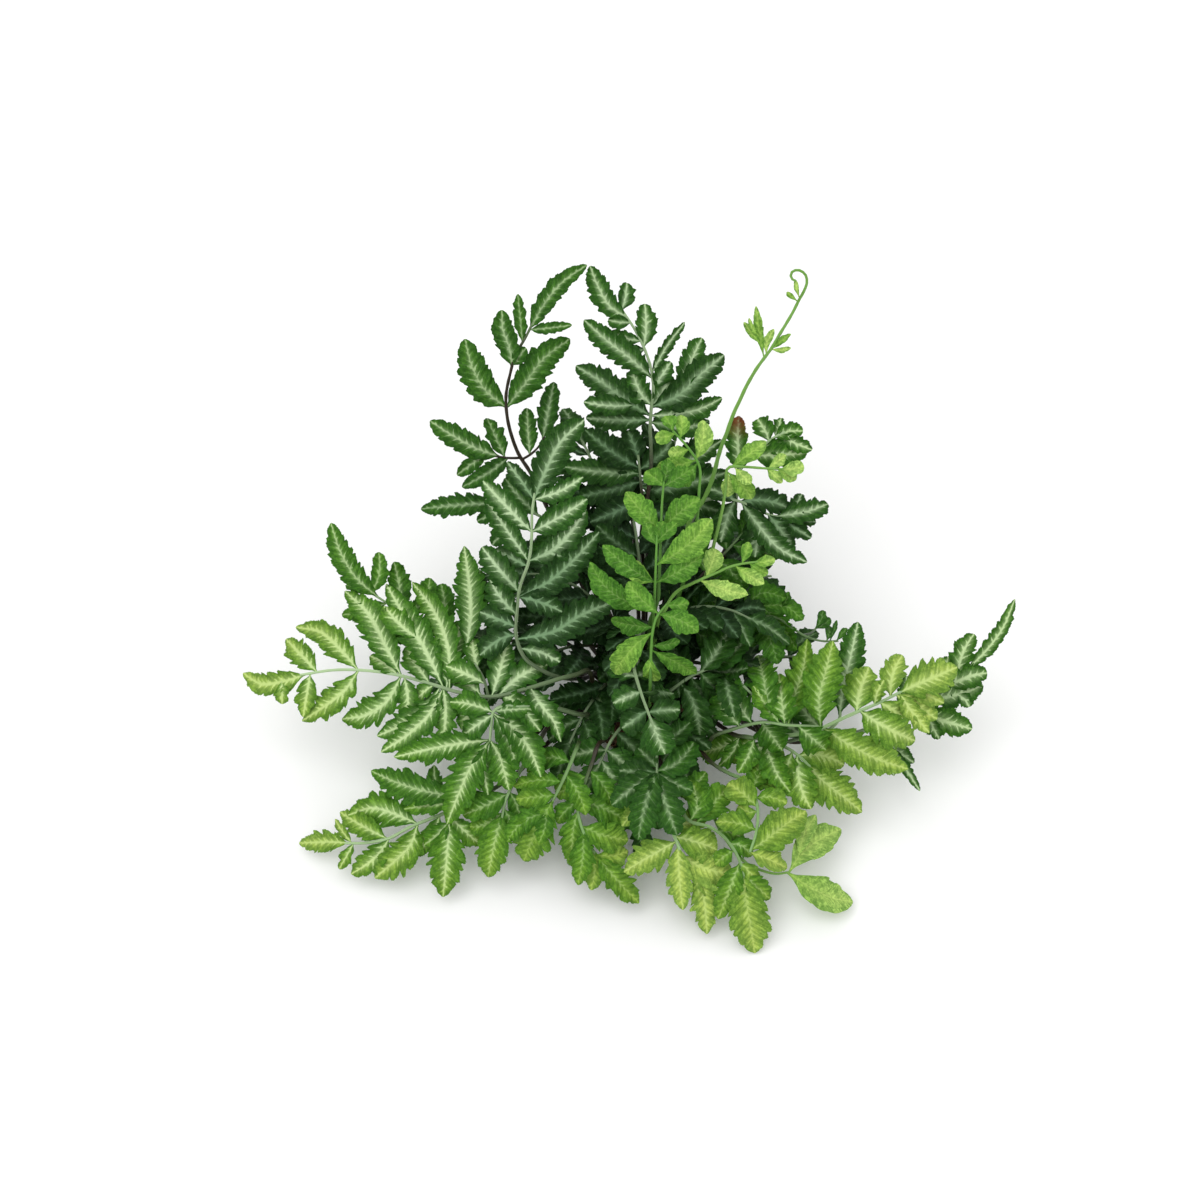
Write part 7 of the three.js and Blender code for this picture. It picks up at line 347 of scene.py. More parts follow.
      [8.3,0.03,-0.69,0.72,-68.6,-81,45.4,-65.1,-86.2,41,-62.9,-91.2,35.4],
      [8.8,0.12,-0.64,0.76,-66.6,-77.8,47.6,-60,-80.8,46.3,-54.6,-83.2,41.1]]),
    ('frond_front_low_left', 'mid', 0.52, 0.6,
     [[[-20.2,-3,27.5,1.15],[-31,-10.1,35.6,1.11],[-37.6,-21.8,40.9,1.07],[-44.8,-33.1,45.5,1.02],[-52.2,-43.8,48.9,0.98],[-59.8,-54,51,0.94],[-67.6,-63.8,52.2,0.9],[-74,-68.2,49.5,0.84],[-80.4,-72.4,46.8,0.78],[-87,-75.7,43.3,0.73],[-93.6,-77.9,39.1,0.67],[-97.6,-83.4,34.8,0.61],[-98.7,-90.3,30.7,0.55]]],
     [[15.5,-0.03,-0.61,0.79,-98.5,-88.7,31.6,-99.1,-100.7,26.9,-100.2,-110.6,19.1,-101.6,-118.5,8.3],
      [9.4,0.03,-0.48,0.88,-98.5,-89.3,31.3,-102.2,-93.5,30,-106.3,-96.8,27.9,-110.9,-99.7,26.1],
      [9.9,0.08,-0.6,0.8,-98.2,-87.2,32.6,-94,-91.1,30.8,-88.9,-94.8,27.7,-82.9,-97.8,23.3],
      [14.4,-0.21,-0.54,0.81,-94.6,-79.2,38.1,-109.3,-77.7,40.4,-124,-72.4,40.3,-138.4,-63,37.6],
      [8.3,-0.08,-0.57,0.82,-96.4,-81.8,36.1,-108.8,-82.8,35.8,-121.2,-82.9,33],
      [6.1,-0.04,-0.25,0.97,-101.1,-78.6,39.1,-105.6,-72.1,41.7,-106.7,-63.1,42.8],
      [9.4,-0.29,-0.65,0.7,-88.7,-76.3,42.3,-84.8,-82,40.4,-82.3,-87.2,36.6,-81.3,-91.7,31]]),
    ('frond_left_low', 'mid', 0.6, 0.65,
     [[[-19.3,-5.5,27.5,1.15],[-30.2,-14.2,30.3,1.11],[-36.7,-24.7,32.6,1.07],[-43.8,-34.9,34.2,1.02],[-51.2,-44.8,35.1,0.98],[-58.8,-54.5,35.4,0.94],[-66.5,-63.9,35.4,0.9],[-75.8,-71.1,34.9,0.86],[-85.5,-77.9,34.2,0.81],[-96.2,-82.3,32,0.77],[-107.3,-85.8,29.3,0.73],[-118.2,-89.3,26.6,0.68],[-128.7,-93.9,23.4,0.64],[-139.9,-94.3,20.1,0.59],[-151.1,-92.3,17,0.55]]],
     [[9.5,-0.4,-0.34,0.85,-148.8,-92.7,17.6,-157.4,-91,16,-166.3,-88.9,12.7,-175.3,-86,7.8],
      [14.3,-0.14,-0.42,0.9,-114.4,-88.1,27.5,-125,-83.7,29.3,-137.4,-79.8,29.4,-149.7,-80.7,24.7],
      [11.1,-0.3,-0.39,0.87,-129.5,-93.9,23.1,-137.8,-89.7,24.1,-146,-84.1,23.7,-154.2,-77,22],
      [4.8,-0.38,-0.28,0.88,-147.7,-92.9,17.9,-152.5,-86.7,19,-156.9,-78.8,18.5],
      [14.8,-0.14,-0.48,0.86,-114.4,-88.1,27.5,-118.2,-98.5,23.6,-126.4,-105.1,18.6,-135.5,-109.7,11.9],
      [11.1,-0.22,-0.49,0.84,-128.4,-93.7,23.5,-133.2,-100.5,20.3,-139.9,-104.6,16.1,-147.6,-106.7,10.9],
      [6.9,-0.37,-0.42,0.83,-146.6,-93.1,18.2,-150,-98.8,15,-153.9,-103.1,10],
      [9.5,-0.17,-0.52,0.84,-103.3,-84.5,30.2,-106.2,-91.8,27,-110.9,-97.1,22.8,-117.3,-100.4,17.5]]),
    ('frond_left_front', 'mid', 0.55, 0.75,
     [[[-14.3,-11.8,27.5,1.15],[-19,-21.8,37.9,1.11],[-23.6,-31.7,48,1.07],[-27.6,-42,58.5,1.02],[-33.2,-52.3,69.9,0.98],[-41.2,-56.3,78.6,0.94],[-49.2,-60.3,87.3,0.9],[-56.2,-63.4,91.4,0.84],[-63.2,-64,92.1,0.78],[-70.3,-61.2,88.9,0.73],[-75.7,-60.6,83.6,0.67],[-77,-64.3,76.9,0.61],[-77.8,-67.2,69,0.55]]],
     [[8.1,-0.35,-0.59,0.73,-75.7,-60.6,83.6,-64.1,-65.4,91.4,-52.8,-64.8,91.1],
      [13.7,0.11,-0.74,0.67,-75.9,-61.2,82.6,-65.1,-67.3,77.9,-57.7,-74.2,69.1,-52.9,-80.8,57.1],
      [10.6,-0.34,-0.71,0.62,-76,-61.4,82.1,-81.2,-63,78.7,-86.4,-64.3,74.5,-91.5,-65.1,69.6],
      [13.1,-0.13,-0.76,0.63,-77.8,-67.2,69,-93.6,-69,68.4,-109.4,-69.7,64.3,-125.4,-68.9,57.3],
      [16.2,-0.07,-0.8,0.6,-77.8,-67.2,69,-86.9,-76.5,60.4,-93.5,-85,48.2,-99.5,-92,33.1],
      [12.5,-0.02,-0.79,0.61,-77.8,-67.2,69,-73.3,-73.6,64.9,-70.7,-78.9,58.1,-68.7,-82.9,49.1],
      [10,-0.04,-0.79,0.61,-77.8,-67.2,69,-80.8,-76.5,59.2,-79,-84.2,46.8],
      [11.2,-0.37,-0.49,0.79,-75.8,-60.9,83.1,-82.7,-58,83.6,-89.9,-54.7,82.4,-97.5,-51.4,79],
      [11.2,0.06,-0.77,0.63,-76,-61.4,82.1,-70.6,-67.4,76.9,-67.1,-73,69.7,-65,-78,60.7],
      [9.2,0.18,-0.46,0.87,-61.45,-63.85,91.92,-57.7,-69.3,89.5,-52.9,-73.7,85]]),
    ('frond_left_silver', 'mid', 0.75, 0.95,
     [[[-18.1,-7.8,27.5,1.15],[-23.5,-14,38,1.11],[-28.7,-22.1,43.8,1.07],[-27.9,-26.8,64.8,1.02],[-30.1,-30.8,77.9,0.98],[-35.8,-36.9,82.2,0.94],[-42.6,-42,86,0.9],[-59.5,-47.3,84.4,0.86],[-76.7,-49.6,80.9,0.81],[-93,-44,77,0.77],[-108.3,-35.8,73.6,0.73],[-123.7,-27.7,69.8,0.68],[-140.3,-22.3,66.9,0.64],[-157.6,-19.5,63.9,0.59],[-175,-20.4,61,0.55]],
      [[-78.7,-48.9,80.4,0.6],[-81.1,-40.3,82.6,0.55],[-85.2,-32.2,83.9,0.5],[-90.3,-24.6,84.8,0.45]]],
     [[11.2,-0.23,-0.4,0.89,-171.5,-20.2,61.6,-182.7,-22.6,58.9,-194.5,-22.3,56.1,-204.8,-14.8,55.5],
      [7.5,-0.22,-0.39,0.89,-184.2,-22.6,58.6,-183.7,-28.7,57.2,-183.7,-33.4,54],
      [11.2,-0.19,-0.34,0.92,-166.2,-19.9,62.5,-171.6,-14.6,64.9,-177.2,-8.4,66.1,-183.1,-1.1,66],
      [12.5,-0.29,-0.32,0.9,-145.1,-21.5,66.1,-154.2,-11.4,69.5,-164.6,-0.5,70.1,-178.8,7.2,65.5],
      [15,-0.27,-0.36,0.89,-123.1,-28,69.9,-131.5,-14.1,77.3,-140.3,2.2,81.5,-153.5,19.1,79.8],
      [10,-0.34,-0.26,0.9,-124.7,-27.4,69.6,-131.4,-20.6,70.4,-139.7,-13.6,67.9],
      [15,-0.31,-0.31,0.9,-101.4,-39.5,75.1,-110.4,-22.2,82.4,-121.4,-3.1,85.5,-132.3,19.4,84.9],
      [12.5,-0.1,-0.16,0.98,-114.4,-15.3,83.5,-121.2,-10.8,85.6,-127.1,-4,86.1,-132.5,4.8,85],
      [13.7,-0.33,-0.26,0.91,-98.3,-41.2,75.8,-99.2,-22.3,85.2,-106.8,-1.7,88.3,-119.1,19.9,85.9],
      [14.2,-0.14,-0.12,0.98,-90.3,-24.6,84.8,-88.4,-6.5,90.9,-89.9,14.7,93.4,-93.2,38.4,92.4],
      [10,-0.37,-0.25,0.89,-82.1,-47.8,79.6,-90.1,-39.4,80.3,-98.4,-28.8,78.1],
      [11.2,-0.24,-0.29,0.93,-77.1,-49.5,80.8,-74.1,-41.6,85.9,-71.6,-32.4,89.5,-69.4,-21.8,91.5],
      [9.4,-0.15,-0.49,0.86,-169.7,-20.1,61.9,-171.2,-30.6,57.5,-173,-38.9,50.5],
      [13.7,-0.29,-0.42,0.86,-145.1,-21.5,66.1,-152.3,-31.3,61.6,-162.5,-36.6,55.6,-173.7,-39.4,47.9],
      [15.8,-0.4,-0.3,0.87,-123.1,-28,69.9,-130.1,-38.9,63.5,-140.6,-42.8,57.1,-153.3,-40.6,51],
      [13.1,-0.43,-0.29,0.86,-102.9,-38.7,74.8,-110.2,-49.5,69.9,-121.9,-53.4,62.9,-134.8,-53.5,54],
      [10.6,-0.34,-0.33,0.88,-101.4,-39.5,75.1,-99.9,-50.4,73.7,-100.1,-59.9,70,-102.4,-67.8,64.1],
      [11.2,0.3,-0.14,0.94,-58,-46.8,84.5,-52.6,-64,93,-46.4,-69.3,86.6,-43,-73.3,75.8],
      [13.7,-0.32,-0.17,0.93,-99.8,-40.4,75.5,-98.7,-28.6,80.3,-95.1,-16.1,83.8,-91.1,-2.1,85.4],
      [11.2,-0.12,-0.21,0.97,-80.5,-42.4,82,-86.8,-39.2,83.3,-93.3,-35.6,83.3,-100.1,-31.3,82.1],
      [12.5,-0.39,-0.28,0.88,-101.4,-39.5,75.1,-107.9,-52.6,70.9,-119.1,-60.2,63.6,-132.3,-63.1,53.7],
      [10,-0.35,-0.37,0.86,-121.5,-28.8,70.3,-119.2,-41.3,67.9,-121.1,-51.2,60.9],
      [11.2,-0.34,-0.41,0.85,-88.7,-45.5,78,-88.5,-51.8,76.4,-89.5,-57.1,73.5,-91.7,-61.3,69.3],
      [12.5,0.02,-0.33,0.95,-73.6,-49.2,81.5,-66.7,-43.5,85.2,-58.6,-38.3,86.8,-49.6,-33.5,86.3],
      [10.4,-0.37,-0.18,0.91,-108.3,-35.8,73.6,-114.6,-26,74.6,-121.4,-11.3,73],
      [8.6,-0.4,-0.29,0.87,-106.39,-36.82,74.02,-111.1,-39.6,71.8,-116.2,-43.1,67.5],
      [9.2,-0.04,-0.46,0.89,-72.4,-49.03,81.78,-66,-52.7,81.4,-59.2,-55.2,79.1],
      [9.2,-0.12,-0.13,0.99,-84.18,-34.23,83.58,-86.3,-27,85.3,-87.6,-15.7,85.5]]),
    ('frond_left_back', 'old', 0.1, 0.55,
     [[[-20.3,2.1,27.5,1.15],[-24.8,2.9,35.6,1.11],[-28.3,2.3,42,1.07],[-31.9,1.8,48.3,1.02],[-35.8,1.2,54.2,0.98],[-39.9,0.6,59.3,0.94],[-44.3,-0.1,63.9,0.9],[-60.3,-3.8,67.7,0.84],[-76.7,-5.5,71.1,0.78],[-93.4,-2.6,73.7,0.73],[-109.9,1.8,76.2,0.67],[-125.9,7.5,79.1,0.61],[-140.4,16,82.6,0.55]]],
     [[11.2,0.08,-0.48,0.88,-136,13.4,81.5,-147.4,20,89.4,-155.3,31.2,96.2,-160.7,46,101.5],
      [7.8,0,-0.65,0.76,-139.3,15.4,82.4,-135.5,22,90.3,-135.8,31.2,96],
      [6.6,-0.32,-0.26,0.91,-140.4,16,82.6,-146.5,20,81,-153.2,22.9,80.1],
      [10.8,0.1,-0.58,0.81,-124.8,7.1,78.9,-125.2,16.4,80.7,-126.6,23.1,85.3,-128.1,26.8,93.4],
      [10.8,0.08,-0.38,0.92,-102.7,-0.1,75.1,-102.2,6.2,78.7,-102.9,13.1,81.6,-104.6,20.4,83.8],
      [7.8,-0.17,-0.46,0.87,-131.5,10.8,80.4,-142.6,7.2,78.2,-154.7,7.8,74.3],
      [10.8,0.12,-0.45,0.89,-90.2,-3.1,73.2,-86.4,4.6,79.9,-85,14.6,84.8,-84.9,26.5,87.5],
      [10.8,0.17,-0.36,0.92,-110.2,1.9,76.3,-115.4,-2.9,76.7,-121,-6.6,76.3,-126.9,-9.1,75.1],
      [10.8,0.1,-0.46,0.88,-80.1,-4.9,71.6,-76.5,2.7,76.6,-72.7,11,80.5,-68.6,20,83.4],
      [9.6,0.04,-0.47,0.88,-119.9,5.4,78,-112.1,11.3,82.9,-110.1,22.1,86.4]]),
    ('frond_centre_silver', 'old', 0.28, 0.98,
     [[[-20.5,-0.5,27.5,1.15],[-27.3,-4.4,40.7,1.11],[-31.9,-14.1,50.2,1.07],[-36.6,-22.3,60.5,1.02],[-39.8,-30.2,70.5,0.98],[-43.8,-36.5,79.6,0.94],[-51,-39.8,88,0.9],[-60.8,-35.7,93.9,0.86],[-65.1,-27.2,100.8,0.81],[-64.6,-18.9,109.7,0.77],[-63.1,-10.4,118.3,0.73],[-59,-2.8,126.8,0.68],[-57.3,4.4,136.5,0.64],[-57,11.6,146.3,0.59],[-55.5,18.7,156,0.55]]],
     [[14.4,-0.02,-0.75,0.66,-56.1,15.9,152.1,-50.2,23.2,165.2,-43,32.2,175.5,-31.7,41.2,181.4],
      [8.4,-0.13,-0.75,0.65,-56.1,15.9,152.1,-62.2,21.5,159.8,-69,29.2,164.7],
      [10.8,-0.08,-0.76,0.65,-57.2,6.5,139.3,-65.2,10.7,146.6,-73,16.5,152.4,-80.8,24,156.7],
      [10.8,-0.15,-0.73,0.67,-58.9,-2.2,127.5,-65.8,3.7,135.9,-72.7,11.3,142.6,-79.6,20.5,147.6],
      [12,-0.11,-0.64,0.76,-63.5,-12.4,116.2,-69.7,-7.7,121.7,-75.8,-1.7,126,-81.7,5.7,129],
      [8.4,0.02,-0.78,0.63,-56.1,15.9,152.1,-43.5,17.3,156.7,-32.2,23.2,160.4],
      [12,0.06,-0.77,0.63,-57.2,6.5,139.3,-47.9,8.3,144.4,-39,12.1,148.2,-30.3,17.8,150.5],
      [13.2,0,-0.73,0.68,-58.9,-2.2,127.5,-47,0,133.1,-38,6.2,139.9,-30.8,15.1,146.3],
      [13.2,0.03,-0.66,0.75,-63.8,-14.1,114.5,-48.6,-10.1,121.8,-35.9,-1.4,129,-24.5,10.6,134.5],
      [14.4,0.18,-0.56,0.81,-64.4,-28.6,99.7,-47.3,-25.9,101.9,-32.3,-16.8,104.7,-16.1,-7.4,103.4],
      [12,-0.08,-0.67,0.74,-64.7,-20.1,108.4,-69.9,-17.2,112.6,-74.2,-12.8,116.2,-77.8,-6.9,118.9],
      [12,-0.06,-0.74,0.67,-65.1,-26.8,101.2,-71.7,-28.8,100.8,-77.6,-31.1,97.8,-82.8,-33.1,92.9],
      [10.2,-0.11,-0.7,0.71,-64.9,-24.3,103.9,-70.8,-22.8,106,-76.7,-20.6,107.2,-82.8,-17.8,107.5],
      [10.2,0.05,-0.73,0.68,-63.8,-14.1,114.5,-56.4,-15.9,114.3,-49.3,-17.4,112.2,-42.6,-18.5,108.4],
      [9.6,0.19,-0.62,0.77,-62.6,-32.1,96.8,-52.7,-33.5,95.3,-43.6,-35,89.9],
      [9.2,-0.23,-0.66,0.71,-59.51,-3.75,125.74,-66.9,-0.6,128,-75.4,4.4,128.2]]),
    ('frond_left_upper', 'old', 0.15, 0.35,
     [[[-10.6,5.7,33.5,1.15],[-13.4,9.4,57.4,1.11],[-16.3,13,58.2,1.07],[-19.4,16.7,66,1.02],[-23.1,20.5,74.7,0.98],[-26.8,24.5,83.2,0.94],[-29.1,29.3,92,0.9],[-36,34.8,96.8,0.84],[-43.2,40.1,101.4,0.78],[-51.3,44.8,105.2,0.73],[-60.2,48.5,108.2,0.67],[-69.8,50.5,110.2,0.61],[-79.7,50.8,112,0.55]]],
     [[10.9,0.06,-0.42,0.9,-75.9,50.7,111.3,-88.6,47.9,113.5,-101.4,46.5,113.6,-114.4,46.4,111.7],
      [7.5,0.07,-0.46,0.88,-72.2,50.6,110.6,-78.8,45.2,109.7,-86.1,42.1,107.3],
      [10.4,0.04,-0.51,0.86,-59.7,48.3,108,-66.7,42.7,107,-72.9,37.4,104.2,-78.6,32.7,99.7],
      [10.4,0.05,-0.38,0.92,-55,46.3,106.4,-61.3,50.7,110.4,-67.2,56.8,113.2,-72.3,64.6,115],
      [11.5,-0.02,-0.66,0.75,-44.2,40.7,101.9,-49.6,35.1,99,-54.3,30,94.4,-58.5,25.8,88.3],
      [10.4,0.13,-0.39,0.91,-44.2,40.7,101.9,-45.2,49.6,103.5,-45.2,56.8,107,-44.4,63,111.4]]),
    ('frond_centre_forward', 'old', 0.3, 0.75,
     [[[-4.7,-9.3,33.5,1.15],[-4.4,-11,47.4,1.11],[-3.7,-12.6,63.7,1.07],[-4,-15.2,79.6,1.02],[-5,-19.2,92.9,0.98],[-4.5,-24.3,102,0.94],[-5.5,-32.4,103.7,0.9],[-7.2,-38.7,101.9,0.84],[-7.7,-46.1,100.4,0.78],[-6,-54,98.7,0.73],[-3.6,-61.1,95.5,0.67],[-0.8,-67.2,91.1,0.61],[2,-73.4,87,0.55]]],
     [[14.4,0.12,-0.66,0.74,-0.1,-68.7,90.1,2.2,-73.9,86.8,4.7,-78.2,82.5,7.4,-81.8,77.2],
      [10.2,-0.48,0.05,0.88,-6.4,-51.9,99.1,-10.6,-47.5,96.1,-14.8,-43.6,93.7,-19.1,-40.1,91.5],
      [10.2,0.45,0.03,0.89,-6.5,-51.3,99.3,-2,-44.5,92.7,2.5,-42.4,92.5,6.8,-39.9,92.1],
      [10.8,0.08,-0.48,0.87,-4.4,-58.6,96.6,-8.9,-61.4,97.2,-13.3,-63.2,96.6,-17.7,-64.2,94.8],
      [10.8,-0.51,-0.79,0.35,-4.2,-59.2,96.4,1.3,-54.6,90.9,6.4,-57.5,94.4,11.1,-65.6,104.1],
      [10.8,0.09,-0.66,0.74,-1.2,-66.3,91.7,-5.2,-69,90.4,-9.3,-71.4,88.8,-13.4,-73.4,87],
      [10.8,0.15,-0.62,0.77,-0.7,-67.2,91.1,4.3,-66.7,91.9,9.5,-65.9,91.5,14.6,-64.8,90.1]]),
    ('frond_centre_low', 'old', 0.22, 0.65,
     [[[5.7,-15.8,27.5,1.15],[5.3,-20,35.7,1.11],[4.9,-24.2,43.6,1.07],[4.5,-28.1,51.3,1.02],[4.6,-32.3,58.6,0.98],[1.9,-33.9,69.7,0.94],[3.3,-41.7,68,0.9],[3.5,-48.3,67.5,0.84],[3.8,-55,67,0.78],[4,-61.5,66.1,0.73],[4,-68,64.4,0.67],[3.9,-74.2,62.2,0.61],[3.8,-80.5,60,0.55]]],
     [[10.2,-0.06,-0.26,0.96,3.9,-78.1,60.8,0.9,-74.5,61.6,-2.2,-71,62.3,-5.4,-67.6,63.1],
      [11.4,-0.11,-0.32,0.94,3.8,-80,60.2,-2.4,-80.4,60.6,-8.6,-79.7,60.1,-14.7,-77.8,58.8],
      [13.2,0.07,-0.27,0.96,3.8,-79.6,60.3,11.6,-77.6,61.8,17.6,-72,62.9,22.2,-64.1,63.2],
      [10.2,0.09,-0.37,0.93,3.8,-80.5,60,9.3,-84.1,59,15.1,-86.7,57.5,21.4,-88,55.4],
      [14.4,0.03,-0.42,0.91,3.8,-80,60.2,6.4,-90.7,57.4,9.6,-100,52.9,13.4,-108.1,47],
      [14.4,-0.03,-0.42,0.91,3.8,-80.5,60,-0.5,-92,58,-3.5,-102,53.3,-5.6,-110.4,46],
      [12,-0.08,-0.38,0.92,3.8,-80.5,60,-3.9,-85.9,59.4,-11.3,-90.2,56.8,-18.2,-94.2,52.3],
      [10.8,-0.08,-0.21,0.97,4,-64.2,65.4,-1.5,-61.2,66.8,-7.3,-57.8,67,-13.2,-54,66.2],
      [10.8,0.07,-0.2,0.98,4,-67.2,64.6,10,-64.3,66,15.6,-60,66.5,20.4,-53.9,66.1]]),
    ('frond_centre_right', 'old', 0.25, 0.55,
     [[[8.6,-15,27.5,1.15],[9,-20.5,34.5,1.11],[7.4,-26.4,41.6,1.07],[5.6,-32.4,47.9,1.02],[5.4,-34.8,60.4,0.98],[6.6,-38.2,65.3,0.94],[8.2,-41,71.2,0.9],[11.7,-40.9,75.6,0.84],[15.2,-39.9,78.6,0.78],[18.9,-38.3,80.8,0.73],[22.7,-37.3,83,0.67],[26.8,-36.5,84.8,0.61],[31.6,-28.8,77.3,0.55]]],
     [[14.4,-0.06,-0.11,0.99,25.3,-36.8,84.2,30.8,-31,86.4,35.5,-23.3,87.5,39.6,-14.1,87.5],
      [13.2,-0.13,-0.11,0.99,27.9,-34.7,83,35.4,-28.8,74.4,42.3,-31.6,78.3,48.8,-35.5,85.6],
      [13.2,-0.01,-0.97,0.23,20.5,-37.9,81.7,25.8,-38.6,71.4,30.3,-39.6,60.5,33.9,-44.7,53.9],
      [13.2,-0.08,-0.92,0.38,15.7,-39.7,78.9,21.1,-46.7,75.8,24.1,-52.3,68.8,25.8,-51.6,52.3],
      [12,-0.1,-0.36,0.93,31.6,-28.8,77.3,37.2,-28.5,83.5,42.8,-24.3,85.6,48.1,-16.2,83.8],
      [12,-0.57,-0.06,0.82,20.5,-37.9,81.7,17.1,-31.3,82.8,13.6,-21.9,80.2,10.1,-11.5,76.4],
      [12,0.38,-0.77,0.52,25.3,-36.8,84.2,30.4,-37.3,74.8,34.4,-37.9,63.9,37.6,-45.7,61.9]]),
    ('frond_centre_left_low', 'old', 0.25, 0.5,
     [[[-6.5,-15.7,27.5,1.15],[-6.4,-20.9,34.7,1.11],[-6.1,-26.1,41.6,1.07],[-6,-31.3,48,1.02],[-6.2,-36.3,53.5,0.98],[-6.9,-41.4,58.1,0.94],[-8.1,-46.5,62,0.9],[-11.5,-50.7,61.3,0.84],[-14.8,-54.9,60.5,0.78],[-17.9,-59.3,59.5,0.73],[-20.5,-63.7,57.8,0.67],[-22.9,-68.1,55.6,0.61],[-25,-72.4,53,0.55]]],
     [[12,-0.14,-0.64,0.75,-24.2,-70.8,54,-26.9,-74.1,51.3,-29,-77.5,48,-30.9,-80.7,44.3],
      [12,-0.2,-0.45,0.87,-20.9,-64.5,57.4,-27,-66,58.4,-33,-65.2,55.3,-38.8,-65.5,52.8],
      [12,0.1,-0.54,0.83,-20.9,-64.5,57.4,-15.7,-68,55.9,-11.4,-71.5,52.9,-8.2,-75.5,48.9],
      [12,-0.19,-0.08,0.98,-16.6,-57.4,59.9,-21.5,-52.8,59.5,-26.6,-48.4,59,-32,-44,58],
      [12,0.21,-0.41,0.89,-15.7,-56.1,60.2,-11.6,-59.5,58.5,-7.7,-62.7,56.2,-4.2,-65.8,53.1],
      [12,0.03,-0.64,0.77,-23.4,-69.1,55,-20,-74.3,53,-17.1,-78.6,49.3,-15.1,-82.1,43.8],
      [10.8,-0.12,0.05,0.99,-11.4,-50.6,61.3,-18,-45.2,61.9,-23.8,-37.3,60.6,-29,-27.5,57.8]]),
    ('frond_rear_1', 'old', 0.12, 0.5,
     [[[-2.7,16.4,27.5,1.15],[-3.2,21.8,33.5,1.11],[-3.6,27.1,39.5,1.07],[-3.9,32.4,45.4,1.02],[-4.3,37.5,51.1,0.98],[-4.6,42.6,56.6,0.94],[-5,47.7,62,0.9],[-6.7,64.2,75.5,0.81],[-8.9,84.9,78.6,0.73],[-10.9,103.3,68.2,0.64],[-12.3,117.4,52,0.55]]],
     [[11.1,0.15,-0.57,0.81,-5.8,54.8,67.8,7.5,61.8,74,17.8,75,77.6],
      [11.1,-0.02,-0.57,0.82,-5.8,55,68,-18.8,61.7,75.8,-30,73.4,80],
      [10.3,0.1,-0.05,0.99,-7.4,70.4,76.4,4.2,80.2,78.6,13.3,93.2,75.6],
      [10.3,-0.07,-0.06,1,-7.3,69.9,76.4,-20,79.3,78.9,-30.7,91.5,76],
      [8.7,0.02,0.57,0.82,-9.5,90.1,75.6,0,100.1,71.6,7.8,108.4,62.6],
      [8.7,-0.14,0.55,0.82,-9.5,90,75.7,-20.2,97.2,71.9,-29,103.2,63.5],
      [7.2,0,0.8,0.6,-11,104.4,67,-3.8,110.2,62.4,2.2,114.1,54.1],
      [7.2,-0.16,0.8,0.58,-11,105.1,66.2,-20.1,110,60.6,-27.3,112.8,51.1],
      [10.3,-0.08,0.82,0.56,-11.5,109.6,61,-12.5,121.1,49.2,-13,128.1,33.8]]),
    ('frond_rear_2', 'old', 0.15, 0.5,
     [[[9.6,14.6,27.5,1.15],[11.7,19,32.9,1.11],[13.7,23.3,38.4,1.07],[15.6,27.6,43.7,1.02],[17.6,31.7,48.9,0.98],[19.6,35.8,54,0.94],[21.6,39.9,58.9,0.9],[29.7,55.1,71.7,0.81],[39.5,73.8,69.3,0.73],[47,88.1,54.4,0.64],[52.6,98.9,36,0.55]]],
     [[10.9,-0.13,-0.5,0.86,24.5,45.5,63.6,38.7,45.9,69.3,53.7,52.5,72.1],
      [10.9,-0.33,-0.38,0.87,25,46.3,64.3,18.1,59.4,70.7,15.7,76.3,73.8],
      [9.6,0.18,0.15,0.97,33.1,61.7,70.8,46.7,66.7,70.2,59,73.4,64.4],
      [9.6,0.01,0.22,0.97,33.2,61.8,70.8,28.4,76.2,70.3,26,90.8,64.2],
      [9.2,0.42,0.61,0.67,41.4,77.5,65.4,53.8,78.9,60,63.6,79.6,49.7],
      [9.2,0.27,0.69,0.67,41.2,77.1,65.8,35.2,89.8,59.4,29.8,99.2,47.9],
      [7.4,0.48,0.73,0.48,47.4,89,53,57,89.2,47.2,64,88.1,37.6],
      [7.4,0.34,0.81,0.48,47.5,89.1,52.8,42.5,97.6,46.4,37.8,103,36.1],
      [10.3,0.42,0.79,0.45,49.5,92.9,46.2,53.9,101.8,32.8,56,106.2,16.6]]),
    ('frond_rear_3', 'old', 0.14, 0.5,
     [[[-11.6,13.6,27.5,1.15],[-13.6,18.2,32.9,1.11],[-16.4,22,38.2,1.07],[-19.2,25.8,43.4,1.02],[-21.8,29.6,48.5,0.98],[-24.4,33.4,53.3,0.94],[-27,37.2,58,0.9],[-36.8,50.7,70.4,0.81],[-48.6,66.9,67,0.73],[-57.1,78.6,52,0.64],[-63.5,87.4,34,0.55]]],
     [[11.7,0.38,-0.37,0.84,-31.1,42.8,63.1,-23.8,57.9,70.4,-22.4,76.6,74.1],
      [11.7,0.28,-0.48,0.83,-30.5,42,62.4,-46.6,38.4,70.3,-64.5,42.2,74.1],
      [9.4,-0.08,0.25,0.96,-39.9,54.9,69.5,-36.9,70.3,68.7,-35.8,84.8,62.1],
      [9.4,-0.22,0.16,0.96,-40.7,56.1,69.3,-55.1,58.6,68.3,-68,62.3,62],
      [9.2,-0.38,0.68,0.63,-50.2,69.1,64.2,-45.2,81.6,58.1,-40.4,90.9,46.7],
      [9.2,-0.53,0.57,0.63,-51,70.2,62.8,-63.9,68.3,57.8,-74.2,66.1,47.1],
      [7.2,-0.47,0.77,0.43,-58.3,80.2,48.7,-55.1,88.7,41.7,-51.3,93.8,31.9],
      [7.2,-0.59,0.69,0.43,-58.2,80.2,48.8,-67.4,79.8,41.6,-73.5,77.8,31.7],
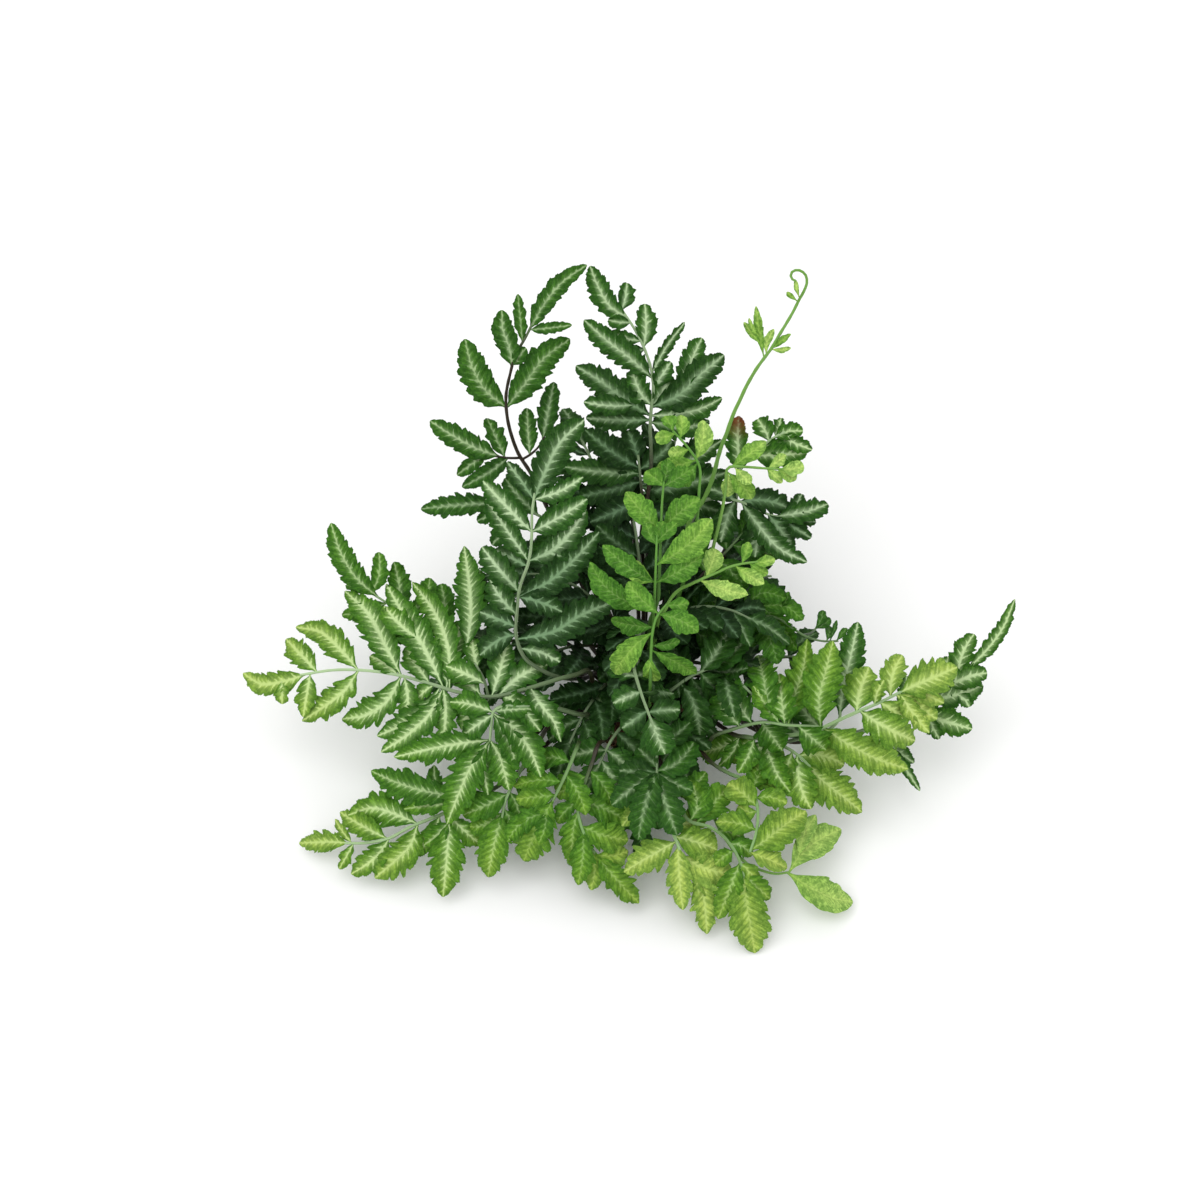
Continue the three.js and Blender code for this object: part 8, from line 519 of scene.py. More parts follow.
      [10.3,-0.54,0.74,0.41,-60,82.5,44,-65.3,90.2,30.3,-67.7,93.6,14]]),
    ('frond_rear_4', 'old', 0.1, 0.5,
     [[[2,9.9,33.5,1.15],[2.8,14.7,44.2,1.11],[3.9,21.1,54.3,1.07],[5.1,28.6,64,1.02],[6.4,36.2,73.3,0.98],[7.6,43.5,82.4,0.94],[8.7,49.7,91.5,0.9],[10.1,57.7,104.9,0.81],[11.8,67.2,117.3,0.73],[14,79.5,126.6,0.64],[16.7,94.5,128,0.55]]],
     [[10,-0.07,-0.81,0.58,9.2,52.6,96.4,21,54.2,104.5,31.9,62,112],
      [10,-0.32,-0.71,0.63,9.3,52.9,96.8,-3,60,103,-12,73,108.4],
      [9,-0.05,-0.73,0.68,10.5,60,107.9,22,61.9,114.5,32.5,69.7,120],
      [9,-0.19,-0.7,0.69,10.5,60.1,108.1,1.7,67.8,117.4,-4.5,80,124.2],
      [8.4,-0.02,-0.52,0.85,12.3,69.7,119.2,23.3,75,125.5,33.3,84.5,128.6],
      [8.4,-0.16,-0.49,0.86,12.3,69.8,119.3,4.1,78.4,125.5,-1.6,90.6,128.6],
      [7,0.08,-0.01,1,14.4,81.6,126.8,23.7,87.3,128.1,32,95.3,125.5],
      [7,-0.07,0.02,1,14.4,82,126.8,9.1,90.7,128.1,5.2,100.3,125.8],
      [9.7,0.01,0.03,1,15.2,86,127.2,18.3,101,129.5,21.4,116.2,126.3]]),
    ('frond_rear_5', 'old', 0.1, 0.5,
     [[[-8.2,7.8,33.5,1.15],[-9.4,12.5,43.6,1.11],[-11,19,53,1.07],[-12.8,26.4,62,1.02],[-14.8,33.9,70.7,0.98],[-16.8,40.8,79.3,0.94],[-18.7,46.4,88,0.9],[-21.4,53.1,101,0.81],[-24.7,61.2,113.1,0.73],[-29,71.9,122.4,0.64],[-34.5,85.3,124,0.55]]],
     [[10.7,0.55,-0.49,0.67,-19.8,49,93.1,-9.9,62.7,99.1,-4.5,81.4,104.1],
      [10.7,0.22,-0.79,0.58,-19.8,49.1,93.4,-33,49.6,103.8,-46.4,56.6,113.4],
      [9.2,0.35,-0.69,0.64,-22.3,55.2,104.2,-13.8,58.7,116.5,-8.9,74.8,117.9],
      [9.2,0.18,-0.72,0.67,-22.3,55.2,104.2,-33.8,55.7,112.6,-45.5,62.5,118.2],
      [8.8,0.29,-0.49,0.82,-25.5,63.1,114.7,-18.5,72.3,120.6,-14.8,85.1,124],
      [8.8,0.13,-0.56,0.82,-25.6,63.3,114.9,-38.6,64.4,121.5,-51.6,71.3,124.4],
      [7.2,0.08,0.01,1,-29.9,73.9,122.7,-25.2,84.5,124.2,-22.5,95.8,121.8],
      [7.2,-0.07,-0.05,1,-29.6,73.2,122.6,-40.4,77.2,124.1,-50.4,83.5,121.6],
      [9.7,-0.01,0.01,1,-31.4,77.7,123.1,-37.3,91.8,125.7,-43.2,106.2,122.8]]),
    ('frond_rear_right', 'old', 0.16, 0.5,
     [[[14.2,11.9,27.5,1.15],[16.9,15.1,30.9,1.11],[19.5,18.4,34.4,1.07],[22.1,21.5,37.8,1.02],[24.5,24.6,41.2,0.98],[26.9,27.4,44.6,0.94],[29.2,30.2,48,0.9],[37.3,38.7,62,0.81],[49.2,51,63.3,0.73],[57.9,60,50.2,0.64],[63.9,66.2,34,0.55]]],
     [[10.9,-0.43,-0.56,0.71,32.3,33.5,53.4,44.1,28,61.6,58.2,28.4,67.2],
      [10.9,-0.57,-0.43,0.7,32.2,33.3,53.1,24.7,47.2,60,24,64.4,65.8],
      [9.1,-0.05,0.06,1,46.5,48.1,63,45.8,61.8,64.6,47.7,75.5,61.4],
      [9.7,0.65,0.67,0.36,60.6,62.8,42.9,66.4,68.5,29.6,68.7,70.7,14.1]]),
    ('frond_rear_left', 'old', 0.16, 0.5,
     [[[-17.8,8.3,27.5,1.15],[-21.4,10.7,31.3,1.11],[-24.9,13.1,35.1,1.07],[-28.3,15.4,38.9,1.02],[-31.7,17.7,42.6,0.98],[-34.9,19.9,46.3,0.94],[-38.1,22,50,0.9],[-49.6,28.6,64,0.81],[-65.6,37.9,65.6,0.73],[-77.9,45,52.6,0.64],[-86.6,50,36,0.55]]],
     [[10.5,0.62,-0.27,0.74,-43.3,25,56.3,-43,39.1,64.7,-48.6,53.3,71.2],
      [10.5,0.53,-0.41,0.74,-42.8,24.7,55.8,-53.8,16.6,62.9,-68.9,13.3,68.1],
      [8.3,0.04,0.07,1,-62.5,36.1,65.3,-64.6,48.6,67,-69.9,60.8,64],
      [8.3,-0.04,-0.08,1,-61.2,35.3,65.2,-73.1,30,66.7,-86.5,27.6,63.5],
      [7.9,-0.73,0.52,0.44,-79.1,45.7,50.4,-78.1,56.7,44.1,-75.5,64.6,33.8],
      [7.9,-0.81,0.39,0.43,-78.6,45.4,51.3,-86.7,41.3,44.5,-91.5,37.1,34.4],
      [9.7,-0.79,0.45,0.41,-81.8,47.2,45.2,-89.7,51.2,32.4,-93.3,52.9,17]]),
    ('frond_lower_rear', 'old', 0.22, 0.4,
     [[[0.5,16.5,27.5,1.15],[0.7,20.7,28.6,1.11],[0.5,24.8,29.6,1.07],[0.3,28.8,30.6,1.02],[0.2,32.7,31.6,0.98],[0.1,36.4,32.7,0.94],[0,40,34,0.9],[0,53.7,46.1,0.81],[0,71.5,48.4,0.73],[0,86.7,38.5,0.64],[0,98,24,0.55]]],
     [[9.2,0.08,-0.59,0.8,0,45.6,38.9,9.9,51.8,45.5,18,62.5,49.5],
      [9.2,-0.09,-0.59,0.8,0,44.9,38.3,-11.6,50.5,44.4,-21.2,61.5,48.3],
      [7.7,0.08,-0.04,1,0,68.3,48,8.7,76.6,49.8,15.8,86.5,47.5],
      [7.7,-0.09,-0.05,0.99,0,67.7,47.9,-9.7,74.3,49.5,-17.6,83.6,47.1],
      [6.7,0.08,0.83,0.55,0,87.5,37.4,7.9,92.4,32.5,14.4,95.2,23.8],
      [6.7,-0.09,0.83,0.54,0,88.6,36,-7.8,93,31.4,-14.2,95.1,23.8],
      [9.1,0,0.86,0.52,0,91.7,32,-0.3,101.4,21.1,-0.5,106.8,7.2]]),
    ('frond_lower_right', 'old', 0.22, 0.4,
     [[[19.9,4.1,27.5,1.15],[24.2,5.4,28.3,1.11],[28.4,4.4,29,1.07],[32.5,3.3,29.5,1.02],[36.5,2.6,30.2,0.98],[40.3,2,31,0.94],[44,1.5,32,0.9],[58.2,2,44.1,0.81],[76.4,2.7,46.5,0.73],[92.1,3.2,36.6,0.64],[103.9,3.6,22,0.55]]],
     [[9.3,-0.57,-0.1,0.82,49.9,1.7,37,57.3,-8.8,44.2,69.7,-17.2,48.5],
      [9.3,-0.58,0.06,0.81,50.3,1.8,37.3,57.1,13.3,44.7,68.5,23,48.7],
      [7.8,-0.04,-0.09,1,73,2.5,46,80.5,-6.5,47.7,89.9,-13.8,45.3],
      [7.8,-0.05,0.09,1,72.4,2.5,46,79.4,12.2,47.6,89,20.3,45.2],
      [6.6,0.83,-0.06,0.56,93.8,3.3,34.5,98.8,-4.5,29.8,101.7,-10.9,21.3],
      [6.6,0.82,0.11,0.56,93.4,3.3,35,98,11.5,30.1,100.3,18.2,21.8],
      [9.1,0.85,0.02,0.53,97.4,3.4,30.1,107.2,3.1,19.3,112.9,2.8,5.5]]),
    ('frond_lower_left', 'old', 0.22, 0.4,
     [[[-19.7,4.6,27.5,1.15],[-23.9,7.5,28.5,1.11],[-28.2,5.4,29.5,1.07],[-32.4,3.9,30.6,1.02],[-36.4,2.8,31.6,0.98],[-40.2,2.1,32.8,0.94],[-44,1.5,34,0.9],[-59.2,2.1,46.2,0.81],[-78.3,2.7,48.5,0.73],[-95.1,3.3,38.8,0.64],[-107.9,3.8,24,0.55]]],
     [[10.2,0.55,0.06,0.83,-49.2,1.7,38.2,-56.6,13.8,45.6,-69.3,23.8,49.8],
      [10.2,0.54,-0.1,0.83,-50.2,1.8,38.9,-58.6,-10.3,46.6,-72.4,-19.9,50.9],
      [8.2,0.03,0.08,1,-73.7,2.6,48,-82.2,12.1,49.8,-92.8,20,47.3],
      [8.2,0.03,-0.08,1,-73.5,2.6,47.9,-82.6,-5.5,49.8,-93.2,-11.9,47.4],
      [7.2,-0.8,0.11,0.59,-96.6,3.4,37.2,-101.4,12.1,32.2,-104.1,19.2,23.7],
      [7.2,-0.81,-0.05,0.58,-96.3,3.4,37.4,-102.3,-4.4,31.9,-105.7,-10.8,23.2],
      [9.1,-0.83,0.03,0.56,-100.8,3.5,32.2,-111,3.6,21.8,-117.1,3.5,8.2]]),
    ('frond_lower_front', 'old', 0.25, 0.3,
     [[[-3.5,-16.3,27.5,1.15],[-3.7,-19.9,27.4,1.11],[-3.2,-23.2,27.5,1.07],[-2.6,-26.5,27.6,1.02],[-2,-29.8,27.6,0.98],[-1.6,-32.9,27.8,0.94],[-1.3,-36,28,0.9],[-1.7,-48.6,35.2,0.81],[-2.2,-62.9,33.9,0.73],[-2.6,-74.7,25.4,0.64],[-2.9,-83.9,14,0.55]]],
     [[8.1,-0.07,0.41,0.91,-1.4,-41.4,31.1,-10.2,-47.6,35.6,-17.6,-57.5,37.2],
      [8.1,0.1,0.41,0.91,-1.4,-40.4,30.5,7.6,-47.1,35,14.7,-57.4,36.5],
      [6.9,-0.08,-0.18,0.98,-1.8,-52.4,34.8,-8.8,-59.3,34.8,-14.6,-66.6,31.2],
      [6.9,0.09,-0.17,0.98,-1.8,-52.6,34.8,6,-58.6,34.9,12.5,-65.6,31.3],
      [6.9,-0.11,-0.65,0.75,-2.3,-65.1,32.3,-10,-70.3,29.1,-16.4,-74.6,22.2],
      [6.9,0.07,-0.65,0.76,-2.3,-65.4,32.1,5.7,-70.6,29.3,12.3,-75.2,22.3],
      [5.3,-0.11,-0.82,0.56,-2.7,-76.2,23.6,-8.9,-80,19.4,-14,-81.9,13],
      [5.3,0.05,-0.83,0.56,-2.6,-75.8,24.1,2.7,-79.5,20.5,7.2,-81.6,14.5],
      [7.8,-0.03,-0.83,0.55,-2.8,-78.8,20.3,-3.1,-86.9,12,-3.2,-91.6,1.2]]),
    ('frond_inner_left', 'old', 0.16, 0.55,
     [[[-11.8,-4.2,33.5,1.15],[-11.9,-3.3,36.8,1.11],[-11.8,-1.9,40.2,1.07],[-11.8,-0.4,43.5,1.02],[-12.1,0.9,46.7,0.98],[-12.9,1.6,49.5,0.94],[-14.4,1.4,51.9,0.9],[-25,-3.5,63.2,0.81],[-38.2,-9.6,70.5,0.73],[-52.7,-20.2,74.6,0.64],[-65.3,-30.4,72,0.55]]],
     [[12,0.62,0.3,0.73,-15,1.1,52.4,-27,6.2,64.8,-43,6.9,73.8],
      [8.6,0.63,0.3,0.72,-15,1.1,52.4,-20.1,8.9,56.7,-29.8,13.5,60.3],
      [12,0.63,0.29,0.72,-14.8,1.2,52.3,-16.8,-16.9,65.7,-24.8,-35.1,75.8],
      [8.6,0.64,0.22,0.73,-14.8,1.2,52.3,-10.8,-9.1,53.9,-11.9,-22.3,56.9],
      [11.4,0.65,0.29,0.7,-23.7,-2.9,61.8,-34.6,2.9,73.8,-49.9,4,83.3],
      [8.2,0.64,0.29,0.71,-23.7,-2.9,61.8,-27.5,5.1,64.2,-35.9,8.8,68],
      [11.4,0.46,0.32,0.83,-23.6,-2.8,61.7,-15.2,-28.1,74,-18.6,-38.6,72.8],
      [8.2,0.63,0.32,0.71,-23.6,-2.8,61.7,-19.8,-12.1,63,-20.8,-28.1,70.7],
      [9.5,0.53,0.19,0.82,-32.1,-6.8,67.1,-43.6,-5.1,77.1,-57.4,-6.6,83.4],
      [9.5,0.44,0.3,0.85,-32.7,-7,67.4,-34.6,-23,76.8,-41,-39.1,82.9],
      [9.1,0.18,-0.02,0.98,-44,-13.8,72.1,-55.8,-12.3,76.7,-68.4,-13.1,76.5],
      [9.1,0.03,0.17,0.99,-42.8,-12.9,71.8,-46.7,-28.8,76.9,-52.7,-43.6,77.3],
      [8.5,-0.37,-0.22,0.9,-54.6,-21.7,74.2,-65,-19.6,72.9,-74,-18.6,66.9],
      [8.5,-0.39,-0.1,0.91,-53.7,-21,74.4,-55.5,-33.3,74.5,-57.9,-44.1,70.1],
      [10.9,-0.46,-0.22,0.86,-58.2,-24.7,73.5,-71.2,-30.9,68.1,-81.3,-36.1,58.1]]),
    ('frond_inner_front_left', 'old', 0.18, 0.5,
     [[[-7.9,-8,33.5,1.15],[-7.9,-7.7,35.8,1.11],[-7.8,-7.2,38.2,1.07],[-7.8,-6.6,40.7,1.02],[-7.9,-6.3,42.9,0.98],[-8.2,-6.5,44.9,0.94],[-8.8,-7.3,46.4,0.9],[-15.7,-17.6,56.5,0.81],[-24,-32.2,63.5,0.73],[-32.4,-46.7,62,0.64],[-39.1,-58.7,54.9,0.55]]],
     [[10.1,0.33,0.51,0.79,-9.4,-8.2,47.3,-21.6,-10.9,57.5,-34.8,-18.4,64.7],
      [7.3,0.37,0.52,0.77,-9.4,-8.2,47.3,-16.5,-6.1,51.3,-25.3,-8,54.7],
      [10.1,0.39,0.41,0.82,-9.1,-7.8,46.9,-5.2,-18.8,52.9,-6.9,-34,58.9],
      [7.3,0.76,0.39,0.53,-9.1,-7.8,46.9,-5,-14.6,50,-5.2,-23.5,53],
      [10.1,0.34,0.51,0.79,-14.4,-15.7,54.6,-30.5,-18.8,63.9,-47.4,-26.5,70.4],
      [6.6,0.35,0.52,0.78,-14.4,-15.7,54.6,-20.8,-13.3,57.3,-28.6,-15.5,60.9],
      [9.2,0.35,0.51,0.79,-14.9,-16.4,55.3,-8.6,-38.5,75.4,-6.3,-45.8,70.3],
      [6.6,0.49,0.41,0.77,-14.9,-16.4,55.3,-8,-18.3,52.8,-3.9,-26.3,53.6],
      [11.3,0.21,0.26,0.94,-20.2,-25.5,60.3,-33.5,-35.9,66.3,-48.5,-44.7,71.9],
      [8.7,0.15,0.27,0.95,-20.4,-25.7,60.4,-17.9,-39.8,66.4,-18.2,-55,68.5],
      [10,-0.05,-0.18,0.98,-27.2,-37.7,63,-40.9,-40.8,64.4,-53.3,-44.8,61.5],
      [8.2,-0.17,-0.13,0.98,-26.8,-37,63,-23.8,-49.3,64,-22.5,-61.1,60.5],
      [7.5,-0.39,-0.52,0.76,-33.1,-48,61.3,-42.5,-50.6,57.2,-49.6,-52.7,49.5],
      [7.5,-0.27,-0.68,0.68,-32.9,-47.7,61.4,-29.4,-58.5,61.7,-26.7,-61.8,49.8],
      [10.3,-0.4,-0.6,0.69,-35.4,-52,58.9,-41.4,-61.7,49.8,-45.7,-69.2,37.7]]),
    ('frond_inner_front', 'old', 0.16, 0.5,
     [[[5.8,-8.9,33.5,1.15],[5.7,-8.6,34.6,1.11],[5.5,-8,35.8,1.07],[5.3,-7.4,37,1.02],[5.1,-6.9,38.1,0.98],[5.1,-6.8,39.1,0.94],[5.2,-7.2,39.8,0.9],[8.6,-17.5,47.5,0.81],[12.7,-30,49.6,0.73],[16.3,-45.1,49,0.64],[19.2,-59,46,0.55]]],
     [[10.9,-0.49,0.71,0.51,5.4,-7.7,40.1,-8.1,-15.2,43.4,-21.4,-34.6,51.6],
      [7.8,-0.57,0.64,0.51,5.4,-7.7,40.1,-2.4,-13.1,42.6,-7.5,-22.3,43.9],
      [10.9,-0.1,0.44,0.89,5.7,-8.5,40.8,11.4,-20.2,50.1,15.2,-36,55.5],
      [8.6,-0.15,0.61,0.78,8.1,-15.8,46.2,-1.9,-31.1,60.4,-8,-45,66.1],
      [8.6,-0.2,0.57,0.8,8.2,-16.1,46.4,19.3,-21.9,55.8,29.9,-32.9,63.7],
      [8.2,-0.24,0.37,0.9,11.2,-25.4,48.8,8.2,-39.3,56.1,7.2,-54.3,59.6],
      [8.2,-0.17,0.25,0.95,11.1,-25.1,48.8,21.5,-31.3,54.2,31.1,-40.1,56.2],
      [8.2,0.22,-0.07,0.97,14,-35.5,49.4,9.3,-48.5,51.4,5.7,-60.4,49.6],
      [8.2,-0.15,-0.18,0.97,14.1,-35.6,49.4,24.8,-43.7,53.5,34.1,-50,49.9],
      [6.6,0.29,-0.53,0.8,16.8,-47.1,48.5,11.4,-55.2,47.3,6.9,-61.9,42.5],
      [6.6,-0.19,-0.43,0.88,16.7,-46.7,48.6,24.6,-51.4,48.6,30.9,-56.4,47],
      [9.6,0.2,-0.62,0.76,17.6,-51.2,47.7,18.7,-63,41,18.8,-71.6,30.9]]),
    ('frond_inner_right', 'old', 0.16, 0.5,
     [[[11.1,-5.2,33.5,1.15],[11.1,-5.7,37.8,1.11],[10.8,-6.2,42.4,1.07],[10.5,-6.9,46.9,1.02],[10.7,-7.8,51.2,0.98],[11.4,-8.9,54.9,0.94],[13.2,-10.4,57.8,0.9],[22.7,-17.2,67.4,0.81],[34,-25.5,73,0.73],[45.4,-38.7,77.5,0.64],[55.5,-46,70.3,0.55]]],
     [[12.1,-0.5,0.21,0.84,14.1,-11.1,58.8,13.2,-24.7,65,18.3,-39.6,68.2],
      [8.7,-0.86,0,0.52,14.1,-11.1,58.8,9.3,-14.4,51,9.8,-23.5,51.9],
      [12.1,-0.29,0.46,0.84,14.2,-11.1,58.9,27.6,-3.1,62.6,43.7,0.9,62.2],
      [8.7,-0.38,0.52,0.77,14.2,-11.1,58.9,20.7,-0.5,57.5,30.8,6.6,55],
      [10.4,-0.52,0.36,0.77,21.1,-16.1,65.9,14.8,-32.9,74.5,15.1,-46.1,76],
      [7.5,-0.64,0.11,0.76,21.1,-16.1,65.9,16,-22.2,64.6,15.3,-30.5,62.9],
      [10.4,-0.3,0.48,0.82,21.6,-16.4,66.4,32.8,-5.8,65.6,46.6,-3.7,67.8],
      [7.5,-0.38,0.55,0.74,21.6,-16.4,66.4,27.1,-4,61.3,36,1.1,60.6],
      [9.8,0.05,-0.48,0.88,29.6,-22.2,70.8,32.3,-29.6,68.5,38.2,-37.3,62.1],
      [9.8,-0.07,0.23,0.97,29.9,-22.5,71,43.3,-19.6,71.3,55.7,-24.6,73.5],
      [8.7,0.14,-0.17,0.98,38.4,-30.6,74.7,39.1,-45.6,78.6,42.2,-54,70.1],
      [8.7,0.48,0.09,0.87,38,-30.2,74.6,50.1,-22.5,68.9,61.9,-18,60.2],
      [8.2,0.81,-0.34,0.48,46.8,-39.7,76.5,54,-36,65.1,61,-37.2,54.5],
      [8.2,0.76,-0.15,0.63,46.5,-39.5,76.7,57.8,-30.9,65.8,66.9,-26.6,55.2]]),
    ('frond_inner_right_back', 'old', 0.12, 0.5,
     [[[13,0.2,33.5,1.15],[13.6,0.2,42.1,1.11],[14,1.5,45.9,1.07],[14.3,2.9,50.9,1.02],[14.8,4.2,56.1,0.98],[15.7,5.5,61.1,0.94],[16.7,6.7,66,0.9],[25.8,10.4,77.1,0.81],[36.9,14.9,85.6,0.73],[50.2,20.3,88.6,0.64],[63,25.5,84,0.55]]],
     [[11.5,-0.43,-0.44,0.79,17.4,7,66.9,26.8,-0.9,71.3,41.1,-4.1,73.5],
      [8.3,-0.66,-0.35,0.67,17.4,7,66.9,20.1,-2.8,67.1,27.5,-10.2,67.7],
      [11.5,-0.67,-0.12,0.73,17.7,7.2,67.3,17.5,21.5,74.1,23.6,36.9,77.8],
      [8.3,-0.73,-0.16,0.67,17.7,7.2,67.3,16.4,15.6,70.3,19.6,24.2,73.3],
      [10.4,-0.34,-0.47,0.82,24.4,9.8,75.4,33.6,3.7,78.8,47,1.4,80],
      [7.5,-0.42,-0.69,0.58,24.4,9.8,75.4,27.7,3.6,72.6,35.1,-1,70.3],
      [9.6,0.05,-0.41,0.91,32.2,13,82,41.3,9.2,81.7,54.4,8.8,79],
      [9.6,-0.5,-0.11,0.86,32.5,13.1,82.2,38.4,23.2,89.9,48.6,32.6,94.2],
      [9.3,-0.07,-0.12,0.99,41.2,16.6,86.6,52.7,11,89.2,66.3,8.1,87.4],
      [9.3,-0.14,0.03,0.99,41.9,16.9,86.8,45.7,28.1,89.1,52.5,38.6,87.5],
      [8.3,0.4,0.08,0.91,51.7,20.9,88.1,61.7,16.8,86.2,71,13.9,80.2],
      [8.3,0.34,0.22,0.91,52.2,21.1,87.9,57,32,85.8,61.9,41.3,79.3]]),
    ('frond_inner_left_back', 'old', 0.12, 0.5,
     [[[-5.3,1,36,1.15],[-6.7,1.5,45.4,1.11],[-8.1,1.9,49.5,1.07],[-9.7,2.4,55.2,1.02],[-11.4,2.9,61,0.98],[-13.3,3.5,66.5,0.94],[-15.5,4.1,72,0.9],[-24.1,6.5,83.8,0.81],[-34.7,9.3,93.6,0.73],[-48,12.9,98.9,0.64],[-61.8,16.6,96,0.55]]],
     [[12,0.74,-0.11,0.67,-16,4.3,72.8,-17.9,18,81.8,-26.4,31.3,88.8],
      [8.6,0.77,-0.08,0.63,-16,4.3,72.8,-13.5,14.2,74,-16.1,24.5,75.5],
      [12,0.66,-0.31,0.69,-16.4,4.4,73.3,-24.4,-6.2,80.7,-37.4,-12.8,85.7],
      [8.6,0.55,-0.75,0.37,-16.4,4.4,73.3,-18.6,1.7,63.6,-26.1,-7.2,64.1],
      [10.5,0.73,-0.12,0.68,-22.9,6.1,82.1,-25.7,17,90.8,-33.6,27.4,97.4],
      [7.6,0.77,-0.07,0.63,-22.9,6.1,82.1,-21.1,15.3,83.4,-23.6,24.4,84.9],
      [10.5,0.7,-0.27,0.66,-22.4,6,81.5,-29.8,-3.9,89.1,-41.9,-10.4,95.2],
      [7.6,0.69,-0.37,0.62,-22.4,6,81.5,-24.6,-2.1,80.8,-31.2,-9.5,81.9],
      [9.2,0.61,-0.07,0.79,-30.1,8.1,89.4,-31.9,19,94.4,-38.6,29.5,97.6],
      [9.2,0.55,-0.23,0.8,-29.9,8,89.1,-38.1,1,95.5,-49.8,-3.3,99.4],
      [9.1,0.3,0,0.96,-38.9,10.4,95.3,-42.9,20.8,98.8,-50.6,30.5,99],
      [9.1,0.24,-0.15,0.96,-39.8,10.7,95.7,-49.6,4.1,99.4,-62,0,99.5],
      [8.4,-0.18,0.04,0.98,-49.8,13.3,98.5,-54.8,22.3,99.4,-61.2,30,95.7],
      [8.4,-0.29,-0.01,0.96,-49.3,13.2,98.6,-58.7,7,97.8,-68.2,2.4,92.7],
      [10.9,-0.29,0.08,0.95,-54,14.5,97.6,-68.8,18.1,95.7,-82.4,21.5,88.5]]),
    ('frond_inner_back', 'old', 0.1, 0.5,
     [[[-1,3.9,36,1.15],[-1.1,5.2,54.7,1.11],[-1.3,6.5,55.6,1.07],[-1.5,7.9,62.1,1.02],[-1.8,9.6,69.4,0.98],[-2.1,11.6,76.7,0.94],[-2.4,13.8,84,0.9],[-3.6,20.5,94.2,0.81],[-5.1,28.8,103.2,0.73],[-6.9,39.4,109,0.64],[-9,51.2,108,0.55]]],
     [[10.8,0.22,-0.74,0.64,-2.5,14.3,84.7,7.5,21,93.7,14.5,33.3,100.8],
      [7.8,0.26,-0.77,0.59,-2.5,14.3,84.7,6,16.3,86.3,12.9,22.3,88.3],
      [10.8,0.03,-0.77,0.64,-2.5,14.2,84.5,-14.7,17.4,93.7,-25.8,27,100.9],
      [7.8,-0.04,-0.8,0.6,-2.5,14.2,84.5,-11.3,14.3,85.2,-19.8,17.3,87.7],
      [9.4,0.19,-0.78,0.6,-3.4,19,91.9,5.6,24,100.4,12,34,106.6],
      [6.8,0.29,-0.75,0.59,-3.4,19,91.9,4.4,21.3,92.8,10.7,26.4,94.4],
      [9.4,0.12,-0.81,0.57,-3.4,19.2,92.1,-14.5,19.9,100,-24.6,26.2,106.5],
      [6.8,-0.05,-0.82,0.57,-3.4,19.2,92.1,-11.3,18.1,91.9,-19.4,20.6,92.8],
      [9.5,0.33,-0.45,0.83,-4.6,25.8,100,4,36.2,104.1,9.9,50,107.5],
      [9.5,0.08,-0.7,0.71,-4.4,25,99,-15.5,27.7,106.4,-25.7,35.4,111.7],
      [8.3,0.27,-0.2,0.94,-5.7,32.1,105,6.1,38,104.4,16.5,46.8,101.8],
      [8.3,-0.02,-0.41,0.91,-5.6,32,105,-15.3,36.5,108,-24.1,43.6,109.7],
      [6.8,0.04,0.17,0.99,-7.3,41.3,108.9,-0.8,55,102.3,3.8,56.9,105.8],
      [6.8,-0.11,0.16,0.98,-7.2,40.9,108.9,-15.2,45.9,108.8,-22.1,52,105.4],
      [10.3,0,0.03,1,-7.8,44.5,108.6,-10.2,60.3,106.5,-12.6,67.7,107.8]]),
    ('frond_inner_top', 'old', 0.1, 0.5,
     [[[-3.6,-3,36,1.15],[-3.1,-2.7,50.9,1.11],[-2.5,-2.5,53.6,1.07],[-2,-2.4,59.9,1.02],[-1.5,-2.8,66.5,0.98],[-1.1,-3.8,73,0.94],[-0.8,-5.2,79.1,0.9],[-2,-13.7,87.1,0.81],[-3.5,-24.1,92.2,0.73],[-5.2,-35.7,91.8,0.64],[-6.6,-46,86,0.55]]],
     [[11.6,-0.01,0.63,0.78,-0.9,-5.7,79.6,-14.4,-10.5,87.2,-26.6,-19.8,90.6],
      [8.3,-0.02,0.66,0.75,-0.9,-5.7,79.6,-11.4,-4.9,81.3,-21.7,-9.4,82.3],
      [11.6,0.26,0.58,0.77,-0.9,-5.8,79.7,11.7,-11.9,84.6,21.4,-21.1,83.7],
      [8.3,0.15,0.62,0.77,-0.9,-5.8,79.7,1.1,4.7,71.9,14.4,1.7,70.6],
      [9.3,0.02,0.62,0.78,-1.8,-12,85.5,-11.4,-17,92.7,-19.9,-26.3,97.4],
      [9.3,0.75,0.55,0.38,-1.9,-12.7,86.2,4.9,-22.6,94.2,9,-36.5,99.3],
      [8.4,-0.01,0.4,0.92,-2.9,-19.5,90,-12.3,-24.3,94.2,-20.6,-32.6,95.5],
      [8.4,0.33,0.69,0.65,-2.9,-20.1,90.3,6.2,-20.8,89.8,14.1,-24.7,86.5],
      [7.9,-0.13,-0.09,0.99,-4.1,-27.9,92.1,-13.7,-32.6,92.4,-22.1,-39.6,88.7],
      [7.9,-0.01,0.01,1,-4.2,-28.6,92.1,1.7,-39.3,95.7,6.1,-48.7,92.5],
      [7.4,-0.08,-0.47,0.88,-5.4,-37,91.1,-13.1,-43.3,88,-19.5,-50.4,82.7],
      [7.4,-0.07,-0.44,0.89,-5.3,-36.6,91.3,0.4,-45.7,88.8,4.9,-54.1,83.5],
      [10.3,-0.07,-0.49,0.87,-5.8,-40.2,89.3,-7.9,-53.5,83.7,-9.5,-65.2,74.8]]),
    ('frond_inner_top_right', 'old', 0.1, 0.5,
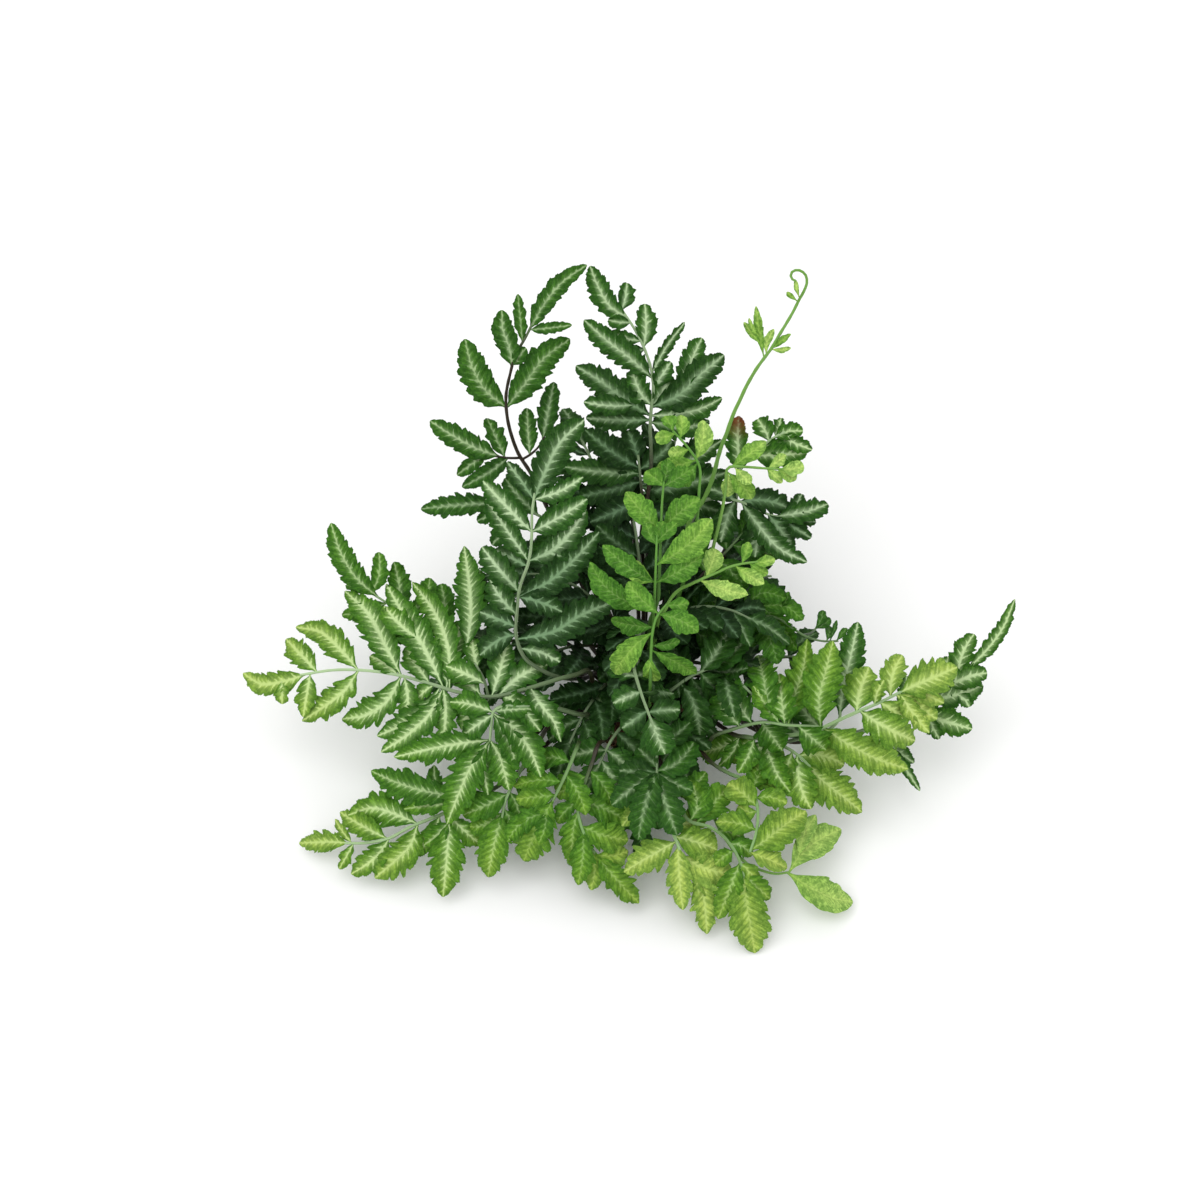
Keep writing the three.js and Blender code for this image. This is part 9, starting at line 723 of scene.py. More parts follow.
     [[[5.1,-1.5,36,1.15],[4.3,-3.7,48.1,1.11],[4,-2.9,53.9,1.07],[3.7,-3.1,60.7,1.02],[2.5,-6.1,64.1,0.98],[6.1,-1.4,77.3,0.94],[7.7,-2.1,84,0.9],[16.9,-4.5,93,0.81],[27.9,-7.5,99.4,0.73],[40.4,-10.8,100.6,0.64],[52.2,-14,96,0.55]]],
     [[10.5,-0.62,0.05,0.79,8.4,-2.3,84.7,10.7,-15.6,91.5,19,-26.9,94.4],
      [7.5,-0.67,-0.47,0.57,8.4,-2.3,84.7,6,-5.7,78.2,8.3,-13.1,75.6],
      [10.5,-0.59,0.24,0.77,8.7,-2.3,85,17.1,7.1,91.7,29.7,13.3,96],
      [7.5,-0.61,0.29,0.73,8.7,-2.3,85,10.8,6.9,85.5,17.3,14.4,85.5],
      [9.8,-0.61,0.08,0.78,15.9,-4.3,92,19.7,-15.2,99.3,28.4,-25.5,104.1],
      [7,-0.66,0,0.75,15.9,-4.3,92,14.6,-12.2,92.8,17.7,-20.7,93.5],
      [9.8,-0.58,0.24,0.78,15.4,-4.1,91.5,23.8,3.9,98.9,36.6,9.5,103],
      [7,-0.6,0.29,0.74,15.4,-4.1,91.5,17.7,4.2,91.9,23.9,9.8,93.1],
      [8.8,-0.41,0.03,0.91,23.1,-6.2,96.6,27.8,-15.8,101.3,36,-24.7,103],
      [8.8,-0.37,0.18,0.91,22.9,-6.1,96.5,32.1,0.2,101.3,43.9,4.1,103],
      [7.8,-0.03,-0.07,1,33,-8.8,99.9,37.6,-18.5,101.2,43.9,-27,98.9],
      [7.8,0.01,0.08,1,32.4,-8.7,99.8,40.9,-3.1,101.1,50.6,0.8,98.8],
      [6.9,0.39,-0.19,0.9,41.8,-11.2,100.1,45.6,-20.1,98.4,49.8,-27.7,93],
      [6.9,0.4,-0.07,0.91,41.9,-11.2,100,50.4,-7.4,98.6,58.3,-4.6,93.4],
      [10.3,0.42,-0.12,0.9,45.6,-12.2,98.6,58.7,-16.8,94.8,69.9,-20.8,86.2]]),
]


# ---------------------------------------------------------------- camera
def camera():
    data = bpy.data.cameras.new("camera")
    data.lens, data.sensor_width, data.sensor_fit = 75.0, 36.0, "AUTO"
    cam = bpy.data.objects.new("camera", data)
    scene.collection.objects.link(cam)
    aim = Vector((-0.024, -0.029, 0.130))
    tilt = math.radians(50)
    look = Vector((0, math.cos(tilt), -math.sin(tilt)))
    cam.location = aim - look * 1.2
    cam.rotation_mode = "QUATERNION"
    cam.rotation_quaternion = look.to_track_quat("-Z", "Y")
    data.clip_start, data.clip_end = 0.05, 20
    scene.camera = cam


camera()


# ---------------------------------------------------------------- small helpers
def curve_through(points, per=14):
    """A smooth line through the points, finely sampled: positions and length along it."""
    p = np.asarray(points, float)
    n = len(p)
    if n == 2:
        t = np.linspace(0, 1, per + 1)[:, None]
        q = p[0] * (1 - t) + p[1] * t
    else:
        d = np.maximum(np.linalg.norm(np.diff(p[:, :3], axis=0), axis=1), 1e-6) ** 0.5
        s = np.concatenate([[0], np.cumsum(d)])
        m = np.zeros_like(p)
        m[0] = (p[1] - p[0]) / d[0]
        m[-1] = (p[-1] - p[-2]) / d[-1]
        for i in range(1, n - 1):
            a, b = (p[i] - p[i - 1]) / d[i - 1], (p[i + 1] - p[i]) / d[i]
            m[i] = (a * d[i] + b * d[i - 1]) / (d[i] + d[i - 1])
        out = []
        for i in range(n - 1):
            u = np.linspace(0, 1, per, endpoint=False)[:, None]
            h = d[i]
            out.append((2 * u**3 - 3 * u**2 + 1) * p[i] + (u**3 - 2 * u**2 + u) * h * m[i]
                       + (-2 * u**3 + 3 * u**2) * p[i + 1] + (u**3 - u**2) * h * m[i + 1])
        out.append(p[-1:])
        q = np.concatenate(out)
    length = np.concatenate([[0], np.cumsum(np.linalg.norm(np.diff(q[:, :3], axis=0), axis=1))])
    return q, length


def sample(q, length, at):
    return np.stack([np.interp(at, length, q[:, k]) for k in range(q.shape[1])], axis=1)


def unit(a):
    return a / np.maximum(np.linalg.norm(a, axis=-1, keepdims=True), 1e-9)


def smooth_table(knots, t):
    """A rounded curve through (t, value) pairs."""
    k = np.asarray(knots, float)
    q, _ = curve_through(np.column_stack([k, np.zeros(len(k))]), 10)
    x = np.maximum.accumulate(q[:, 0])
    return np.interp(t, x, q[:, 1])


class Build:
    """Vertices, faces and three vector attributes gathered for one mesh."""

    def __init__(self):
        self.v, self.f, self.a, self.b, self.c, self.n = [], [], [], [], [], 0

    def add(self, verts, faces, material, a, b, c=None):
        self.v.append(verts)
        self.f.extend((np.asarray(f) + self.n, material) for f in faces)
        self.a.append(a)
        self.b.append(b)
        self.c.append(np.zeros((len(verts), 3)) if c is None else c)
        self.n += len(verts)

    def mesh(self, name, materials, sharp=50):
        v = np.concatenate(self.v).astype(np.float32) * MM
        loops = np.concatenate([f.ravel() for f, _ in self.f]).astype(np.int32)
        totals = np.concatenate([np.full(len(f), f.shape[1]) for f, _ in self.f]).astype(np.int32)
        starts = np.concatenate([[0], np.cumsum(totals)[:-1]]).astype(np.int32)
        slots = np.concatenate([np.full(len(f), m) for f, m in self.f]).astype(np.int32)
        me = bpy.data.meshes.new(name)
        me.vertices.add(len(v))
        me.vertices.foreach_set("co", v.ravel())
        me.loops.add(len(loops))
        me.loops.foreach_set("vertex_index", loops)
        me.polygons.add(len(totals))
        me.polygons.foreach_set("loop_start", starts)
        me.polygons.foreach_set("material_index", slots)
        me.update(calc_edges=True)
        me.validate()
        for key, rows in (("leaf", self.a), ("tint", self.b), ("mark", self.c)):
            at = me.attributes.new(key, "FLOAT_VECTOR", "POINT")
            at.data.foreach_set("vector", np.concatenate(rows).astype(np.float32).ravel())
        me.shade_smooth()
        me.set_sharp_from_angle(angle=math.radians(sharp))
        for m in materials:
            me.materials.append(m)
        ob = bpy.data.objects.new(name, me)
        scene.collection.objects.link(ob)
        return ob


def grid_faces(rows, cols, first=0, closed=False, flip=False):
    i = np.arange(rows - 1)[:, None]
    j = np.arange(cols if closed else cols - 1)[None, :]
    a = first + i * cols + j
    b = first + i * cols + (j + 1) % cols
    q = np.stack([a, b, b + cols, a + cols], axis=-1).reshape(-1, 4)
    return q[:, ::-1] if flip else q


# ---------------------------------------------------------------- leaflets
OUTLINES = {
    "old": [(0, .08), (.04, .14), (.10, .50), (.20, .84), (.34, .98), (.48, 1), (.62, .93), (.76, .76), (.87, .54), (.95, .30), (1, .03)],
    "mid": [(0, .07), (.05, .12), (.12, .50), (.24, .88), (.40, 1), (.56, .96), (.71, .76), (.84, .50), (.93, .28), (1, .03)],
    "young": [(0, .06), (.07, .12), (.18, .42), (.32, .82), (.46, 1), (.60, .99), (.74, .82), (.86, .56), (.95, .27), (1, .04)],
}
OUTLINES["small"] = OUTLINES["crozier"] = OUTLINES["young"]
# kind: tooth pitch, tooth depth, lobe length, lobe depth, ruffle height, fold, quilting height (mm)
MARGIN = {
    "old": (1.50, 0.42, 4.6, 0.22, 1.20, 0.20, 0.34),
    "mid": (1.35, 0.42, 5.4, 0.25, 1.45, 0.15, 0.38),
    "young": (1.9, 0.15, 6.5, 0.13, 0.60, 0.20, 0.12),
    "small": (1.7, 0.22, 5.0, 0.14, 0.40, 0.20, 0.08),
    "crozier": (1.9, 0.14, 5.5, 0.10, 0.30, 0.30, 0.06),
}
WIDER = {"old": 1.04, "mid": 1.04, "young": 1.04, "small": 1.10, "crozier": 0.86}
TOP = np.array([-1, -.76, -.46, -.17, 0, .17, .46, .76, 1])
TOP_PLAIN = np.array([-1, -.55, 0, .55, 1])
UNDER = np.array([-.5, 0, .5])
THICK = 0.34


def leaflet(build, row, kind, tone, silver, rng, fine, blush=0.0, cut=1.0, near=0.7):
    width, normal = row[0] * WIDER[kind], np.array(row[1:4])
    q, length = curve_through(np.array(row[4:]).reshape(-1, 3))
    total = length[-1]
    pitch, depth, lobe, lobing, ruffle, fold, quilt = MARGIN[kind]
    depth, lobing = depth * cut, lobing * cut
    share = min(1.0, width / 9.0)
    pitch *= 0.8 + 0.2 * share
    lobe *= 0.55 + 0.45 * share
    teeth = max(5, int(round(total / pitch)))
    phases, bite = ((0.0, 0.5, 0.84), (0.0, 0.62, 1.0)) if fine and kind != "old" else ((0.0, 0.7), (0.0, 1.0))
    at = np.concatenate([[j + p for p in phases] for j in range(teeth)] + [[teeth]]) / teeth
    bite = np.concatenate([list(bite)] * teeth + [[0.0]])
    jag = 0.45 + 0.8 * rng.random(teeth + 1)
    bite = bite * jag[np.minimum((at * teeth).astype(int), teeth)]
    n = len(at)
    pos = sample(q, length, at * total)
    tangent = unit(np.gradient(pos, axis=0))
    side = unit(np.cross(tangent, normal))
    twist = (rng.random() - 0.5) * 0.95 * at
    up = unit(np.cross(side, tangent))
    side, up = (side * np.cos(twist)[:, None] + up * np.sin(twist)[:, None],
                up * np.cos(twist)[:, None] - side * np.sin(twist)[:, None])
    half = smooth_table(OUTLINES[kind], at) * width / 2
    half = np.maximum(half, 0.32 * (1 - at) + 0.03)
    along = at * total
    body = np.clip(half / max(width / 2, 1e-6), 0, 1)
    pulse = [rng.random() * 6.28 for _ in range(8)]
    sizes = rng.random((2, 64))
    lean = fold * (0.6 + 0.8 * rng.random())
    cup = (rng.random() - 0.62) * 0.10 * width

    def across(v):
        """For one column: distance across, forward shift and height."""
        s = 0 if v < 0 else 1
        u = along / lobe + 0.16 * np.sin(along * 0.7 + pulse[2 + s]) + pulse[s]
        part = u - np.floor(u)
        big = sizes[s][np.floor(u).astype(int) % 64]
        scallop = np.where(part < 0.7, np.sin(np.minimum(part / 0.7, 1) * np.pi / 2) ** 0.8, np.cos((part - 0.7) / 0.3 * np.pi / 2) ** 0.8)
        edge = 1 + lobing * (0.55 + 0.9 * big) * (scallop - 0.62) * 1.6 + 0.10 * (big - 0.5)
        m = abs(v)
        d = half * (1 + (edge - 1) * body * m) + depth * share * bite * body**0.6 * m**3
        d = d * m
        forward = (0.14 if kind == "young" else 0.34) * d + 0.30 * depth * bite * m**3 * body + (0.5 * pitch * m * body if v < 0 else 0)
        forward = forward + 0.10 * lobe * (scallop - 0.5) * m**2 * body
        vein = along - 0.75 * d
        z = (lean * d + cup * m * m * body
             + ruffle * share * body * m**2 * np.sin(along * 2 * np.pi / (lobe * 1.5) + pulse[4 + s])
             + quilt * share * (0.5 - 0.5 * np.cos(2 * np.pi * (vein + 0.3 * pulse[6]) / 2.9)) * 4 * m * (1 - m) * body
             - 0.10 * np.exp(-(d / 0.45) ** 2))
        return np.sign(v) * d, forward, z

    def column(v, drop):
        d, forward, z = across(v)
        z = z - drop * (0.35 + 0.65 * np.minimum(1, body * 1.4))
        p = pos + side * d[:, None] + tangent * forward[:, None] + up * z[:, None]
        a = np.column_stack([along + forward, d, np.full(n, v)])
        return p, a

    columns = TOP if fine else TOP_PLAIN
    top = [column(v, 0.0) for v in columns]
    under = [column(v, THICK * (1 if v == 0 else 0.8)) for v in UNDER]
    verts = np.concatenate([np.stack([p for p, _ in top], 1).reshape(-1, 3), np.stack([p for p, _ in under], 1).reshape(-1, 3)])
    a = np.concatenate([np.stack([x for _, x in top], 1).reshape(-1, 3), np.stack([x for _, x in under], 1).reshape(-1, 3)])
    w, k = len(columns), len(UNDER)
    first = n * w
    # Leaflet tone: darker towards the crown and at each leaflet's base, lighter towards the frond's tip; partly the
    # frond's own paler young tips, partly painted shade near the crown and at the leaflet bases.
    away = min(1.0, float(np.hypot(pos[n // 2][0], pos[n // 2][1])) / 150)
    spread = {"young": 0.22, "old": 0.16}.get(kind, 0.16)
    shade = float(np.clip(tone + (rng.random() - 0.5) * spread + ({"mid": 0.18, "old": 0.06}.get(kind, 0) * (away - 0.68)) + ({"mid": 0.46, "old": 0.14}.get(kind, 0) * (near - 0.79)), 0, 1))
    b = np.zeros((len(verts), 3))
    b[:first, 0] = shade + (0.20 if kind == "mid" else 0.10) * (np.repeat(at, w) - 0.4)
    b[first:, 0] = shade
    b[:, 1] = silver * (0.85 + 0.3 * rng.random()) * (1 + 0.12 * (away - 0.7))
    b[first:, 2] = 1.0
    c = np.zeros((len(verts), 3))
    c[:first, 0] = blush * np.repeat(np.clip((at - 0.55) / 0.35, 0, 1), w)
    c[:, 1] = 1.0 if silver < 0.01 else 0.0
    c[:, 2] = rng.random()
    faces = [grid_faces(n, w)]
    i = np.arange(n - 1)[:, None]
    left, right = i * w, i * w + w - 1
    strip = [left] + [first + i * k + j for j in range(k)] + [right]
    step = [w] + [k] * k + [w]
    for j in range(len(strip) - 1):
        faces.append(np.concatenate([strip[j] + step[j], strip[j + 1] + step[j + 1], strip[j + 1], strip[j]], axis=1))
    cap = np.array([list(range(w))[::-1] + [first + j for j in range(k)]])
    end = (n - 1) * w
    last = np.array([[end + j for j in range(w)] + [first + (n - 1) * k + j for j in range(k)][::-1]])
    build.add(verts, faces + [cap, last], 0, a, b, c)


# ---------------------------------------------------------------- stalks and midribs
def stalk(build, axis, tone, silver, dark, rng, root, thick=1.15):
    """A tapering rod, grooved above. The main one reaches down into the crown."""
    p = np.array(axis, float)
    if root:
        inward = np.array([p[0, 0] * 0.75, p[0, 1] * 0.75, min(p[0, 2] - 3.5, 29.0)])
        p = np.vstack([[*inward, p[0, 3] * 1.05], p])
    q, length = curve_through(p, 12)
    total = length[-1]
    n = max(6, int(total / 2.0))
    at = np.linspace(0, total, n)
    at[-1] = total
    c = sample(q, length, at)
    r = np.maximum(c[:, 3] * thick, 0.18)
    pos = c[:, :3]
    tangent = unit(np.gradient(pos, axis=0))
    ref = np.array([0, 0, 1.0]) if abs(tangent[0, 2]) < 0.9 else np.array([0, 1.0, 0])
    ups = []
    for t in tangent:
        ref = ref - t * (ref @ t)
        ref = ref / max(np.linalg.norm(ref), 1e-9)
        ups.append(ref)
    ups = np.array(ups)
    sides = np.cross(tangent, ups)
    m = 8
    ang = np.arange(m) / m * 2 * np.pi + np.pi / 2
    groove = np.ones(m)
    groove[0] = 0.62
    swell = 1 + 0.05 * np.sin(at * 0.9 + rng.random() * 6) + 0.04 * np.sin(at * 2.3 + rng.random() * 6)
    rr = (r * swell)[:, None] * groove[None, :]
    verts = pos[:, None, :] + sides[:, None, :] * (np.cos(ang)[None, :] * rr)[..., None] + ups[:, None, :] * (np.sin(ang)[None, :] * rr)[..., None]
    verts = verts.reshape(-1, 3)
    f = at / total
    a = np.column_stack([np.repeat(at, m), np.tile(np.cos(ang), n), np.repeat(f, m)])
    b = np.column_stack([np.full(n * m, tone), np.full(n * m, dark), np.repeat((0.0 if root else 1.0) + 0 * f, m)])
    b[:, 2] = np.repeat(np.clip(silver * (0.25 + 0.9 * f), 0, 1), m)
    faces = [grid_faces(n, m, closed=True), np.array([list(range(m))[::-1]]), np.array([[(n - 1) * m + j for j in range(m)]])]
    build.add(verts, faces, 1, a, b)


# ---------------------------------------------------------------- materials
def rgb(r, g, b):
    """An sRGB colour, 0 to 255, as linear."""
    def lin(x):
        x /= 255
        return x / 12.92 if x <= 0.04045 else ((x + 0.055) / 1.055) ** 2.4
    return (lin(r), lin(g), lin(b), 1.0)


class Nodes:
    def __init__(self, name):
        self.mat = bpy.data.materials.new(name)
        self.mat.use_nodes = True
        self.tree = self.mat.node_tree
        self.tree.nodes.clear()
        self.out = self.tree.nodes.new("ShaderNodeOutputMaterial")
        self.bsdf = self.tree.nodes.new("ShaderNodeBsdfPrincipled")
        self.tree.links.new(self.bsdf.outputs[0], self.out.inputs[0])

    def node(self, kind, **props):
        n = self.tree.nodes.new(kind)
        for k, val in props.items():
            setattr(n, k, val)
        return n

    def set(self, socket, value):
        if isinstance(value, bpy.types.NodeSocket):
            self.tree.links.new(value, socket)
        elif value is not None:
            socket.default_value = value
        return socket

    def math(self, op, a, b=None, c=None, clamp=False):
        n = self.node("ShaderNodeMath", operation=op, use_clamp=clamp)
        for k, val in enumerate((a, b, c)):
            if val is not None:
                self.set(n.inputs[k], val)
        return n.outputs[0]

    def attribute(self, name):
        a = self.node("ShaderNodeAttribute", attribute_name=name, attribute_type="GEOMETRY")
        s = self.node("ShaderNodeSeparateXYZ")
        self.tree.links.new(a.outputs["Vector"], s.inputs[0])
        return s.outputs

    def xyz(self, x, y, z):
        n = self.node("ShaderNodeCombineXYZ")
        for k, val in enumerate((x, y, z)):
            self.set(n.inputs[k], val)
        return n.outputs[0]

    def noise(self, vector, scale, detail=2.0, rough=0.5):
        n = self.node("ShaderNodeTexNoise")
        self.set(n.inputs["Vector"], vector)
        n.inputs["Scale"].default_value = scale
        n.inputs["Detail"].default_value = detail
        n.inputs["Roughness"].default_value = rough
        return n.outputs["Fac"]

    def white(self, vector):
        n = self.node("ShaderNodeTexWhiteNoise", noise_dimensions="3D")
        self.set(n.inputs["Vector"], vector)
        return n.outputs["Value"]

    def ramp(self, fac, stops, mode="LINEAR"):
        n = self.node("ShaderNodeValToRGB")
        n.color_ramp.interpolation = mode
        els = n.color_ramp.elements
        while len(els) < len(stops):
            els.new(0.5)
        for e, (at, col) in zip(els, sorted(stops)):
            e.position = at
            e.color = col
        self.set(n.inputs[0], fac)
        return n.outputs[0]

    def step(self, value, low, high, a=0.0, b=1.0):
        n = self.node("ShaderNodeMapRange", interpolation_type="SMOOTHSTEP")
        self.set(n.inputs["Value"], value)
        self.set(n.inputs["From Min"], low)
        self.set(n.inputs["From Max"], high)
        self.set(n.inputs["To Min"], a)
        self.set(n.inputs["To Max"], b)
        return n.outputs[0]

    def mix(self, fac, a, b, blend="MIX"):
        n = self.node("ShaderNodeMix", data_type="RGBA", blend_type=blend)
        self.set(n.inputs[0], fac)
        self.set(n.inputs[6], a)
        self.set(n.inputs[7], b)
        return n.outputs[2]

    def bump(self, height, distance, strength=1.0, normal=None):
        n = self.node("ShaderNodeBump")
        n.inputs["Distance"].default_value = distance
        n.inputs["Strength"].default_value = strength
        self.set(n.inputs["Height"], height)
        if normal is not None:
            self.set(n.inputs["Normal"], normal)
        return n.outputs[0]


def leaf_material():
    g = Nodes("fern_leaflet")
    x, d, v = g.attribute("leaf")
    tone, silver, under = g.attribute("tint")
    blush, plain, seed = g.attribute("mark")
    dist = g.math("ABSOLUTE", d)
    edge = g.math("ABSOLUTE", v)
    side = g.math("SIGN", d)
    place = g.xyz(x, d, g.math("MULTIPLY", seed, 57.0))
    grain = g.noise(place, 0.9, 3.0, 0.6)
    cloud = g.noise(place, 0.30, 2.0, 0.5)
    # the line that a side vein follows: it leaves the midrib forwards and wanders a little
    c = g.math("SUBTRACT", x, g.math("MULTIPLY", dist, 0.80))
    spot = g.xyz(g.math("MULTIPLY", c, 0.22), g.math("MULTIPLY", side, 3.1), g.math("MULTIPLY", seed, 41.0))
    wander = g.noise(spot, 1.0, 1.0)
    c2 = g.math("ADD", c, g.math("MULTIPLY", wander, 3.2))
    c2 = g.math("ADD", c2, g.math("MULTIPLY", side, 0.8))
    c2 = g.math("ADD", c2, g.math("MULTIPLY", grain, 0.9))
    q = g.math("DIVIDE", c2, g.step(tone, 0.1, 0.8, 4.3, 3.3))
    fr = g.math("FRACT", q)
    tri = g.math("SUBTRACT", 1.0, g.math("MULTIPLY", g.math("ABSOLUTE", g.math("SUBTRACT", fr, 0.5)), 2.0))
    each = g.white(g.xyz(g.math("FLOOR", q), side, g.math("MULTIPLY", seed, 13.0)))
    # silver streaks: fine strokes along the side veins, densest at the midrib, each with its own reach
    brush = g.noise(g.xyz(g.math("MULTIPLY", c2, 1.5), g.math("MULTIPLY", d, 0.22), g.math("MULTIPLY", seed, 23.0)), 1.0, 2.0, 0.6)
    reach = g.math("MULTIPLY", g.math("ADD", g.math("MULTIPLY", each, 0.62), 0.26), g.step(silver, 0.0, 1.0, 0.42, 1.15))
    need = g.math("ADD", g.math("MULTIPLY", g.math("DIVIDE", edge, reach), 0.74), 0.42)
    stroke = g.math("MULTIPLY", tri, tri)
    made = g.math("ADD", g.math("MULTIPLY", stroke, g.step(tone, 0.30, 0.60, 0.62, 0.52)), g.math("MULTIPLY", brush, g.step(tone, 0.30, 0.60, 0.92, 1.05)))
    made = g.math("ADD", made, g.math("MULTIPLY", g.math("SUBTRACT", grain, 0.5), 0.35))
    spike = g.step(g.math("SUBTRACT", made, need), -0.04, 0.26)
    core_width = g.math("ADD", g.step(silver, 0.0, 1.0, 0.0, 0.10), g.math("MULTIPLY", g.math("SUBTRACT", cloud, 0.5), 0.16))
    core = g.step(g.math("SUBTRACT", edge, core_width), 0.12, -0.06)
    core = g.math("MULTIPLY", core, g.step(silver, 0.32, 0.80, 0.15, 1.0))
    feather = g.math("MAXIMUM", spike, core)
    haze = g.step(edge, g.step(silver, 0.0, 1.0, 0.15, 0.80), 0.0)
    strength = g.step(silver, 0.02, 0.90, 0.10, 0.96)
    base = g.ramp(tone, [
        (0.00, rgb(24, 48, 20)), (0.12, rgb(32, 64, 22)), (0.22, rgb(42, 80, 26)), (0.30, rgb(48, 92, 28)), (0.50, rgb(58, 106, 28)),
        (0.62, rgb(70, 120, 32)), (0.72, rgb(86, 134, 36)), (0.84, rgb(108, 148, 50)), (1.00, rgb(144, 176, 76))])
    fresh = g.ramp(tone, [
        (0.60, rgb(50, 94, 32)), (0.76, rgb(74, 126, 40)), (0.85, rgb(94, 146, 50)), (0.92, rgb(118, 164, 64)), (1.00, rgb(150, 188, 92))])
    pale = g.ramp(tone, [
        (0.00, rgb(104, 138, 104)), (0.14, rgb(124, 156, 114)), (0.26, rgb(184, 208, 164)), (0.52, rgb(190, 214, 158)), (0.70, rgb(196, 220, 156)),
        (0.84, rgb(192, 214, 134)), (1.00, rgb(190, 212, 122))])
    base = g.mix(plain, base, fresh)
    # painted light and shade in blotches: lit and shaded copies of the base green, darker where hollows would lie in
    # shade, lighter on swellings and in patches near the middle
    light = g.mix(1.0, base, (1.50, 1.36, 1.45, 1), "MULTIPLY")
    deep = g.mix(1.0, base, (0.40, 0.50, 0.42, 1), "MULTIPLY")
    painted_light_shade = g.mix(g.step(g.math("ADD", g.math("MULTIPLY", grain, 0.55), g.math("MULTIPLY", brush, 0.45)), 0.38, 0.62), deep, light)
    painted_light_shade = g.mix(0.92, base, painted_light_shade)
    painted_light_shade = g.mix(g.math("MULTIPLY", g.step(cloud, 0.58, 0.36), 0.60), painted_light_shade, deep)
    middle = g.math("MULTIPLY", g.step(edge, 0.80, 0.05), g.step(cloud, 0.32, 0.60, 0.45, 1.0))
    painted_light_shade = g.mix(g.math("MULTIPLY", middle, g.step(plain, 0.0, 1.0, 0.55, 0.30)), painted_light_shade, g.mix(1.0, base, (2.10, 1.62, 1.95, 1), "MULTIPLY"))
    # painted shade in the furrows between the side veins
    painted_furrow_shade = g.math("MULTIPLY", g.step(tri, 0.52, 0.05), g.step(edge, 1.0, 0.45))
    painted_furrow_shade = g.math("MULTIPLY", painted_furrow_shade, g.step(grain, 0.30, 0.60, 0.35, 1.0))
    painted_light_shade = g.mix(g.math("MULTIPLY", painted_furrow_shade, g.step(plain, 0.0, 1.0, 0.62, 0.28)), painted_light_shade, deep)
    rim = g.math("MULTIPLY", g.step(edge, 0.50, 1.0), g.step(plain, 0.0, 1.0, 0.50, 0.10))
    green = g.mix(rim, painted_light_shade, g.mix(1.0, base, (0.50, 0.62, 0.50, 1), "MULTIPLY"))
    haze = g.math("MULTIPLY", haze, g.step(tone, 0.20, 0.50, 0.74, 0.32))
    haze = g.math("MULTIPLY", haze, g.step(grain, 0.25, 0.60, 0.55, 1.0))
    crisp = g.math("MULTIPLY", g.step(silver, 0.58, 0.68), g.step(tone, 0.34, 0.27))
    haze = g.math("MULTIPLY", haze, g.math("SUBTRACT", 1.0, g.math("MULTIPLY", crisp, 0.58)))
    green = g.mix(g.math("MULTIPLY", haze, strength), green, pale)
    streak = g.math("MULTIPLY", g.math("MULTIPLY", feather, strength), g.step(grain, 0.20, 0.60, 0.66, 1.0))
    streak = g.math("MULTIPLY", streak, g.step(edge, 0.10, 0.85, 1.0, 0.62))
    colour = g.mix(streak, green, pale)
    # the midrib and fine side veins
    rib = g.math("MULTIPLY", g.step(dist, 0.55, 0.14), g.step(grain, 0.22, 0.52, 0.55, 1.0))
    faint = g.mix(g.step(silver, 0.20, 0.60), g.mix(1.0, base, (2.3, 1.75, 2.2, 1), "MULTIPLY"), pale)
    colour = g.mix(g.math("MULTIPLY", rib, g.step(silver, 0.20, 0.8, 0.22, 0.70)), colour, faint)
    vein = g.step(tri, 0.84, 0.98)
    colour = g.mix(g.math("MULTIPLY", g.math("MULTIPLY", vein, g.step(edge, 0.95, 0.2)), g.step(plain, 0.0, 1.0, 0.10, 0.16)), colour, pale)
    colour = g.mix(g.math("MULTIPLY", blush, g.step(grain, 0.25, 0.55, 0.5, 0.9)), colour, rgb(112, 52, 32))
    # dull underside
    colour = g.mix(g.math("MULTIPLY", under, 0.45), colour, g.mix(0.35, base, rgb(120, 145, 100)))
    g.set(g.bsdf.inputs["Base Color"], colour)
    g.set(g.bsdf.inputs["Roughness"], g.step(grain, 0.2, 0.8, 0.46, 0.62))
    g.bsdf.inputs["Specular IOR Level"].default_value = 0.09
    height = g.math("ADD", g.math("MULTIPLY", tri, -0.8), g.math("MULTIPLY", grain, 1.1))
    small = g.noise(place, 5.5, 2.0, 0.5)
    height = g.math("ADD", height, g.math("MULTIPLY", small, 0.25))
    g.set(g.bsdf.inputs["Normal"], g.bump(height, 0.00028, 0.75))
    return g.mat


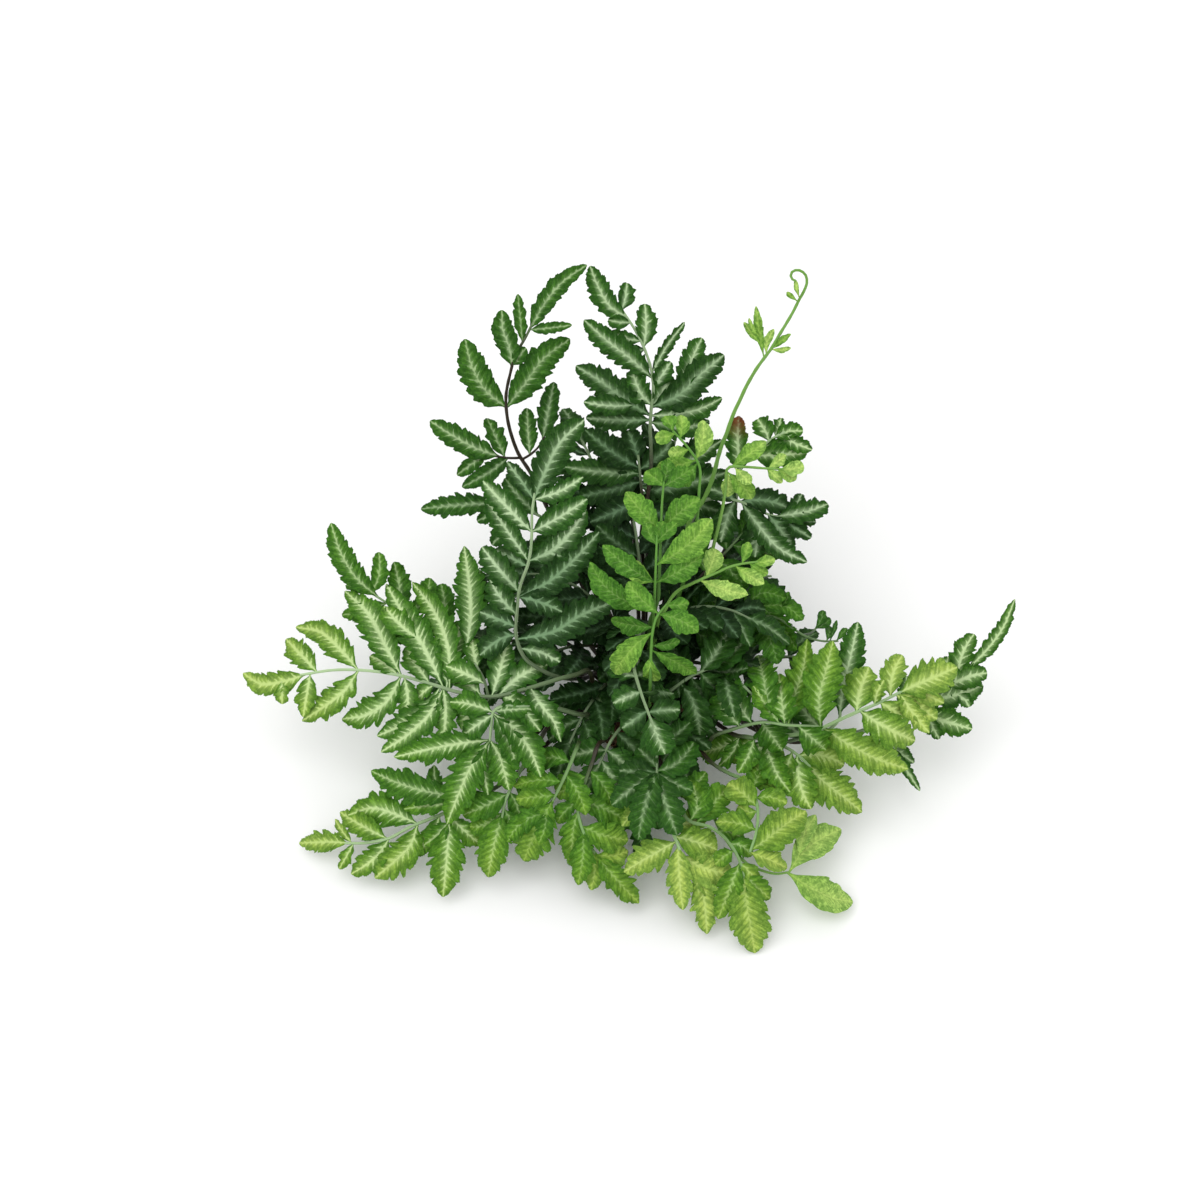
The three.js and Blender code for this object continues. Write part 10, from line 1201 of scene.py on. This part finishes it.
def stalk_material():
    g = Nodes("fern_stalk")
    x, round_, f = g.attribute("leaf")
    tone, dark, silver = g.attribute("tint")
    grain = g.noise(g.xyz(g.math("MULTIPLY", x, 0.25), g.math("MULTIPLY", round_, 1.5), tone), 3.0, 3.0, 0.6)
    fresh = g.ramp(tone, [(0.0, rgb(40, 58, 36)), (0.3, rgb(66, 96, 48)), (0.6, rgb(84, 126, 52)), (0.85, rgb(94, 146, 56)), (1.0, rgb(116, 160, 72))])
    bloom = g.mix(g.math("MULTIPLY", silver, 0.9), fresh, rgb(180, 206, 158))
    woody = g.mix(g.step(grain, 0.3, 0.7), rgb(30, 26, 19), rgb(58, 46, 30))
    # brown from the foot up, over a share of the length set for each frond
    share = g.math("ADD", f, g.math("MULTIPLY", g.math("SUBTRACT", grain, 0.5), 0.12))
    brown = g.step(g.math("SUBTRACT", share, dark), 0.10, -0.10)
    # painted shade: on all but the palest fronds the stalk is darkened up to about half its length, where it runs under
    # the leaflets
    shaded = g.mix(1.0, bloom, (0.40, 0.40, 0.40, 1), "MULTIPLY")
    colour = g.mix(g.math("MULTIPLY", g.step(share, 0.88, 0.45), g.step(tone, 0.90, 0.80)), bloom, shaded)
    colour = g.mix(brown, colour, woody)
    colour = g.mix(g.math("MULTIPLY", g.step(grain, 0.45, 0.75), 0.3), colour, g.mix(1.0, colour, (0.7, 0.72, 0.7, 1), "MULTIPLY"))
    g.set(g.bsdf.inputs["Base Color"], colour)
    g.set(g.bsdf.inputs["Roughness"], g.step(grain, 0.3, 0.7, 0.34, 0.52))
    g.bsdf.inputs["Specular IOR Level"].default_value = 0.28
    g.set(g.bsdf.inputs["Normal"], g.bump(grain, 0.0002, 0.5))
    return g.mat


def woody_material(name, deep, light, roughness):
    g = Nodes(name)
    x, y, z = g.attribute("leaf")
    a, b, c = g.attribute("tint")
    n = g.noise(g.xyz(x, y, z), 0.35, 4.0, 0.65)
    fine = g.noise(g.xyz(x, y, z), 1.8, 3.0, 0.6)
    colour = g.mix(g.step(n, 0.3, 0.72), deep, light)
    colour = g.mix(g.math("MULTIPLY", a, 0.6), colour, g.mix(1.0, light, (1.5, 1.35, 1.2, 1), "MULTIPLY"))
    colour = g.mix(g.step(fine, 0.5, 0.8), colour, g.mix(1.0, colour, (0.6, 0.6, 0.6, 1), "MULTIPLY"))
    g.set(g.bsdf.inputs["Base Color"], colour)
    g.set(g.bsdf.inputs["Roughness"], g.step(fine, 0.3, 0.7, roughness - 0.1, roughness + 0.1))
    g.bsdf.inputs["Specular IOR Level"].default_value = 0.25
    g.set(g.bsdf.inputs["Normal"], g.bump(fine, 0.0004, 0.6))
    return g.mat


LEAF, STALK = leaf_material(), stalk_material()
WOOD = woody_material("rhizome_bark", rgb(38, 26, 18), rgb(84, 58, 36), 0.8)
SCALE = woody_material("rhizome_scale", rgb(58, 36, 20), rgb(122, 82, 46), 0.6)
ROOT = woody_material("wiry_root", rgb(40, 28, 20), rgb(96, 70, 46), 0.85)
# Share of each stalk that is dark brown; the rest is green. On the front and right-front fronds the brown is carried
# further up than elsewhere, as painted shade where the stalks run under the leaflets.
"""Share of each stalk that is dark brown; the rest is green."""
DARK = {"old": 0.55, "mid": 0.44, "young": 0.06, "small": 0.25, "crozier": 0.05}
DARK_BY_NAME = {
    "frond_back_left": 0.97, "frond_back_inner": 0.9, "frond_back_centre": 0.62, "frond_right_back": 0.7, "frond_right_silver": 0.6,
    "frond_centre_silver": 0.30, "frond_left_silver": 0.32, "frond_right_mid": 0.9, "frond_front_right": 0.62, "frond_front_far_right": 0.6,
    "frond_centre_forward": 0.4, "frond_centre_low": 0.5,
    "frond_front_centre": 0.66, "frond_front_mid_left": 0.66, "frond_front_left_wide": 0.66, "frond_front_left": 0.66, "frond_front_low_left": 0.6,
    "frond_right_fore": 0.52, "frond_right_front": 0.5, "frond_right_low": 0.6, "frond_front_right_inner": 0.56, "frond_left_low": 0.52,
}

"""Tone and silver of fronds whose surface differs from the rest of their kind."""
LOOK = {
    "frond_left_silver": (0.67, 1.0), "frond_left_front": (0.43, 0.60), "frond_right_fore": (0.66, 0.46), "frond_right_front": (0.84, 0.76),
    "frond_right_low": (0.76, 0.58), "frond_front_far_right": (1.0, 0.0), "frond_front_right_inner": (0.82, 0.32), "frond_front_right": (0.70, 0.34), "frond_front_left_wide": (0.60, 0.24), "frond_front_left": (0.56, 0.32),
    "frond_front_centre": (0.92, 0.52), "frond_front_mid_left": (0.72, 0.24), "frond_left_low": (0.70, 0.68), "frond_front_low_left": (0.50, 0.52),
    "frond_back_centre": (0.25, 0.58), "frond_right_silver": (0.20, 0.62), "frond_back_inner": (0.14, 0.50), "frond_right_mid": (0.50, 0.26),
    "frond_right_inner": (0.48, 0.14), "frond_back_left": (0.36, 0.42), "frond_left_upper": (0.28, 0.40), "frond_left_back": (0.50, 0.40),
    "frond_right_far": (0.44, 0.96), "frond_right_dark": (0.36, 0.66), "frond_right_back": (0.46, 0.74), "frond_centre_silver": (0.22, 0.80),
    "frond_centre_forward": (0.22, 0.50), "frond_centre_low": (0.22, 0.32), "frond_centre_right": (0.20, 0.36), "frond_centre_left_low": (0.24, 0.38),
    "young_frond_right_top": (1.0, 0.0), "young_frond_right": (0.96, 0.0),
}

"""Fronds with smoother margins: the share of their kind's tooth and lobe depth."""
CUT = {"frond_back_left": 0.75, "frond_left_back": 0.85, "frond_front_far_right": 0.22, "frond_front_right_inner": 0.55, "frond_front_right": 0.75, "frond_front_left": 0.8, "frond_left_silver": 0.9}

for k, (name, kind, tone, silver, axes, blades) in enumerate(FRONDS):
    rng = np.random.default_rng(7000 + k)
    build = Build()
    tone, silver = LOOK.get(name, (tone, silver * (0.7 if name.startswith(("frond_inner", "frond_rear", "frond_lower")) else 1.0)))
    fine = not name.startswith(("frond_inner", "frond_lower", "frond_rear"))
    dark = DARK_BY_NAME.get(name, DARK[kind])
    top_leaf = max(blades, key=lambda r: r[-2] * 0.766 + r[-1] * 0.643)[1:]
    tip = axes[0][-1][:3]
    span = max(1.0, math.dist(axes[0][0][:3], tip))
    fuller = 1.22 if name.startswith(("frond_inner", "frond_lower")) else 1.0
    for row in blades:
        row = [row[0] * fuller] + row[1:]
        leaflet(build, row, kind, tone, silver, rng, fine, 1.0 if name == "frond_right_back" and row[1:] == top_leaf else 0.0, CUT.get(name, 1.0), 1 - min(1.0, math.dist(row[4:7], tip) / span))
    for i, axis in enumerate(axes):
        stalk(build, axis, tone, silver, dark if i == 0 else (0.0 if dark < 0.8 else 1.2), rng, i == 0, {"crozier": 1.18, "mid": 1.25}.get(kind, 1.12))
    piece = build.mesh(name + "_leaf", [LEAF, STALK])
    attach(piece, "root")
    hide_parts(name)


# ---------------------------------------------------------------- rhizome crown
def crown():
    rng = np.random.default_rng(51)
    build = Build()
    lo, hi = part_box("rhizome_crown")
    cx, cy = (lo.x + hi.x) / 2 / MM, (lo.y + hi.y) / 2 / MM
    rx, ry = (hi.x - lo.x) / 2 / MM, (hi.y - lo.y) / 2 / MM
    z0, z1 = lo.z / MM - 1.5, hi.z / MM
    rows, cols = 26, 56
    t = np.linspace(0, 1, rows)
    prof = smooth_table([(0, .62), (.12, .88), (.3, 1), (.5, .97), (.68, .84), (.82, .62), (.93, .36), (1, .06)], t)
    ang = np.arange(cols) / cols * 2 * np.pi
    lump = np.zeros((rows, cols))
    for _ in range(34):
        a0, t0, s, h = rng.random() * 6.283, rng.random() * 0.95, 0.10 + 0.12 * rng.random(), 0.03 + 0.05 * rng.random()
        da = np.angle(np.exp(1j * (ang[None, :] - a0)))
        lump += h * np.exp(-((da / (s * 2.2)) ** 2 + ((t[:, None] - t0) / s) ** 2))
    r = prof[:, None] * (0.90 + lump)
    v = np.stack([cx + rx * r * np.cos(ang), cy + ry * r * np.sin(ang), np.repeat((z0 + (z1 - z0) * t)[:, None], cols, 1)], -1).reshape(-1, 3)
    faces = [grid_faces(rows, cols, closed=True), np.array([list(range(cols))[::-1]]), np.array([[(rows - 1) * cols + j for j in range(cols)]])]
    build.add(v, faces, 0, v.copy(), np.zeros((len(v), 3)))
    # narrow papery scales that lie along the rhizome and stand off a little at their tips
    for _ in range(260):
        a0, t0 = rng.random() * 6.283, 0.10 + 0.82 * rng.random()
        pr = float(np.interp(t0, t, prof)) * 0.97
        base = np.array([cx + rx * pr * math.cos(a0), cy + ry * pr * math.sin(a0), z0 + (z1 - z0) * t0])
        out = unit(np.array([math.cos(a0) / rx, math.sin(a0) / ry, (t0 - 0.45) * 0.10]))
        upw = unit(np.array([-out[0] * 0.4, -out[1] * 0.4, 1.0]) + (rng.random(3) - 0.5) * 0.9)
        upw = unit(upw - out * (upw @ out))
        sd = np.cross(upw, out)
        ln, wd = 3.2 + 2.6 * rng.random(), 0.45 + 0.35 * rng.random()
        tt = np.linspace(0, 1, 7)
        hw = wd * np.array([.5, .9, 1, .85, .6, .32, .06])
        lift = 0.15 + 1.5 * tt**2 * rng.random()
        mid = base + upw * (ln * tt)[:, None] + out * lift[:, None]
        top = np.stack([mid - sd * hw[:, None], mid + out * 0.16, mid + sd * hw[:, None], mid - out * 0.10], 1)
        f = [grid_faces(7, 4, closed=True), np.array([[3, 2, 1, 0]]), np.array([[24, 25, 26, 27]])]
        vv = top.reshape(-1, 3)
        bb = np.zeros((len(vv), 3))
        bb[:, 0] = np.repeat(tt, 4)
        build.add(vv, f, 1, vv.copy(), bb)
    piece = build.mesh("rhizome_crown_bark", [WOOD, SCALE], 60)
    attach(piece, "root")
    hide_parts("rhizome_crown")


# ---------------------------------------------------------------- root mass
def roots():
    rng = np.random.default_rng(90)
    build = Build()
    lo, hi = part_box("root_mass")
    rx, ry, top = (hi.x - lo.x) / 2 / MM, (hi.y - lo.y) / 2 / MM, hi.z / MM
    rows, cols = 16, 40
    t = np.linspace(0, 1, rows)
    prof = smooth_table([(0, .80), (.2, .88), (.45, .88), (.7, .74), (.9, .50), (1, .34)], t)
    ang = np.arange(cols) / cols * 2 * np.pi
    lump = 1 + 0.05 * np.sin(3 * ang[None, :] + 4 * t[:, None]) + 0.05 * np.sin(7 * ang[None, :] - 5 * t[:, None] + 1)
    r = prof[:, None] * lump
    v = np.stack([rx * r * np.cos(ang), ry * r * np.sin(ang), np.repeat((0.4 + (top + 0.6 - 0.4) * t)[:, None], cols, 1)], -1).reshape(-1, 3)
    faces = [grid_faces(rows, cols, closed=True), np.array([list(range(cols))[::-1]]), np.array([[(rows - 1) * cols + j for j in range(cols)]])]
    build.add(v, faces, 0, v.copy(), np.zeros((len(v), 3)))
    sides = 5
    around = np.arange(sides) / sides * 2 * np.pi

    def tube(path, rad, shade):
        q, length = curve_through(path, 6)
        n = max(8, int(length[-1] / 1.9))
        at = np.linspace(0, length[-1], n)
        p = sample(q, length, at)
        rr = rad * (1 - 0.55 * at / length[-1]) * (1 + 0.12 * np.sin(at * 1.7 + shade * 9))
        p[:, 2] = np.clip(p[:, 2], rr * 1.02, None)
        tg = unit(np.gradient(p, axis=0))
        s1 = unit(np.cross(tg, np.array([0.13, 0.21, 0.97])))
        s2 = np.cross(tg, s1)
        vv = (p[:, None, :] + s1[:, None, :] * (np.cos(around) * rr[:, None])[..., None] + s2[:, None, :] * (np.sin(around) * rr[:, None])[..., None]).reshape(-1, 3)
        vv[:, 2] = np.maximum(vv[:, 2], 0.0)
        f = [grid_faces(n, sides, closed=True, flip=True), np.array([list(range(sides))]), np.array([[(n - 1) * sides + j for j in range(sides)][::-1]])]
        bb = np.zeros((len(vv), 3))
        bb[:, 0] = shade
        build.add(vv, f, 0, vv.copy(), bb)

    for k in range(300):
        a0 = rng.random() * 6.283
        sweep = (rng.random() - 0.5) * 2.6
        pts = []
        reach = 0.80 + 0.19 * rng.random()
        knots = 6
        for j in range(knots):
            u = j / (knots - 1)
            a = a0 + sweep * u + 0.25 * (rng.random() - 0.5)
            z = (top + 0.8) * (1 - u) ** 1.1 + 0.6 * u + 1.6 * (rng.random() - 0.5) * (u > 0.1)
            zz = min(max(z, 0.5), top + 0.8)
            rad = float(np.interp(zz / (top + 0.6), t, prof)) + 0.05 + 0.04 * rng.random()
            shrink = reach if u > 0.5 else 1.0
            pts.append([rx * rad * math.cos(a) * (0.55 + 0.45 * min(1, u * 3)) * (shrink if zz > 2 else 1), ry * rad * math.sin(a) * (0.55 + 0.45 * min(1, u * 3)) * (shrink if zz > 2 else 1), zz])
        tube(np.array(pts), 0.42 + 0.36 * rng.random(), rng.random())
    for k in range(130):
        a0, r0 = rng.random() * 6.283, 0.25 + 0.65 * rng.random()
        pts = []
        for j in range(5):
            a = a0 + (j - 2) * (0.16 + 0.3 * rng.random())
            rad = min(0.97, r0 + 0.10 * (rng.random() - 0.5))
            pts.append([rx * rad * math.cos(a), ry * rad * math.sin(a), 0.45 + 1.4 * rng.random()])
        tube(np.array(pts), 0.40 + 0.25 * rng.random(), rng.random())
    piece = build.mesh("root_mass_wiry", [ROOT], 60)
    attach(piece, "root")
    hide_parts("root_mass")


crown()
roots()


# ---------------------------------------------------------------- floor and light
def plain(name, colour, roughness):
    g = Nodes(name)
    g.bsdf.inputs["Base Color"].default_value = colour
    g.bsdf.inputs["Roughness"].default_value = roughness
    g.bsdf.inputs["Specular IOR Level"].default_value = 0.1
    return g.mat


def surroundings():
    me = bpy.data.meshes.new("floor")
    s = 6.0
    me.from_pydata([(-s, -s, 0), (s, -s, 0), (s, s, 0), (-s, s, 0)], [], [(0, 1, 2, 3)])
    me.materials.append(plain("floor_paper", (0.955, 0.955, 0.95, 1), 0.9))
    floor = bpy.data.objects.new("floor", me)
    floor.location = (0, 0, -0.0004)
    scene.collection.objects.link(floor)
    world = bpy.data.worlds.new("studio")
    scene.world = world
    world.use_nodes = True
    world.node_tree.nodes["Background"].inputs[0].default_value = (1.0, 1.0, 1.0, 1)
    world.node_tree.nodes["Background"].inputs[1].default_value = 0.68

    def area(name, place, size, watts, aim=(0, 0, 0.08)):
        data = bpy.data.lights.new(name, "AREA")
        data.shape, data.size, data.energy = "DISK", size, watts
        ob = bpy.data.objects.new(name, data)
        ob.location = place
        ob.rotation_mode = "QUATERNION"
        ob.rotation_quaternion = (Vector(aim) - Vector(place)).to_track_quat("-Z", "Y")
        scene.collection.objects.link(ob)

    area("key_softbox", (-0.5, -0.85, 1.8), 2.1, 23.5)
    area("fill_softbox", (1.1, -0.3, 1.2), 1.0, 2.5)
    area("rear_softbox", (0.3, 1.5, 1.2), 1.4, 6.0)
    scene.view_settings.view_transform = "Standard"
    scene.view_settings.look = "None"
    scene.view_settings.exposure = 0.0
    scene.view_settings.gamma = 1.0


surroundings()
